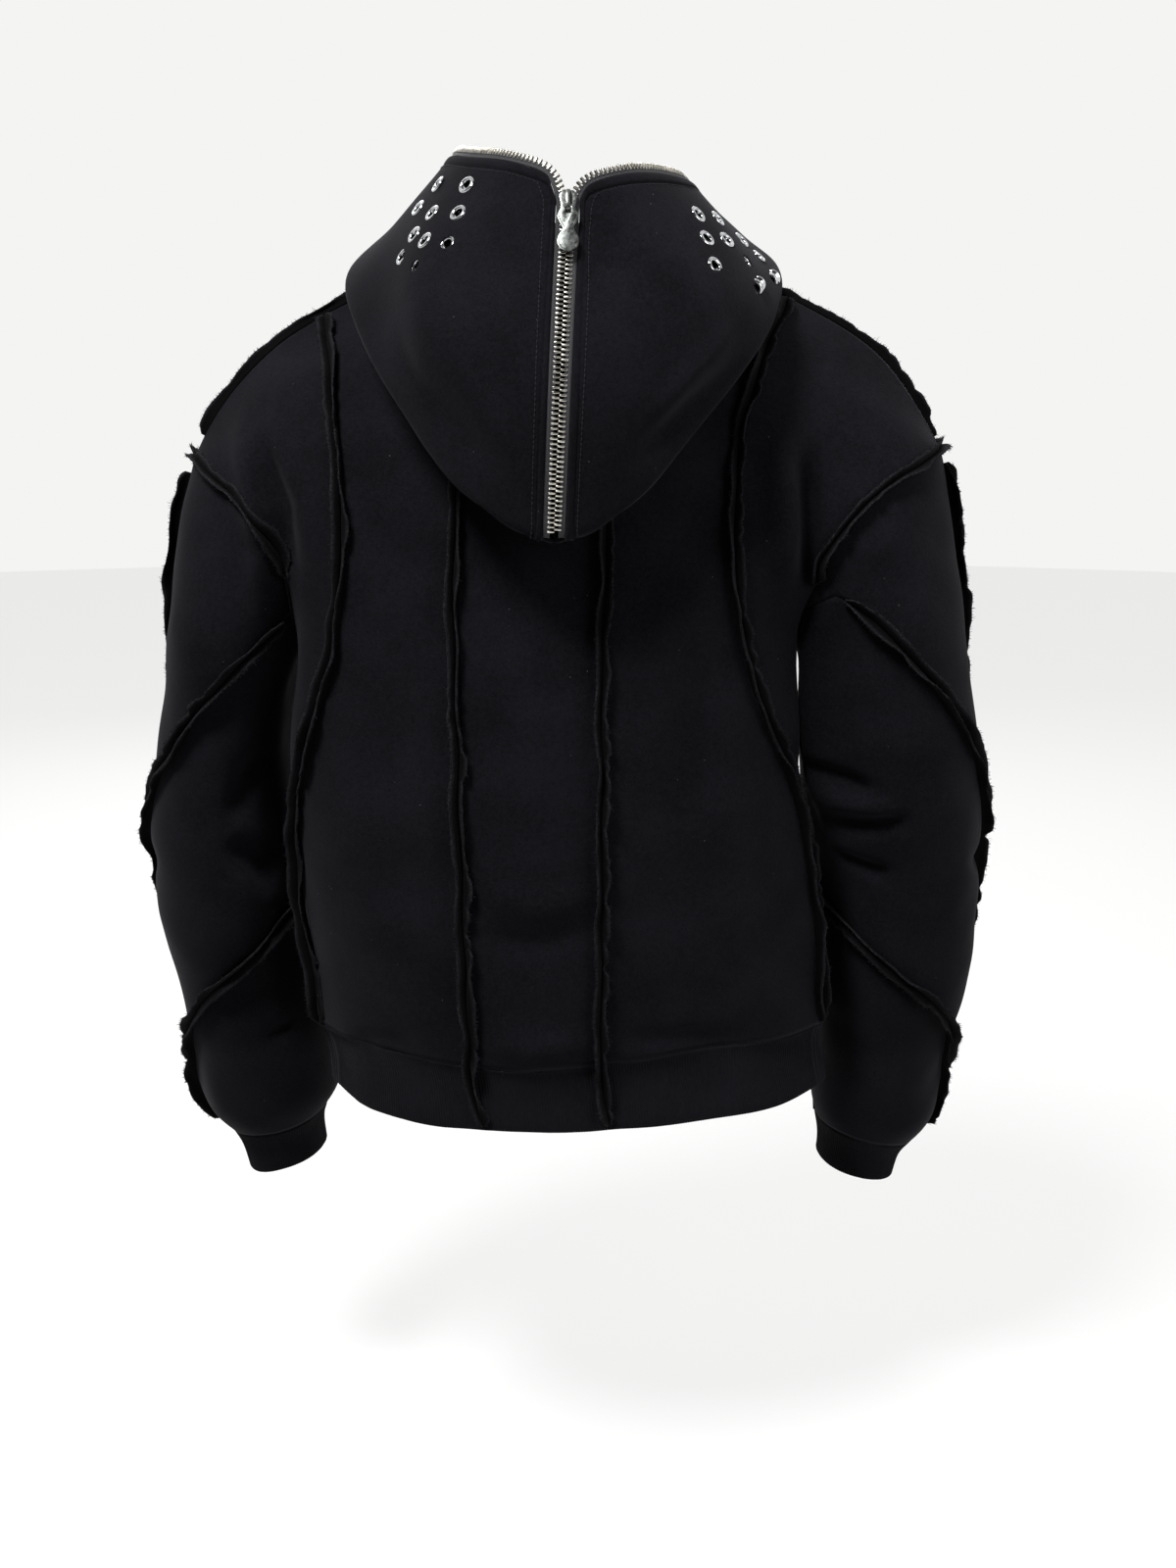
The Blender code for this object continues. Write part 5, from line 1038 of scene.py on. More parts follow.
# ------------------------------------------------------------------ ribs
@dataclass
class RibBand:
    """Knitted rib with its lower edge folded: cords of 2.2 mm round the hem or a cuff."""

    node: str
    inside: np.ndarray = field(repr=False)
    flat: tuple[float, float] = (0.2, 0.1)
    pitch: float = 2.2 * MM
    depth: float = 0.50 * MM
    wall: float = 2.4 * MM
    rim_angle: float = 52.0
    looks: int = 4  # points across a cord
    down: int = 9  # rows of points on its face
    made: bpy.types.Object = field(default=None, repr=False)
    face: np.ndarray = field(default=None, repr=False)
    out: np.ndarray = field(default=None, repr=False)

    def build(self, frame: dict) -> bpy.types.Object:
        """The band on its solid's form, cord by cord.

        Args:
            frame: the loaded frame.

        Returns:
            The band's object.
        """
        rows, closed = self._rows(frame)
        tall = len(rows)
        places = np.linspace(0, tall - 1, self.down)
        grid = spline(rows, places)
        if closed:
            grid = np.concatenate([grid, grid[:, :1]], axis=1)
        lengths = np.mean([lengths_along(row) for row in grid], axis=0)
        cords = int(round(lengths[-1] / self.pitch))
        count = cords * self.looks
        stations = np.linspace(0, lengths[-1], count + 1)
        corner = np.interp(stations, lengths, np.arange(grid.shape[1]))
        ends = grid.transpose(1, 0, 2)
        if closed:
            around = np.concatenate([ends[-2:-1], ends, ends[1:2]])
            face = spline(around, corner + 1).transpose(1, 0, 2)[:, :-1]
        else:
            face = spline(ends, corner).transpose(1, 0, 2)
        across = np.gradient(face, axis=1)
        if closed:
            across = np.roll(face, -1, axis=1) - np.roll(face, 1, axis=1)
        down = np.gradient(face, axis=0)
        out = unit(np.cross(across, down))
        middle = np.array([np.interp(face[..., 2], self.inside[:, 0], self.inside[:, axis]) for axis in (1, 2)])
        away = face[..., :2] - middle.transpose(1, 2, 0)
        if np.mean(np.sum(away * out[..., :2], axis=2)) < 0:
            out = -out
        turn = np.arange(face.shape[1]) % self.looks
        relief = np.array([-1.0, 0.25, 0.6, 0.25])[turn] * self.depth * 0.8
        random = np.random.default_rng(5)
        relief = relief[None] + softened(random.normal(size=face.shape[1]), 5.0)[None] * 0.35 * MM
        fade = smooth_step(np.linspace(0, 1, self.down) / 0.12 + 0.25)[:, None]
        skin = face + out * (relief * fade)[..., None]
        back = face - out * (self.wall + relief * fade * 0.7)[..., None]
        low = unit(down[-1])
        fold = []
        for angle in (35, 90, 145):
            turned = math.radians(angle)
            drop = low * math.sin(turned) * self.wall * 0.55
            depth = (self.wall / 2) * (1 - math.cos(turned))
            ridge = relief[0] * (0.8 * math.cos(turned / 2))
            fold.append(face[-1] - out[-1] * (depth - ridge)[..., None] + drop)
        self.face, self.out = face, out
        brim = face[:1] - out[:1] * self.wall / 2
        sheet = np.concatenate([brim, skin, np.array(fold), back[::-1], brim])
        points = sheet[:-1].reshape(-1, 3)
        columns = sheet.shape[1]
        faces = grid_faces(len(sheet) - 1, columns, 0, closed)
        last = (len(sheet) - 2) * columns
        for column in range(columns if closed else columns - 1):
            after = (column + 1) % columns
            faces.append((last + column, last + after, after, column))
        if not closed:
            for column in (0, columns - 1):
                ring = [row * columns + column for row in range(len(sheet) - 1)]
                faces.append(tuple(ring))
        self.made = make_piece(f"rib_{self.node}", points, faces)
        return self.made

    def side_line(self, side: Side) -> SeamLine:
        """Its sewn end on one side, from the fold up."""
        column = 0 if side.value * (self.face[0, 0, 0] - self.face[0, -1, 0]) > 0 else -1
        return SeamLine(self.face[::-1, column], self.out[::-1, column])

    def _rows(self, frame: dict) -> tuple[np.ndarray, bool]:
        """Rows of corners on the outside of its solid, top row first, and whether they close to rings."""
        shape = bmesh.new()
        shape.from_mesh(frame["nodes"][self.node].data)
        bmesh.ops.remove_doubles(shape, verts=shape.verts, dist=0.01 * MM)
        bmesh.ops.join_triangles(
            shape,
            faces=shape.faces,
            angle_face_threshold=math.radians(48),
            angle_shape_threshold=math.radians(85),
        )
        shape.verts.ensure_lookup_table()
        shape.faces.ensure_lookup_table()
        outer = outer_skin(shape, self.inside, lambda edge: edge.calc_face_angle(0) > math.radians(self.rim_angle))
        uses: dict[tuple[int, int], int] = {}
        for face in outer:
            for edge in shape.faces[face].edges:
                pair = tuple(sorted(vertex.index for vertex in edge.verts))
                uses[pair] = uses.get(pair, 0) + 1
        after: dict[int, list[int]] = {}
        for (a, b), count in uses.items():
            if count == 1:
                after.setdefault(a, []).append(b)
                after.setdefault(b, []).append(a)
        at_vertex: dict[int, int] = {}
        for face in outer:
            for vertex in shape.faces[face].verts:
                at_vertex[vertex.index] = at_vertex.get(vertex.index, 0) + 1
        corners = [index for index in after if at_vertex[index] == 1]
        height = {index: shape.verts[index].co.z for index in at_vertex}
        closed = len(corners) < 4
        if closed:
            start = max(after, key=lambda index: height[index])
            row = [start]
            while True:
                step = [index for index in after[row[-1]] if index not in row]
                if not step:
                    break
                row.append(max(step, key=lambda index: height[index]))
        else:
            start = max(corners, key=lambda index: height[index])
            runs = []
            for second in after[start]:
                run = [start, second]
                while run[-1] not in corners:
                    run.append(next(index for index in after[run[-1]] if index != run[-2]))
                runs.append(run)
            row = max(runs, key=lambda run: np.mean([height[index] for index in run]))
        rows = [row]
        used: set[int] = set()
        while True:
            below: dict[int, int] = {}
            here = rows[-1]
            pairs = list(zip(here, here[1:])) + ([(here[-1], here[0])] if closed else [])
            for a, b in pairs:
                for face in outer - used:
                    ring = [vertex.index for vertex in shape.faces[face].verts]
                    if a in ring and b in ring and len(ring) == 4:
                        used.add(face)
                        for index in (a, b):
                            place = ring.index(index)
                            beside = {ring[(place + 1) % 4], ring[place - 1]} - {a, b}
                            below[index] = beside.pop()
            if len(below) < len(here):
                break
            rows.append([below[index] for index in here])
        points = np.array([[shape.verts[index].co for index in row] for row in rows])
        shape.free()
        return points, closed

    def dress(self, drape: Drape) -> None:
        """Drapes the band, gives it its knit and puts it on its body."""
        drape.settle(self.made)
        self.made.data.materials.append(RIB.make())
        seat(self.made, (self.node,))


# ------------------------------------------------------------------ hood
# Sections of the hood stand upright through the neck's middle. Each row is the angle round the neck, 0 at the
# back and 180 at the front, and five places as distance out and height: lip, underside, lower fold, swell, edge.
HOOD_SECTIONS = {
    Side.LEFT: (
        (0, 0.104, 0.016, 0.146, -0.085, 0.186, -0.190, 0.202, -0.085, 0.160, 0.030),
        (5, 0.104, 0.016, 0.146, -0.082, 0.185, -0.187, 0.201, -0.077, 0.154, 0.046),
        (10, 0.105, 0.016, 0.146, -0.078, 0.184, -0.180, 0.200, -0.070, 0.150, 0.052),
        (18, 0.106, 0.016, 0.147, -0.070, 0.182, -0.163, 0.196, -0.058, 0.142, 0.058),
        (30, 0.108, 0.016, 0.149, -0.055, 0.180, -0.130, 0.189, -0.036, 0.128, 0.064),
        (48, 0.110, 0.016, 0.150, -0.032, 0.174, -0.076, 0.160, -0.002, 0.110, 0.070),
        (68, 0.110, 0.015, 0.144, -0.010, 0.168, -0.032, 0.138, 0.026, 0.096, 0.071),
        (90, 0.106, 0.014, 0.132, 0.005, 0.159, -0.004, 0.119, 0.038, 0.088, 0.065),
        (115, 0.103, 0.004, 0.119, 0.003, 0.137, 0.003, 0.114, 0.027, 0.093, 0.044),
        (142, 0.104, -0.030, 0.110, -0.021, 0.114, -0.012, 0.113, -0.003, 0.106, 0.004),
        (165, 0.106, -0.061, 0.107, -0.053, 0.108, -0.045, 0.108, -0.037, 0.106, -0.029),
        (180, 0.1055, -0.072, 0.104, -0.066, 0.1025, -0.060, 0.101, -0.053, 0.0990, -0.045),
    ),
    Side.RIGHT: (
        (0, 0.104, 0.016, 0.146, -0.085, 0.186, -0.190, 0.202, -0.085, 0.160, 0.030),
        (5, 0.104, 0.016, 0.146, -0.082, 0.185, -0.187, 0.201, -0.079, 0.154, 0.040),
        (10, 0.105, 0.016, 0.146, -0.078, 0.184, -0.180, 0.200, -0.072, 0.150, 0.045),
        (18, 0.106, 0.016, 0.147, -0.068, 0.182, -0.160, 0.196, -0.060, 0.143, 0.049),
        (30, 0.108, 0.014, 0.149, -0.052, 0.178, -0.122, 0.188, -0.038, 0.130, 0.052),
        (48, 0.110, 0.012, 0.150, -0.030, 0.174, -0.068, 0.168, -0.011, 0.114, 0.053),
        (68, 0.110, 0.012, 0.140, -0.009, 0.162, -0.027, 0.139, 0.015, 0.098, 0.050),
        (90, 0.106, 0.012, 0.129, 0.004, 0.151, -0.004, 0.118, 0.028, 0.088, 0.047),
        (115, 0.103, 0.004, 0.119, 0.003, 0.135, 0.003, 0.114, 0.021, 0.093, 0.034),
        (142, 0.104, -0.030, 0.110, -0.021, 0.114, -0.012, 0.113, -0.004, 0.106, 0.002),
        (165, 0.106, -0.061, 0.107, -0.053, 0.108, -0.045, 0.108, -0.037, 0.106, -0.029),
        (180, 0.1055, -0.072, 0.104, -0.066, 0.1025, -0.060, 0.101, -0.053, 0.0990, -0.045),
    ),
}
NECK_LINE = (
    (0, 0.078, -0.012),
    (45, 0.081, -0.005),
    (90, 0.086, 0.000),
    (135, 0.094, -0.036),
    (180, 0.107, -0.078),
)


def table_value(rows: tuple[tuple[float, ...], ...], key: float) -> np.ndarray:
    """Values between a table's rows.

    Args:
        rows: each row's key and values.
        key: where to look.

    Returns:
        The values there, along a smooth curve through the rows.
    """
    table = np.array(rows)
    keys, data = table[:, 0], table[:, 1:]
    key = min(max(key, keys[0]), keys[-1])
    low = max(0, min(bisect_right(list(keys), key) - 1, len(keys) - 2))
    span = keys[low + 1] - keys[low]
    slopes = [
        (data[min(index + 1, len(keys) - 1)] - data[max(index - 1, 0)])
        / (keys[min(index + 1, len(keys) - 1)] - keys[max(index - 1, 0)])
        for index in (low, low + 1)
    ]
    return curve_between(data[low], data[low + 1], slopes[0] * span, slopes[1] * span, (key - keys[low]) / span)


def curve_between(
    start: np.ndarray, end: np.ndarray, leave: np.ndarray, arrive: np.ndarray, part: float
) -> np.ndarray:
    """Point of a smooth curve between two with given slopes."""
    return (
        start * (2 * part**3 - 3 * part**2 + 1)
        + leave * (part**3 - 2 * part**2 + part)
        + end * (3 * part**2 - 2 * part**3)
        + arrive * (part**3 - part**2)
    )


@dataclass
class HoodHalf:
    """One half of the hood, down on the back, in double cloth: parted by the zip and hemmed round its opening."""

    side: Side
    wall: float = HOOD_WALL
    seam_lift: float = 1.2 * MM
    fold_half: float = 9.0 * MM
    fold_fade: tuple[float, float] = (112, 150)
    gap_shares: tuple[float, float] = (0.50, 0.571)  # where the zip's gap opens
    lean: float = 0.045
    lean_from: float = 0.03
    rim: float = 1.5 * MM
    stitch_at: float = 8.0 * MM
    hem_puff: float = 0.5 * MM
    stitch_depth: float = 0.9 * MM
    hole: float = 4.25 * MM
    looks: int = 420
    made: bpy.types.Object = field(default=None, repr=False)
    middle: np.ndarray = field(default=None, repr=False)
    normals: np.ndarray = field(default=None, repr=False)
    gap_row: int = 0

    def section(self, angle: float) -> np.ndarray:
        """Line of the section at an angle, from the neck seam to the opening's edge."""
        if angle < 5:
            near, far = self._plain_section(0), self._plain_section(5)
            return near + (far - near) * angle / 5
        return self._plain_section(angle)

    def _plain_section(self, angle: float) -> np.ndarray:
        """Section at an angle straight from the table."""
        lip, under, fold, swell, edge = table_value(HOOD_SECTIONS[self.side], angle).reshape(5, 2)
        radius, height = table_value(NECK_LINE, angle)
        turn = math.radians(angle)
        if angle > 175:
            radius = abs(radius * math.cos(turn))
        fade = float(smooth_step((angle - self.fold_fade[0]) / (self.fold_fade[1] - self.fold_fade[0])))
        way = unit(fold - (under + swell) / 2)
        beside = np.array([way[1], -way[0]])
        if beside @ (under - fold) < 0:
            beside = -beside
        back_off = fold - way * self.fold_half * 0.8
        before = (back_off + beside * self.fold_half) * (1 - fade) + (under + 2 * fold) / 3 * fade
        after = (back_off - beside * self.fold_half) * (1 - fade) + (swell + 2 * fold) / 3 * fade
        start = np.array([radius, height + self.seam_lift])
        controls = np.array([start, lip, under, before, fold, after, swell, edge])
        slopes = np.gradient(controls, axis=0)
        shares = np.linspace(0, 1, self.looks + 1)
        corner = np.clip(shares * 7, 0, 7)
        low = np.minimum(corner.astype(int), 6)
        part = (corner - low)[:, None]
        flat = curve_between(controls[low], controls[low + 1], slopes[low], slopes[low + 1], part)
        x, y = flat[:, 0] * math.sin(turn), flat[:, 0] * math.cos(turn)
        if angle < 1:
            opened = smooth_step((shares - self.gap_shares[0]) / (self.gap_shares[1] - self.gap_shares[0]))
            x = SEAM_GAP / 2 + (ZIP_HALF_GAP - SEAM_GAP / 2) * opened
        elif angle > 179:
            x = np.full_like(x, ZIP_HALF_GAP)
        lean = self.lean * np.maximum(self.lean_from - flat[:, 1], 0.0) * max(math.cos(turn), 0.0)
        return np.stack([self.side.value * x + lean, y, flat[:, 1]], axis=1)

    def build(self) -> bpy.types.Object:
        """Closed double wall of the half, thin and round at its rims, with a sunk line of stitching."""
        angles = np.concatenate([np.linspace(0, 7, 20), np.linspace(8, 60, 46), np.linspace(62.5, 180, 48)])
        from_edge = np.array([0, 0.35, 0.8, 1.5, 2.5, 3.5, 4.5, 5.5, 6.5, 7.3, 8.0, 8.7, 9.5, 11.0]) * MM
        columns = []
        for angle in angles:
            line = self.section(angle)
            lengths = lengths_along(line)
            near = lengths[-1] - from_edge[::-1]
            rest = np.linspace(0, near[0], 96, endpoint=False)
            places = np.concatenate([rest, near])
            columns.append(np.stack([np.interp(places, lengths, line[:, axis]) for axis in range(3)], axis=1))
        grid = np.array(columns)  # angle by row
        line = self.section(0)
        lengths = lengths_along(line)
        gap_length = lengths[int(self.gap_shares[1] * self.looks)]
        self.gap_row = int(np.argmin(np.abs(lengths_along(grid[0]) - gap_length)))
        round_way = np.gradient(grid, axis=0)
        down_way = np.gradient(grid, axis=1)
        out = unit(np.cross(round_way, down_way))
        check = (int(len(angles) * 0.4), 85)
        inside = np.array([self.side.value * 0.10, 0.10, 0.02])
        if out[check] @ (grid[check] - inside) < 0:
            out = -out
        out[0, :, 0] = 0
        out[-1, :, 0] = 0
        out = unit(softened(unit(out), 1.0))
        self.normals = out
        self.middle = grid - out * self.wall / 2
        edge = self._distance_from(self.middle, -1)
        zip_back = np.array([lengths_along(row) for row in self.middle.transpose(1, 0, 2)]).T
        zip_front = zip_back[-1][None] - zip_back
        neck = np.array([lengths_along(line) for line in self.middle])
        closed_rows = np.arange(grid.shape[1]) < self.gap_row - 6
        rim_gap = np.minimum(np.minimum(edge, zip_front), np.minimum(zip_back, neck))
        cap = np.clip(rim_gap / self.rim, 0, 1)
        half = self.wall / 2 * np.sqrt(1 - (1 - cap) ** 2)
        hemmed = np.minimum(edge, zip_front)
        hemmed = np.where(closed_rows[None], hemmed, np.minimum(hemmed, zip_back))
        puff = self.hem_puff * smooth_step(hemmed / 3 / MM) * smooth_step((self.stitch_at - hemmed) / 3 / MM)
        groove = -self.stitch_depth * np.exp(-(((hemmed - self.stitch_at) / (0.9 * MM)) ** 2))
        outer = self.middle + out * (half + puff + groove)[..., None]
        inner = self.middle - out * (half + (puff + groove) * 0.6)[..., None]
        rows, columns = outer.shape[:2]
        faces = grid_faces(rows, columns)
        inner_index = np.arange(rows * columns).reshape(rows, columns) + rows * columns
        own = np.arange(rows * columns).reshape(rows, columns)
        inner_index[0], inner_index[-1] = own[0], own[-1]
        inner_index[:, 0], inner_index[:, -1] = own[:, 0], own[:, -1]
        for row in range(rows - 1):
            for column in range(columns - 1):
                faces.append(
                    (
                        inner_index[row, column],
                        inner_index[row + 1, column],
                        inner_index[row + 1, column + 1],
                        inner_index[row, column + 1],
                    )
                )
        points = np.concatenate([outer.reshape(-1, 3), inner.reshape(-1, 3)])
        faces = [tuple(int(index) for index in face) for face in faces]
        self.made = make_piece(f"hood_half_{self.side.word}", points, faces)
        drop = bmesh.new()
        drop.from_mesh(self.made.data)
        bmesh.ops.delete(drop, geom=[vertex for vertex in drop.verts if not vertex.link_faces], context="VERTS")
        drop.to_mesh(self.made.data)
        drop.free()
        return self.made

    @staticmethod
    def _distance_from(grid: np.ndarray, row: int) -> np.ndarray:
        """Distance along each section from its last point."""
        lengths = np.array([lengths_along(line) for line in grid])
        return lengths[:, row][:, None] - lengths

    def pierce(self, eyelets: list["EyeletRing"]) -> None:
        """Cuts a hole through both layers for each eyelet."""
        deselect()
        cutters = []
        for eyelet in eyelets:
            turn = Vector(eyelet.facing).to_track_quat("Z", "Y").to_euler()
            bpy.ops.mesh.primitive_cylinder_add(
                vertices=20, radius=self.hole, depth=22 * MM, location=eyelet.middle, rotation=turn
            )
            cutters.append(bpy.context.object)
            deselect()
        for cutter in cutters:
            cutter.select_set(True)
        bpy.context.view_layer.objects.active = cutters[0]
        bpy.ops.object.join()
        cutter = bpy.context.object
        cut = self.made.modifiers.new("holes", "BOOLEAN")
        cut.object = cutter
        cut.operation = "DIFFERENCE"
        cut.solver = "EXACT"
        apply_modifiers(self.made)
        bpy.data.objects.remove(cutter, do_unlink=True)
        self.made.data.polygons.foreach_set("use_smooth", [True] * len(self.made.data.polygons))

    def zip_path(self) -> tuple[np.ndarray, np.ndarray, np.ndarray]:
        """Cloth edge that the zip follows: up the neck, round the opening and down the back.

        Returns:
            Points, normals and whether the two halves meet there.
        """
        neck = self.middle[-1], self.normals[-1]
        opening = self.middle[::-1, -1][1:], self.normals[::-1, -1][1:]
        back = self.middle[0, self.gap_row :][::-1][1:], self.normals[0, self.gap_row :][::-1][1:]
        points = np.concatenate([neck[0], opening[0], back[0]])
        normals = np.concatenate([neck[1], opening[1], back[1]])
        met = np.concatenate([np.ones(len(neck[0])), np.zeros(len(opening[0])), np.ones(len(back[0]))])
        return points, normals, met

    def dress(self, drape: Drape) -> None:
        """Drapes the half, gives it its finish and puts it on its body."""
        drape.settle(self.made)
        self.made.data.materials.append(FLEECE.make())
        seat(self.made, (f"hood_{self.side.word}",))


# ------------------------------------------------------------------ eyelets
@dataclass
class EyeletRing:
    """Round pressed eyelet with a rolled rim on both faces of the cloth."""

    node: str
    middle: np.ndarray = field(default=None, repr=False)
    facing: np.ndarray = field(default=None, repr=False)
    height: float = 0.0
    made: bpy.types.Object = field(default=None, repr=False)

    def find(self, frame: dict) -> None:
        """Takes the place and the way it faces from its solid."""
        mesh = frame["nodes"][self.node].data
        values = np.empty(len(mesh.vertices) * 3)
        mesh.vertices.foreach_get("co", values)
        corners = np.unique(values.reshape(-1, 3).round(6), axis=0)
        self.middle = corners.mean(0)
        _, _, ways = np.linalg.svd(corners - self.middle)
        self.facing = ways[2]
        if self.facing @ (self.middle - np.array([math.copysign(0.10, self.middle[0]), 0.10, 0.02])) < 0:
            self.facing = -self.facing
        reach = (corners - self.middle) @ self.facing
        self.middle = self.middle + self.facing * (reach.max() + reach.min()) / 2
        self.height = (reach.max() - reach.min()) / 2

    def build(self, pattern: bpy.types.Mesh, drape: Drape) -> bpy.types.Object:
        """Own copy of the one modelled eyelet, turned to face out of the cloth."""
        mesh = pattern.copy()
        mesh.name = f"ring_{self.node}"
        made = bpy.data.objects.new(f"ring_{self.node}", mesh)
        bpy.context.scene.collection.objects.link(made)
        points = mesh_points(made)
        across = unit(np.cross(self.facing, [0.13, 0.21, 0.97]))
        beside = np.cross(self.facing, across)
        middle = self.middle + drape.shift(self.middle[None])[0]
        stretched = points[:, 2] * self.height
        places = middle + points[:, :1] * across + points[:, 1:2] * beside + stretched[:, None] * self.facing
        set_points(made, places)
        self.made = made
        seat(made, (self.node,))
        return made


def eyelet_pattern() -> bpy.types.Mesh:
    """The eyelet that is copied: a barrel between two rolled rims, one unit high to each side."""
    outline = []
    for angle in np.linspace(190, 0, 10):
        turn = math.radians(angle)
        outline.append((5.05 + 1.45 * math.cos(turn), 0.60 + 0.40 * math.sin(turn)))
    outline += [(6.2, 0.50), (4.1, 0.45)]
    profile = outline + [(radius - (0.6 if radius > 5.5 else 0.0), -height) for radius, height in reversed(outline)]
    turns = np.linspace(0, 2 * math.pi, 32, endpoint=False)
    points, faces = [], []
    for radius, height in profile:
        for turn in turns:
            points.append((radius * MM * math.cos(turn), radius * MM * math.sin(turn), height))
    count = len(turns)
    for row in range(len(profile)):
        below = (row + 1) % len(profile)
        for column in range(count):
            after = (column + 1) % count
            near, far = row * count, below * count
            faces.append((near + column, near + after, far + after, far + column))
    made = make_piece("eyelet pattern", np.array(points), faces)
    mesh = made.data
    mesh.materials.append(CHROME.make())
    bpy.data.objects.remove(made, do_unlink=True)
    return mesh


# ------------------------------------------------------------------ zip
@dataclass
class ZipHalf:
    """Tape and metal chain of one side, up the front, round the hood's opening and down its back."""

    side: Side
    points: np.ndarray = field(repr=False)
    normals: np.ndarray = field(repr=False)
    met: np.ndarray = field(repr=False)
    tape_from: float = 0.3 * MM
    tape_half: float = 0.42 * MM
    pitch: float = 3.25 * MM
    step: float = 2.5 * MM  # from one section of the tape to the next
    edge: np.ndarray = field(default=None, repr=False)
    ways: tuple[np.ndarray, ...] = field(default=(), repr=False)

    def lay(self) -> None:
        """Evens the path and works out its ways along, across and out."""
        path = np.concatenate([self.points, self.normals, self.met[:, None]], axis=1)
        lengths = lengths_along(self.points)
        keep = np.concatenate([[True], np.diff(lengths) > 1e-6])
        path, lengths = path[keep], lengths[keep]
        places = np.linspace(0, lengths[-1], int(lengths[-1] / self.step))
        path = np.stack([np.interp(places, lengths, path[:, column]) for column in range(7)], axis=1)
        path = softened(path, 2.0)
        self.edge = path[:, :3]
        met = smooth_step(path[:, 6])[:, None]
        along = unit(np.gradient(self.edge, axis=0))
        normal = unit(path[:, 3:6] - np.sum(path[:, 3:6] * along, axis=1, keepdims=True) * along)
        free = unit(np.cross(normal, along)) * self.side.value
        inward = np.array([-float(self.side.value), 0.0, 0.0])
        across = unit(free * (1 - met) + inward * met)
        across = unit(across - np.sum(across * along, axis=1, keepdims=True) * along)
        out = unit(np.cross(along, across)) * self.side.value
        self.ways = (along, softened(across, 1.5), softened(out, 1.5))

    def build_tape(self) -> bpy.types.Object:
        """Woven tape with the round cord in its edge, mapped across and along."""
        _, across, out = self.ways
        start = (self.tape_from / MM, 1)
        section = [start, (1.2, 1), (2.4, 1), (3.3, 1), (3.7, 1.3), (4.4, 1.9), (4.9, 1.2), (5.0, 0)]
        ring = section + [(reach, -height) for reach, height in reversed(section[:-1])]
        places = np.array(ring)
        sheet = (
            self.edge[:, None]
            + across[:, None] * (places[:, 0] * MM)[None, :, None]
            + out[:, None] * (places[:, 1] * self.tape_half)[None, :, None]
        )
        count = len(ring)
        faces = grid_faces(len(sheet), count, 0, closed=True)
        faces.append(tuple(range(count)))
        faces.append(tuple((len(sheet) - 1) * count + index for index in reversed(range(count))))
        made = make_piece(f"zip_tape_{self.side.word}", sheet.reshape(-1, 3), faces, turn_out=False)
        lengths = lengths_along(self.edge)
        layer = made.data.uv_layers.new(name="tape")
        for loop in made.data.loops:
            row, place = divmod(loop.vertex_index, count)
            layer.data[loop.index].uv = (ring[place][0] * MM, lengths[row])
        shape = bmesh.new()
        shape.from_mesh(made.data)
        bmesh.ops.recalc_face_normals(shape, faces=shape.faces)
        shape.to_mesh(made.data)
        shape.free()
        return made

    def build_teeth(self, pattern: bpy.types.Object) -> bpy.types.Object:
        """Chain of teeth, each a copy of the one modelled."""
        along, across, out = self.ways
        lengths = lengths_along(self.edge)
        offset = 0.0 if self.side is Side.LEFT else self.pitch / 2
        spots = np.arange(8 * MM + offset, lengths[-1] - 6 * MM, self.pitch)
        tooth = mesh_points(pattern)
        polygons = [tuple(face.vertices) for face in pattern.data.polygons]
        points, faces = [], []
        for spot in spots:
            frame = [
                np.array([np.interp(spot, lengths, values[:, axis]) for axis in range(3)])
                for values in (self.edge, along, across, out)
            ]
            place, ahead, inward, outward = frame
            first = len(points)
            points.extend(place + tooth[:, :1] * inward + tooth[:, 1:2] * ahead + tooth[:, 2:] * outward)
            faces.extend(tuple(first + index for index in face) for face in polygons)
        return make_piece(f"zip_teeth_{self.side.word}", np.array(points), faces)

    def dress(self, tape: bpy.types.Object, teeth: bpy.types.Object, drape: Drape) -> None:
        """Drapes the tape and the chain, and puts them on their body."""
        drape.settle(tape)
        drape.settle(teeth)
        tape.data.materials.append(TAPE.make())
        teeth.data.materials.append(NICKEL.make())
        seat(tape, (f"zip_{self.side.word}",))
        seat(teeth, ())


def tooth_pattern() -> bpy.types.Object:
    """The zip tooth that is copied: a bar across the tape's edge with a narrower rounded head."""
    deselect()
    bpy.ops.mesh.primitive_cube_add(size=1.0, location=(5.55 * MM, 0, 0))
    made = bpy.context.object
    made.name = "tooth pattern"
    made.scale = (4.9 * MM, 1.55 * MM, 2.6 * MM)
    bpy.ops.object.transform_apply(location=True, rotation=False, scale=True)
    bpy.ops.object.mode_set(mode="EDIT")
    bpy.ops.mesh.select_all(action="SELECT")
    bpy.ops.mesh.bevel(offset=0.38 * MM, segments=2, affect="EDGES")
    bpy.ops.mesh.select_all(action="DESELECT")
    bpy.ops.object.mode_set(mode="OBJECT")
    points = mesh_points(made)
    head = smooth_step((points[:, 0] / MM - 6.4) / 1.4)
    points[:, 1] *= 1 - 0.22 * head
    points[:, 2] *= 1 - 0.10 * head
    set_points(made, points)
    return made


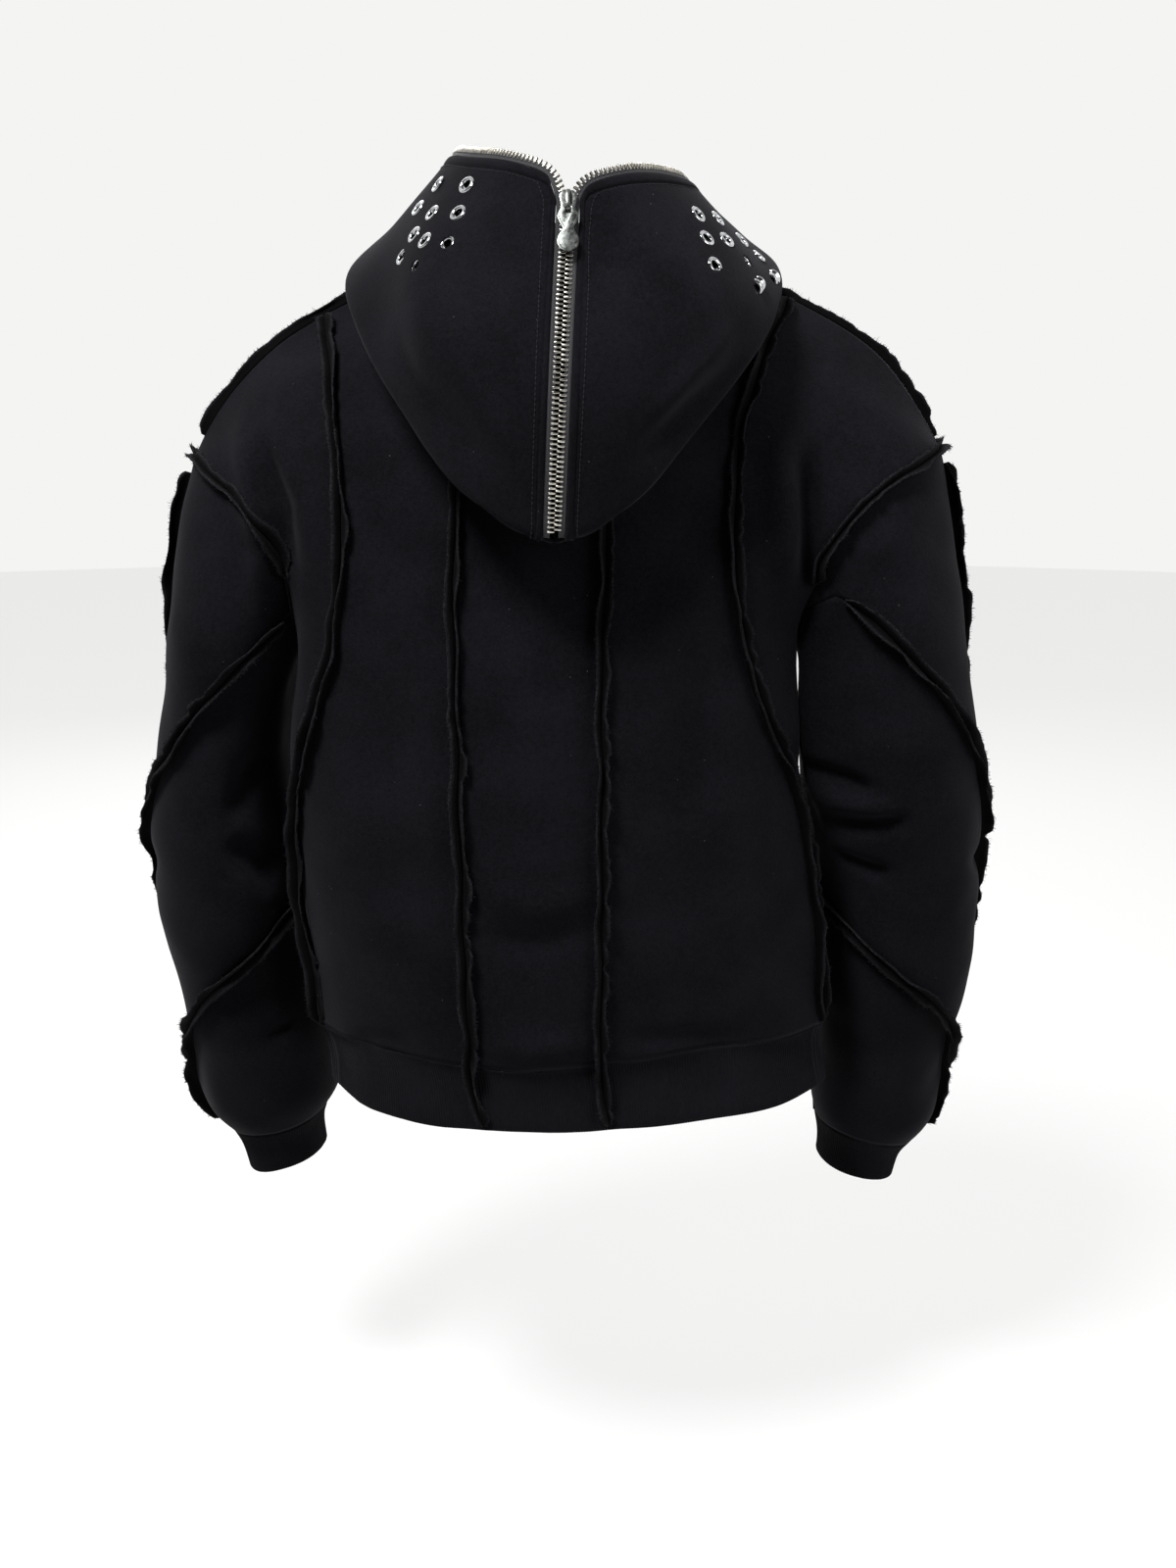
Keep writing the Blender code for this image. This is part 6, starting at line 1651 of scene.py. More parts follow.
# ------------------------------------------------------------------ topstitching
@dataclass
class Topstitch:
    """Line of stitches beside the zip, through both layers of the turned edge."""

    name: str
    inset: float = 8.0 * MM
    pitch: float = 3.4 * MM
    length: float = 2.7 * MM
    thick: float = 0.34 * MM

    def build(self, zip_half: ZipHalf, cloth: list[bpy.types.Object]) -> bpy.types.Object:
        """Stitches laid on the draped cloth along the zip.

        Args:
            zip_half: whose path they follow.
            cloth: draped pieces that they lie on.

        Returns:
            The stitches' object.
        """
        tree = cloth_tree(cloth)
        _, across, out = zip_half.ways
        line = zip_half.edge - across * self.inset + out * 2 * MM
        lengths = lengths_along(line)
        count = int(lengths[-1] / self.pitch)
        points, faces = [], []
        ring = np.linspace(0, 2 * math.pi, 6, endpoint=False)
        for spot in (np.arange(count) + 0.5) * self.pitch:
            ends = []
            for step in (-self.length / 2, 0.0, self.length / 2):
                place = np.array([np.interp(spot + step, lengths, line[:, axis]) for axis in range(3)])
                outward = np.array([np.interp(spot + step, lengths, out[:, axis]) for axis in range(3)])
                hit, normal, _, gap = tree.find_nearest(Vector(place))
                if hit is None or gap > 6 * MM:
                    break
                facing = np.array(normal)
                if facing @ outward < 0:
                    break
                lift = self.thick * (0.75 if step == 0 else -0.15)
                ends.append(np.array(hit) + facing * lift)
            if len(ends) < 3:
                continue
            way = unit(ends[2] - ends[0])
            beside = unit(np.cross(way, facing))
            up = np.cross(beside, way)
            first = len(points)
            sections = (
                (ends[0] - way * self.thick * 0.3, 0.35),
                (ends[0] * 0.75 + ends[1] * 0.25, 0.95),
                (ends[1], 1.05),
                (ends[2] * 0.75 + ends[1] * 0.25, 0.95),
                (ends[2] + way * self.thick * 0.3, 0.35),
            )
            for place, share in sections:
                for turn in ring:
                    way_out = beside * math.cos(turn) + up * math.sin(turn)
                    points.append(place + way_out * self.thick * share)
            faces.extend(grid_faces(len(sections), 6, first, closed=True))
            faces.append(tuple(range(first, first + 6)))
            faces.append(tuple(first + 4 * 6 + index for index in reversed(range(6))))
        made = make_piece(self.name, np.array(points), faces)
        made.data.materials.append(THREAD.make())
        seat(made, ())
        return made


def cloth_tree(pieces: list[bpy.types.Object]) -> BVHTree:
    """Search tree over several pieces of cloth."""
    points, faces = [], []
    for piece in pieces:
        first = len(points)
        points.extend(Vector(place) for place in mesh_points(piece))
        faces.extend(tuple(first + index for index in face.vertices) for face in piece.data.polygons)
    return BVHTree.FromPolygons(points, faces)


# ------------------------------------------------------------------ slider and pull
@dataclass
class SliderSet:
    """Zip slider with its bridge, and the lobed pull that hangs from it."""

    place: str  # front or hood
    origin: np.ndarray = field(default=None, repr=False)
    upward: np.ndarray = field(default=None, repr=False)
    outward: np.ndarray = field(default=None, repr=False)
    clear: float = 2.4 * MM
    plate: float = 1.2 * MM
    bridge_room: float = 2.9 * MM
    bridge_half: float = 7.4 * MM
    hangs_at: float = 4.8 * MM

    def find(self, frame: dict) -> None:
        """Takes the slider's middle and its ways from its solid and its pull's hinge."""
        joint = next(item for item in frame["joints"] if item["name"] == f"{self.place}_pull_hinge")
        hinge = np.array(joint["pos_m"], dtype=float)
        mesh = frame["nodes"][f"slider_{self.place}"].data
        values = np.empty(len(mesh.vertices) * 3)
        mesh.vertices.foreach_get("co", values)
        corners = np.unique(values.reshape(-1, 3).round(6), axis=0)
        middle = (corners.max(0) + corners.min(0)) / 2
        flat = corners[:, 1:] - corners[:, 1:].mean(0)
        _, _, ways = np.linalg.svd(flat, full_matrices=False)
        up = np.array([0.0, *ways[0]])
        if up[2] < 0:
            up = -up
        out = unit(np.cross(up, [1.0, 0.0, 0.0]))
        if out @ (hinge - middle) < 0:
            out = -out
        self.upward, self.outward = up, out
        self.origin = hinge + up * self.hangs_at - out * (self.clear + self.plate + self.bridge_room / 2)
        self.origin[0] = 0.0

    def seated(self, made: bpy.types.Object) -> None:
        """Turns a piece modelled flat, x across, y along and z out, to its place on the zip."""
        points = mesh_points(made)
        sideways = np.cross(self.upward, self.outward)
        set_points(
            made,
            self.origin + points[:, :1] * sideways + points[:, 1:2] * self.upward + points[:, 2:] * self.outward,
        )
        shape = bmesh.new()
        shape.from_mesh(made.data)
        bmesh.ops.recalc_face_normals(shape, faces=shape.faces)
        shape.to_mesh(made.data)
        shape.free()

    def build(self) -> None:
        """Models slider and pull and puts each on its body."""
        slider = self._slider()
        self.seated(slider)
        finish_metal(slider, 0.35 * MM, 2)
        slider.data.materials.append(GUNMETAL.make())
        seat(slider, (f"slider_{self.place}",))
        pull = self._pull()
        self.seated(pull)
        finish_metal(pull, 0.30 * MM, 2)
        pull.data.materials.append(GUNMETAL.make())
        seat(pull, (f"pull_{self.place}",), f"{self.place}_pull")

    def _slider(self) -> bpy.types.Object:
        """Two plates widening to the mouth, joined by the wedge, with a bridge on top."""
        parts = []
        for height in (self.clear + self.plate / 2, -self.clear - self.plate / 2):
            deselect()
            bpy.ops.mesh.primitive_cube_add(size=1.0, location=(0, -0.1 * MM, height))
            plate = bpy.context.object
            plate.scale = (9.4 * MM, 15.8 * MM, self.plate)
            bpy.ops.object.transform_apply(location=True, rotation=False, scale=True)
            bpy.ops.object.mode_set(mode="EDIT")
            bpy.ops.mesh.select_all(action="SELECT")
            bpy.ops.mesh.subdivide(number_cuts=5)
            bpy.ops.mesh.select_all(action="DESELECT")
            bpy.ops.object.mode_set(mode="OBJECT")
            points = mesh_points(plate)
            along = points[:, 1] / MM
            half = np.interp(along, [-8.0, -7.0, -1.0, 3.0, 6.6, 7.8], [3.6, 4.7, 4.9, 6.1, 5.8, 3.4])
            points[:, 0] *= half / 4.7
            set_points(plate, points)
            parts.append(plate)
        parts.append(block((0, 5.6 * MM, 0), (1.9 * MM, 3.4 * MM, 2 * self.clear + 0.6 * MM)))
        parts.append(self._bridge())
        return joined(parts, f"slider_body_{self.place}")

    def _bridge(self) -> bpy.types.Object:
        """Strap of the bridge: a flat bar bent down to the plate at both ends, thicker in its middle."""
        foot = self.clear + self.plate * 0.4
        top = self.clear + self.plate + self.bridge_room
        tall, bar = self.bridge_half, 1.25 * MM
        run = [(-tall, foot), (-tall, top - 0.6 * MM), (-tall + 1.1 * MM, top + 0.35 * MM)]
        line = run + [(-2.4 * MM, top + 0.62 * MM)] + [(-along, height) for along, height in reversed(run)]
        line[4:4] = [(2.4 * MM, top + 0.62 * MM)]
        outer = np.array(line)
        inner = outer.copy()
        inner[:, 0] = np.sign(outer[:, 0]) * np.minimum(np.abs(outer[:, 0]), tall - bar)
        inner[1:-1, 1] = np.minimum(outer[1:-1, 1] - bar, top - 0.1 * MM)
        rows = []
        for across in (-1.35, 1.35):
            loop = np.concatenate([outer, inner[::-1]])
            rows.append(np.column_stack([np.full(len(loop), across * MM), loop]))
        points = np.concatenate(rows)
        count = len(outer) * 2
        faces = grid_faces(2, count, 0, closed=True)
        half = len(outer)
        for first in (0, count):
            for index in range(half - 1):
                corners = (index, index + 1, count - 2 - index, count - 1 - index)
                faces.append(tuple(first + corner for corner in corners))
        return make_piece(f"bridge_{self.place}", points, faces)

    def _pull(self) -> bpy.types.Object:
        """Pull of one casting: eye, pointed lobe, waist and round disc with a plain raised ring."""
        level = self.clear + self.plate + self.bridge_room / 2
        outline = (
            (3.4, -1.0), (4.5, -0.4), (5.2, 2.5), (7.4, 7.4), (5.6, 12.0), (3.0, 16.4),
            (5.0, 19.0), (7.0, 22.8), (7.2, 27.0), (5.4, 30.6), (2.0, 32.6),
        )
        half = [(across * MM, -down * MM - self.hangs_at) for across, down in outline]
        ring = np.array(half + [(-across, down) for across, down in reversed(half)])
        ring = np.concatenate([ring, ring[:1]])
        lengths = lengths_along(ring)
        count = 72
        places = np.linspace(0, lengths[-1], count, endpoint=False)
        ring = np.stack([np.interp(places, lengths, ring[:, axis]) for axis in range(2)], axis=1)
        wrapped = np.concatenate([ring[-8:], ring, ring[:8]])
        ring = softened(wrapped, 0.9)[8:-8]
        deselect()
        bpy.ops.mesh.primitive_circle_add(vertices=count, radius=MM, fill_type="NGON", location=(0, 0, 0))
        pull = bpy.context.object
        places = np.concatenate([ring, np.full((count, 1), level - 0.85 * MM)], axis=1)
        set_points(pull, places)
        bpy.ops.object.mode_set(mode="EDIT")
        bpy.ops.mesh.select_all(action="SELECT")
        bpy.ops.mesh.extrude_region_move(TRANSFORM_OT_translate={"value": (0, 0, 1.7 * MM)})
        bpy.ops.mesh.select_all(action="DESELECT")
        bpy.ops.object.mode_set(mode="OBJECT")
        deselect()
        pull.select_set(True)
        bpy.context.view_layer.objects.active = pull
        top = max(range(len(pull.data.polygons)), key=lambda index: pull.data.polygons[index].center.z)
        pull.data.polygons[top].select = True
        bpy.ops.object.mode_set(mode="EDIT")
        bpy.ops.mesh.select_mode(type="FACE")
        bpy.ops.mesh.inset(thickness=1.0 * MM, depth=0)
        bpy.ops.mesh.inset(thickness=0.35 * MM, depth=-0.45 * MM)
        bpy.ops.mesh.select_all(action="DESELECT")
        bpy.ops.object.mode_set(mode="OBJECT")
        cutter = block((0, -3.2 * MM - self.hangs_at, level), (4.2 * MM, 4.6 * MM, 6 * MM))
        cut = pull.modifiers.new("eye", "BOOLEAN")
        cut.object, cut.operation, cut.solver = cutter, "DIFFERENCE", "EXACT"
        apply_modifiers(pull)
        bpy.data.objects.remove(cutter, do_unlink=True)
        parts = [pull]
        for radius, thick, spot in ((3.6, 0.75, -25.3), (1.9, 0.7, -9.6)):
            deselect()
            bpy.ops.mesh.primitive_torus_add(
                location=(0, spot * MM - self.hangs_at, level + 0.55 * MM),
                major_radius=radius * MM,
                minor_radius=thick * MM,
                major_segments=40,
                minor_segments=10,
            )
            parts.append(bpy.context.object)
            bpy.ops.object.transform_apply(location=True, rotation=True, scale=True)
        return joined(parts, f"pull_tab_{self.place}")


def block(middle: tuple[float, float, float], size: tuple[float, float, float]) -> bpy.types.Object:
    """Square-edged block."""
    deselect()
    bpy.ops.mesh.primitive_cube_add(size=1.0, location=middle)
    made = bpy.context.object
    made.scale = size
    bpy.ops.object.transform_apply(location=True, rotation=False, scale=True)
    return made


def joined(parts: list[bpy.types.Object], name: str) -> bpy.types.Object:
    """Several parts as one object at the origin."""
    deselect()
    for part in parts:
        part.select_set(True)
    bpy.context.view_layer.objects.active = parts[0]
    bpy.ops.object.join()
    made = bpy.context.object
    bpy.ops.object.transform_apply(location=True, rotation=True, scale=True)
    made.name = name
    made.data.name = name
    return made


def finish_metal(made: bpy.types.Object, edge: float, segments: int) -> None:
    """Rounds a casting's edges and shades it smooth."""
    rounding = made.modifiers.new("edges", "BEVEL")
    rounding.width, rounding.segments, rounding.limit_method = edge, segments, "ANGLE"
    rounding.angle_limit = math.radians(40)
    apply_modifiers(made)
    deselect()
    made.select_set(True)
    bpy.context.view_layer.objects.active = made
    bpy.ops.object.shade_smooth_by_angle(angle=math.radians(35))


# ------------------------------------------------------------------ floor, camera and light
@dataclass(frozen=True)
class Studio:
    """Plain pale floor, soft light and the camera."""

    floor_height: float = -1.02
    floor_radius: float = 9.0
    camera_place: tuple[float, float, float] = (-0.013, 1.26, -0.11)
    camera_down: float = 13.1  # degrees under the level
    lens: float = 36.225
    sky_pale: str = "#f4f4f3"
    sky_dim: str = "#4a4a4c"

    def build(self) -> None:
        """Sets up floor, camera and lights."""
        deselect()
        bpy.ops.mesh.primitive_circle_add(
            vertices=64, radius=self.floor_radius, fill_type="NGON", location=(0, 0, self.floor_height)
        )
        floor = bpy.context.object
        floor.name = "floor"
        paint = bpy.data.materials.new("matt white paint")
        paint.use_nodes = True
        shader = paint.node_tree.nodes["Principled BSDF"]
        shader.inputs["Base Color"].default_value = linear("#8c8c8c")
        shader.inputs["Roughness"].default_value = 0.9
        shader.inputs["Emission Color"].default_value = linear("#f2f2f1")
        shader.inputs["Emission Strength"].default_value = 0.72
        floor.data.materials.append(paint)
        floor.visible_diffuse = False
        world = bpy.data.worlds.new("studio")
        world.use_nodes = True
        sky = world.node_tree
        way = add_node(sky, "ShaderNodeTexCoord").outputs["Generated"]
        parts = add_node(sky, "ShaderNodeSeparateXYZ", None, {"Vector": way})
        share = add_node(
            sky, "ShaderNodeMapRange", {"From Min": -0.35, "From Max": 0.45}, {"Value": parts.outputs["Y"]}
        )
        ramp = set_ramp(
            add_node(sky, "ShaderNodeValToRGB", None, {"Fac": share.outputs["Result"]}),
            [(0.0, self.sky_pale), (1.0, self.sky_dim)],
        )
        background = sky.nodes["Background"]
        sky.links.new(ramp.outputs["Color"], background.inputs["Color"])
        background.inputs["Strength"].default_value = 1.0
        bpy.context.scene.world = world
        self._light("key", (1.1, 1.5, 2.3), (0.0, 0.1, -0.3), 0.9, 122)
        self._light("fill", (-2.2, 1.8, 0.7), (0.0, 0.1, -0.3), 2.0, 32)
        self._light("front", (0.4, -2.6, 1.2), (0.0, 0.0, -0.25), 2.4, 45)
        data = bpy.data.cameras.new("camera")
        data.lens = self.lens
        camera = bpy.data.objects.new("camera", data)
        bpy.context.scene.collection.objects.link(camera)
        camera.location = self.camera_place
        camera.rotation_euler = (math.radians(90 - self.camera_down), 0, math.pi)
        bpy.context.scene.camera = camera
        bpy.context.scene.view_settings.view_transform = "Standard"

    @staticmethod
    def _light(
        name: str,
        place: tuple[float, float, float],
        aim: tuple[float, float, float],
        size: float,
        power: float,
    ) -> None:
        """Adds one large soft light."""
        data = bpy.data.lights.new(name, "AREA")
        data.shape = "DISK"
        data.size = size
        data.energy = power
        light = bpy.data.objects.new(name, data)
        bpy.context.scene.collection.objects.link(light)
        light.location = place
        light.rotation_euler = (Vector(aim) - Vector(place)).to_track_quat("-Z", "Y").to_euler()


# ------------------------------------------------------------------ the garment
CREASES = (  # points along it, half width and height in mm, and the way it lifts the cloth
    # right sleeve, back: three troughs under a ridge at the elbow
    (((-0.188, 0.036, -0.372), (-0.217, 0.066, -0.388), (-0.244, 0.077, -0.399)), 6, -7.9, (0.5, 0.83, -0.2)),
    (((-0.197, 0.036, -0.399), (-0.227, 0.067, -0.405), (-0.262, 0.078, -0.405)), 6, 6.1, (0.45, 0.87, -0.2)),
    (((-0.202, 0.037, -0.425), (-0.235, 0.068, -0.421), (-0.27, 0.075, -0.412)),
     5.5, -7.9, (0.45, 0.87, -0.2)),
    (((-0.207, 0.03, -0.451), (-0.231, 0.052, -0.459), (-0.258, 0.063, -0.465)), 5.5, -7, (0.5, 0.8, -0.3)),
    # left sleeve, back
    (((0.24, 0.05, -0.36), (0.251, 0.059, -0.389), (0.267, 0.066, -0.427)), 8, -7.9, (-0.6, 0.75, -0.1)),
    (((0.268, 0.066, -0.432), (0.25, 0.052, -0.455), (0.237, 0.035, -0.477)), 6.5, -7.9, (-0.65, 0.72, 0)),
    (((0.272, 0.06, -0.46), (0.258, 0.05, -0.482), (0.24, 0.03, -0.5)), 7, 5.2, (-0.6, 0.75, 0)),
    (((0.258, 0.034, -0.62), (0.241, 0.021, -0.611), (0.229, 0.008, -0.609)), 5, -6.1, (-0.7, 0.71, 0)),
    # dropped shoulders, back: a fold falls from each towards the underarm
    (((0.258, 0.03, -0.105), (0.238, 0.067, -0.149), (0.228, 0.09, -0.204), (0.23, 0.075, -0.262)),
     8, 11, (0.2, 0.95, 0)),
    (((0.234, 0.057, -0.12), (0.212, 0.086, -0.176), (0.209, 0.086, -0.236)), 7, -14, (0.2, 0.95, 0)),
    (((-0.172, 0.078, -0.131), (-0.177, 0.085, -0.176), (-0.178, 0.073, -0.24)), 6.5, -14.5, (-0.2, 0.95, 0)),
    (((-0.154, 0.081, -0.122), (-0.158, 0.088, -0.176), (-0.158, 0.08, -0.24)), 8, 10, (-0.2, 0.95, 0)),
    # back: long shallow folds, and the fullness over the rib
    (((-0.088, 0.128, -0.26), (-0.084, 0.13, -0.4), (-0.088, 0.124, -0.54)), 17, -6.8, (-0.25, 0.97, 0)),
    (((0.128, 0.125, -0.24), (0.13, 0.128, -0.38), (0.12, 0.124, -0.54)), 16, -6, (0.35, 0.93, 0)),
    (((0.03, 0.142, -0.24), (0.026, 0.148, -0.36), (0.034, 0.15, -0.5)), 20, 3.8, (0, 1, 0)),
    (((0.068, 0.15, -0.446), (0.024, 0.152, -0.462), (-0.022, 0.15, -0.45)), 7, 3.9, (0, 1, 0)),
    (((0.07, 0.15, -0.478), (0.03, 0.152, -0.492), (-0.02, 0.15, -0.48)), 7, -4.2, (0, 1, 0)),
    (((0.072, 0.144, -0.57), (0.031, 0.148, -0.574), (-0.016, 0.143, -0.57)), 8, 6, (0, 1, -0.1)),
    (((-0.03, 0.146, -0.57), (-0.088, 0.121, -0.575), (-0.138, 0.098, -0.584)), 7, -5.2, (-0.3, 0.94, 0)),
    (((0.18, 0.088, -0.59), (0.15, 0.114, -0.58), (0.11, 0.13, -0.577)), 7, -5.2, (0.45, 0.88, 0)),
    # hood: bands along its lower outline and a dimple beside the zip
    (((-0.115, 0.141, -0.044), (-0.082, 0.171, -0.081), (-0.05, 0.188, -0.115)), 7, 4.9, (-0.62, 0.78, 0)),
    (((-0.124, 0.13, -0.066), (-0.08, 0.17, -0.105), (-0.036, 0.19, -0.144)), 6, -5.2, (-0.6, 0.78, -0.1)),
    (((-0.027, 0.16, 0.02), (-0.028, 0.181, -0.026)), 9, -4.5, (-0.2, 0.9, 0.4)),
    (((0.121, 0.135, -0.048), (0.085, 0.177, -0.107), (0.046, 0.192, -0.145)), 7, -4.5, (0.62, 0.78, 0)),
    (((0.106, 0.148, -0.029), (0.064, 0.188, -0.094), (0.032, 0.197, -0.138)), 8, 4.2, (0.5, 0.85, 0)),
    # fullness that closes the sleeve to the body
    (((-0.196, 0.060, -0.225), (-0.200, 0.052, -0.270), (-0.203, 0.045, -0.330), (-0.209, 0.043, -0.440)),
     13, 22, (1, 0.1, 0)),
    (((-0.160, 0.060, -0.235), (-0.164, 0.055, -0.290), (-0.168, 0.050, -0.330), (-0.172, 0.045, -0.400)),
     8, 7, (-1, 0.1, 0)),
    # sleeves, front and outer side
    (((-0.205, -0.059, -0.425), (-0.235, -0.088, -0.421), (-0.268, -0.095, -0.414)),
     6, -7, (0.45, -0.87, -0.2)),
    (((-0.209, -0.066, -0.451), (-0.232, -0.087, -0.459), (-0.256, -0.097, -0.464)),
     6, -6.3, (0.4, -0.9, -0.2)),
    (((0.24, -0.064, -0.36), (0.251, -0.078, -0.389), (0.267, -0.09, -0.427)), 8, -7.7, (-0.5, -0.85, -0.1)),
    (((0.266, -0.092, -0.436), (0.25, -0.085, -0.455), (0.237, -0.07, -0.477)), 7, -7.4, (-0.55, -0.83, 0)),
    (((0.322, 0.04, -0.455), (0.345, 0, -0.466), (0.338, -0.05, -0.458)), 7, -5.6, (1, 0, 0)),
    (((-0.314, 0.045, -0.455), (-0.336, 0, -0.468), (-0.328, -0.055, -0.46)), 7, -5.6, (-1, 0, 0)),
    # front: folds from the shoulders and down the panels
    (((0.205, -0.072, -0.125), (0.205, -0.09, -0.18), (0.208, -0.086, -0.238)), 8, -9.6, (0.2, -0.95, 0)),
    (((-0.2, -0.072, -0.125), (-0.2, -0.09, -0.18), (-0.2, -0.086, -0.238)), 8, -9.6, (-0.2, -0.95, 0)),
    (((0.092, -0.13, -0.24), (0.098, -0.132, -0.39), (0.09, -0.128, -0.54)), 17, -6, (0.25, -0.97, 0)),
    (((-0.096, -0.13, -0.24), (-0.09, -0.132, -0.39), (-0.096, -0.128, -0.54)), 17, -6, (-0.25, -0.97, 0)),
    (((0.15, -0.115, -0.572), (0.09, -0.128, -0.578), (0.03, -0.134, -0.572)), 8, 5.2, (0.2, -0.97, 0)),
    (((-0.15, -0.115, -0.572), (-0.09, -0.128, -0.578), (-0.03, -0.134, -0.572)), 8, 5.2, (-0.2, -0.97, 0)),
)
DRAPE = Drape(
    creases=tuple(Crease(points, width * MM, height * MM, way) for points, width, height, way in CREASES)
)
PANEL_CUTS = {  # width, length and area of each piece as it is cut, lying flat
    "back_centre": (0.130, 0.62, 0.0640),
    "back_left": (0.160, 0.62, 0.0800),
    "back_right": (0.165, 0.62, 0.0860),
    "side_left": (0.150, 0.52, 0.0440),
    "side_right": (0.150, 0.55, 0.0500),
    "front_left": (0.320, 0.64, 0.1600),
    "front_right": (0.310, 0.64, 0.1500),
    "sleeve_left_first": (0.290, 0.64, 0.1120),
    "sleeve_left_second": (0.290, 0.64, 0.1130),
    "sleeve_right_first": (0.290, 0.64, 0.1130),
    "sleeve_right_second": (0.310, 0.65, 0.1310),
}
EYELETS_A_SIDE = 10
ZIP_EDGE_REACH = 1.2 * MM  # how far from the zip a front's edge is looked for
RIB_EDGE_REACH = 1.5 * MM  # and the hem rib's
RIB_STATIONS = 8  # stations of the zip beside the hem rib
SEAM_REACH = 20 * MM  # a sleeve seam's mean distance from the corners of its own CAD raw edge
RAW_SIZES = {  # each kind of seam: its plies' width, how far they part, and what its two ends are cut back by
    "vertical": dict(width=9.5 * MM, splay=0.60, trims=(1 * MM, 70 * MM)),
    "curved": dict(width=10 * MM, splay=0.62, trims=(1 * MM, 6 * MM)),
    "shoulder": dict(width=7 * MM, splay=0.46, trims=(6 * MM, 4 * MM)),
    "armhole": dict(width=8.5 * MM, splay=0.58, trims=(10 * MM, 70 * MM)),
    "outer": dict(width=10 * MM, splay=0.58, trims=(8 * MM, 5 * MM)),
    "under": dict(width=10 * MM, splay=0.58, trims=(4 * MM, 5 * MM)),
}


class Hoodie:
    """The whole garment: panels, ribs, hood, raw seams, zip, eyelets and sliders."""

    def __init__(self, frame: dict) -> None:
        """Keeps the frame and works out the tubes' middles."""
        self.frame = frame
        self.torso = np.array([(-0.7, 0.01, 0.005), (0.05, 0.01, 0.005)])
        self.sleeves = {
            side: middles_by_height(
                frame,
                (f"sleeve_{side.word}_first", f"sleeve_{side.word}_second", f"cuff_{side.word}"),
            )
            for side in Side
        }
        self.panels: dict[str, ClothPanel] = {}
        self.ribs: dict[str, RibBand] = {}

    def build_panels(self) -> None:
        """Makes every cloth panel."""
        names = ["back_centre", "back_left", "back_right", "side_left", "side_right", "front_left", "front_right"]
        for name in names:
            self.panels[name] = ClothPanel(name, self.torso, levels=2 if name.startswith("front") else 3)
        for side in Side:
            for part in ("first", "second"):
                name = f"sleeve_{side.word}_{part}"
                self.panels[name] = ClothPanel(name, self.sleeves[side])
        for name, panel in self.panels.items():
            panel.build(self.frame)
            width, length, panel.area = PANEL_CUTS[name]
            panel.flat = (width, length)

    def build_ribs(self) -> None:
        """Makes the hem and cuff ribs."""
        self.ribs = {
            "hem_rib_back": RibBand("hem_rib_back", self.torso, flat=(0.13, 0.055)),
            "hem_rib_left": RibBand("hem_rib_left", self.torso, flat=(0.49, 0.055)),
            "hem_rib_right": RibBand("hem_rib_right", self.torso, flat=(0.49, 0.055)),
        }
        for side in Side:
            node = f"cuff_{side.word}"
            self.ribs[node] = RibBand(node, self.sleeves[side], flat=(0.28, 0.045))
        for band in self.ribs.values():
            band.build(self.frame)

    def build_seams(self) -> None:
        """Makes the raw edges on the seams between the panels."""
        cloth = cloth_tree([panel.made for panel in self.panels.values()])
        get = self.panels
        for number, side in enumerate(Side):
            word = side.word
            first, second = get[f"sleeve_{word}_first"], get[f"sleeve_{word}_second"]
            body, front = get[f"side_{word}"], get[f"front_{word}"]
            hem = self.ribs["hem_rib_back"].side_line(side)
            back_arm = sewn_lines(body, [first, second], reach=3.2 * MM)[0]
            front_arm = sewn_lines(front, [first, second], reach=3.2 * MM)[0]
            lines = {
                "vertical": hem.joined_to(sewn_lines(get[f"back_{word}"], [get["back_centre"]])[0]),
                "curved": sewn_lines(body, [get[f"back_{word}"]])[0],
                "shoulder": self._shoulder(front, [body, get[f"back_{word}"]]),
                "armhole": back_arm.joined_to(front_arm.turned()).raised(cloth),
            }
            runs = sorted(sewn_lines(first, [second]), key=lambda run: -run.points[:, 2].max())
            for kind in ("outer", "under"):
                own = [run.turned() for run in runs if self._gap(run, f"raw_edge_{kind}_{word}") < SEAM_REACH]
                lines[kind] = own[0]
                for run in own[1:]:
                    lines[kind] = lines[kind].joined_to(run)
            for kind, line in lines.items():
                self._raw(kind, side, line, cloth, number)

    @staticmethod
    def _shoulder(front: ClothPanel, behind: list[ClothPanel]) -> SeamLine:
        """The shoulder seam from the neck outwards: the highest stretch between front and back."""
        runs = sewn_lines(front, behind)
        line = max(runs, key=lambda run: run.points[:, 2].max())
        top = line.points[:, 2] > line.points[:, 2].max() - 0.13
        line = SeamLine(line.points[top], line.normals[top])
        return line if abs(line.points[0, 0]) < abs(line.points[-1, 0]) else line.turned()

    def _gap(self, line: SeamLine, node: str) -> float:
        """Mean distance of a line from a node's corners."""
        values = np.empty(len(self.frame["nodes"][node].data.vertices) * 3)
        self.frame["nodes"][node].data.vertices.foreach_get("co", values)
        corners = values.reshape(-1, 3)
        return float(np.mean([np.linalg.norm(corners - place, axis=1).min() for place in line.points[::6]]))

    def _raw(self, kind: str, side: Side, line: SeamLine, cloth: BVHTree, number: int) -> None:
        """Makes one raw edge along its seam."""
        node = f"raw_edge_{kind}_{side.word}"
        LOG.info("%s: %d stations, %.3f m", node, len(line.points), lengths_along(line.points)[-1])
        seam = RawSeam(node, seed=number * 10 + len(kind), phase=1.7 * number + len(kind), **RAW_SIZES[kind])
        made = seam.build(line, cloth)
        DRAPE.settle(made)
        made.data.materials.append(SHADED_RAW_FLEECE.make())
        seat(made, (node,))

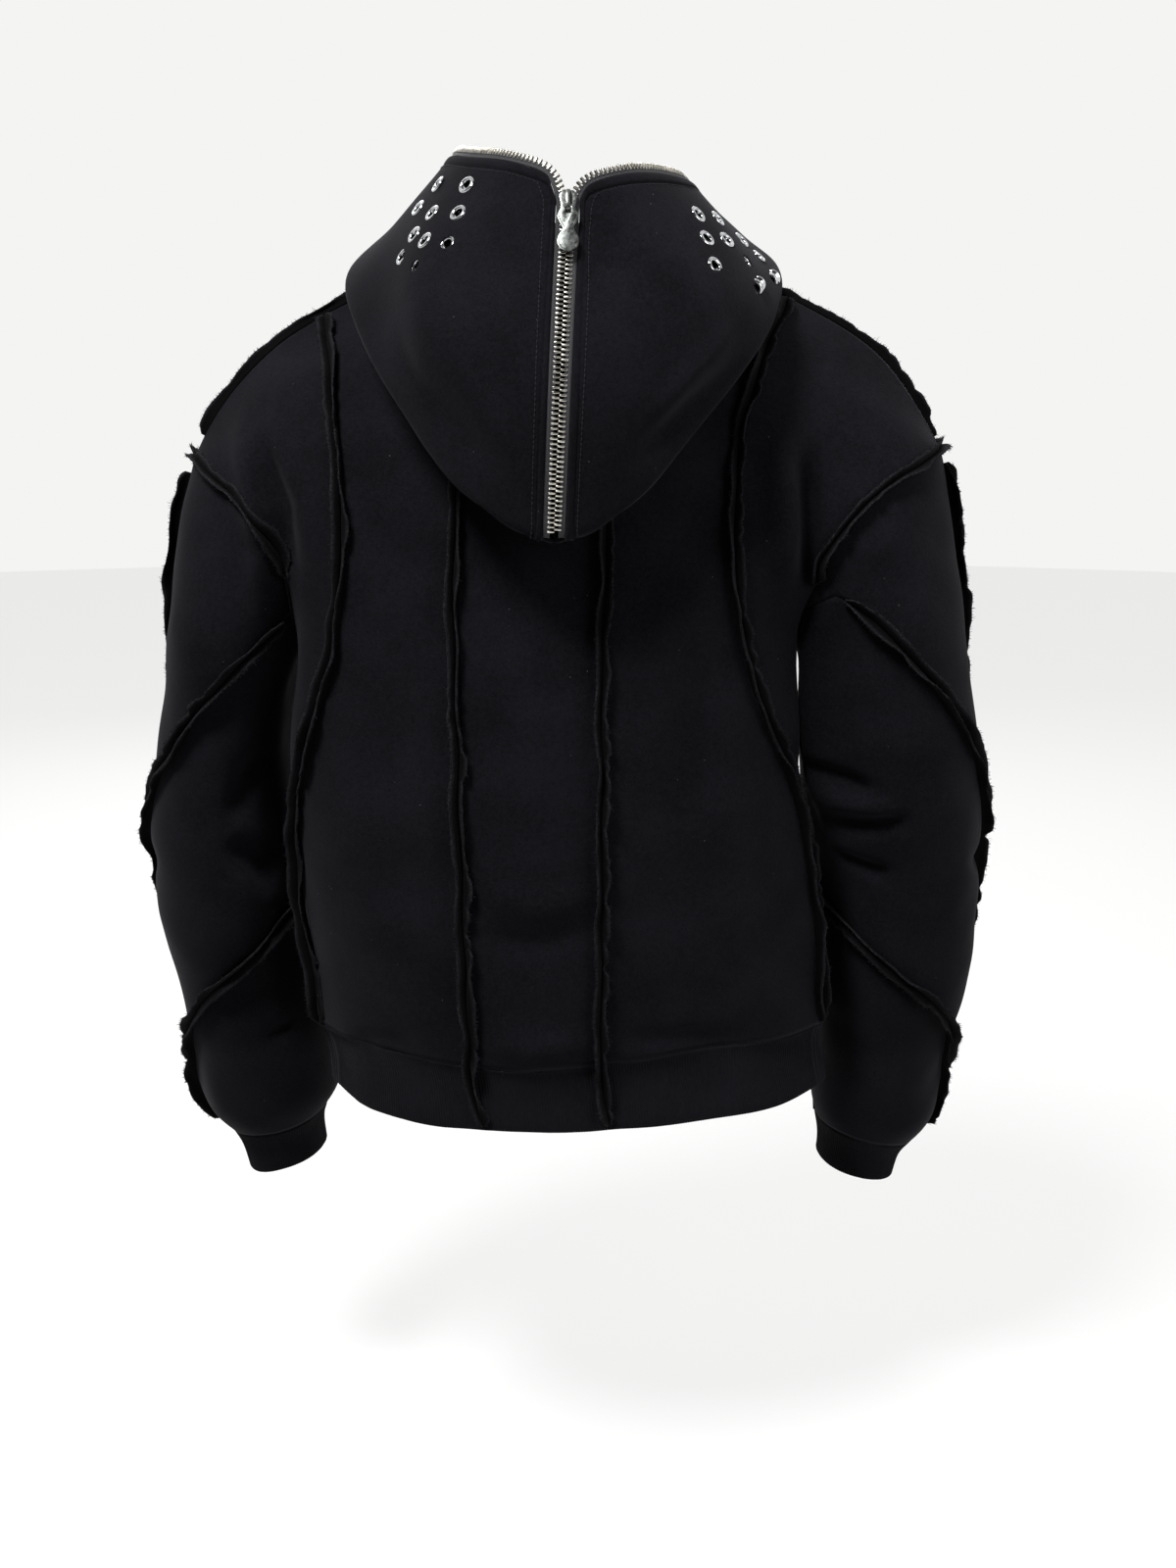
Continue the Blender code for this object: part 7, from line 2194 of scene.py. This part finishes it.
    def build_hood_and_zip(self) -> None:
        """Makes each hood half with its eyelets, then its half of the zip, the front beside it and the stitches."""
        names = {side: [f"eyelet_{side.word}_{number}" for number in range(1, EYELETS_A_SIDE + 1)] for side in Side}
        pattern = eyelet_pattern()
        tooth = tooth_pattern()
        for side in Side:
            hood = HoodHalf(side)
            hood.build()
            rings = [EyeletRing(name) for name in names[side]]
            for ring in rings:
                ring.find(self.frame)
                ring.build(pattern, DRAPE)
            hood.pierce(rings)
            hood.dress(DRAPE)
            half = self._zip_half(side, hood)
            half.lay()
            half.dress(half.build_tape(), half.build_teeth(tooth), DRAPE)
            front = self.panels[f"front_{side.word}"]
            front.dress(DRAPE)
            Topstitch(f"topstitch_{side.word}").build(half, [hood.made, front.made])
        bpy.data.objects.remove(tooth, do_unlink=True)

    def _zip_half(self, side: Side, hood: HoodHalf) -> ZipHalf:
        """Half of the zip on its whole path: up the hem rib and the front, then round the hood."""
        points, normals, met = hood.zip_path()
        front = self.panels[f"front_{side.word}"]
        beside = np.abs(np.abs(front.border[:, 0]) - ZIP_HALF_GAP) < ZIP_EDGE_REACH
        near = beside & (front.border[:, 1] < 0)
        order = np.argsort(front.border[near][:, 2])
        edge = front.border[near][order]
        edge_normals = front.border_normals[near][order]
        edge = edge - edge_normals * FLEECE_WALL / 2
        edge_normals = edge_normals * np.array([0.0, 1.0, 1.0])
        low = mesh_points(self.ribs[f"hem_rib_{side.word}"].made)
        low = low[(np.abs(np.abs(low[:, 0]) - ZIP_HALF_GAP) < RIB_EDGE_REACH) & (low[:, 1] < 0)]
        heights = np.linspace(low[:, 2].min() + 2 * MM, low[:, 2].max() - 3 * MM, RIB_STATIONS)
        below = np.array([
            [side.value * ZIP_HALF_GAP, np.mean(low[np.abs(low[:, 2] - height) < 6 * MM][:, 1]), height]
            for height in heights
        ])
        return ZipHalf(
            side,
            np.concatenate([below, edge, points]),
            np.concatenate([np.tile([0.0, -1.0, 0.0], (RIB_STATIONS, 1)), unit(edge_normals), normals]),
            np.concatenate([np.ones(RIB_STATIONS + len(edge)), met]),
        )


def main() -> None:
    """Builds the garment in its frame, piece by piece."""
    logging.basicConfig(level=logging.INFO, format="%(message)s")
    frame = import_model()
    Studio().build()
    hoodie = Hoodie(frame)
    hoodie.build_panels()
    hoodie.build_ribs()
    hoodie.build_seams()
    for band in hoodie.ribs.values():
        band.dress(DRAPE)
    hoodie.build_hood_and_zip()
    for name, panel in hoodie.panels.items():
        if not name.startswith("front"):
            panel.dress(DRAPE)
    for place in ("front", "hood"):
        slider = SliderSet(place)
        slider.find(frame)
        slider.build()


if __name__ == "__main__":
    main()
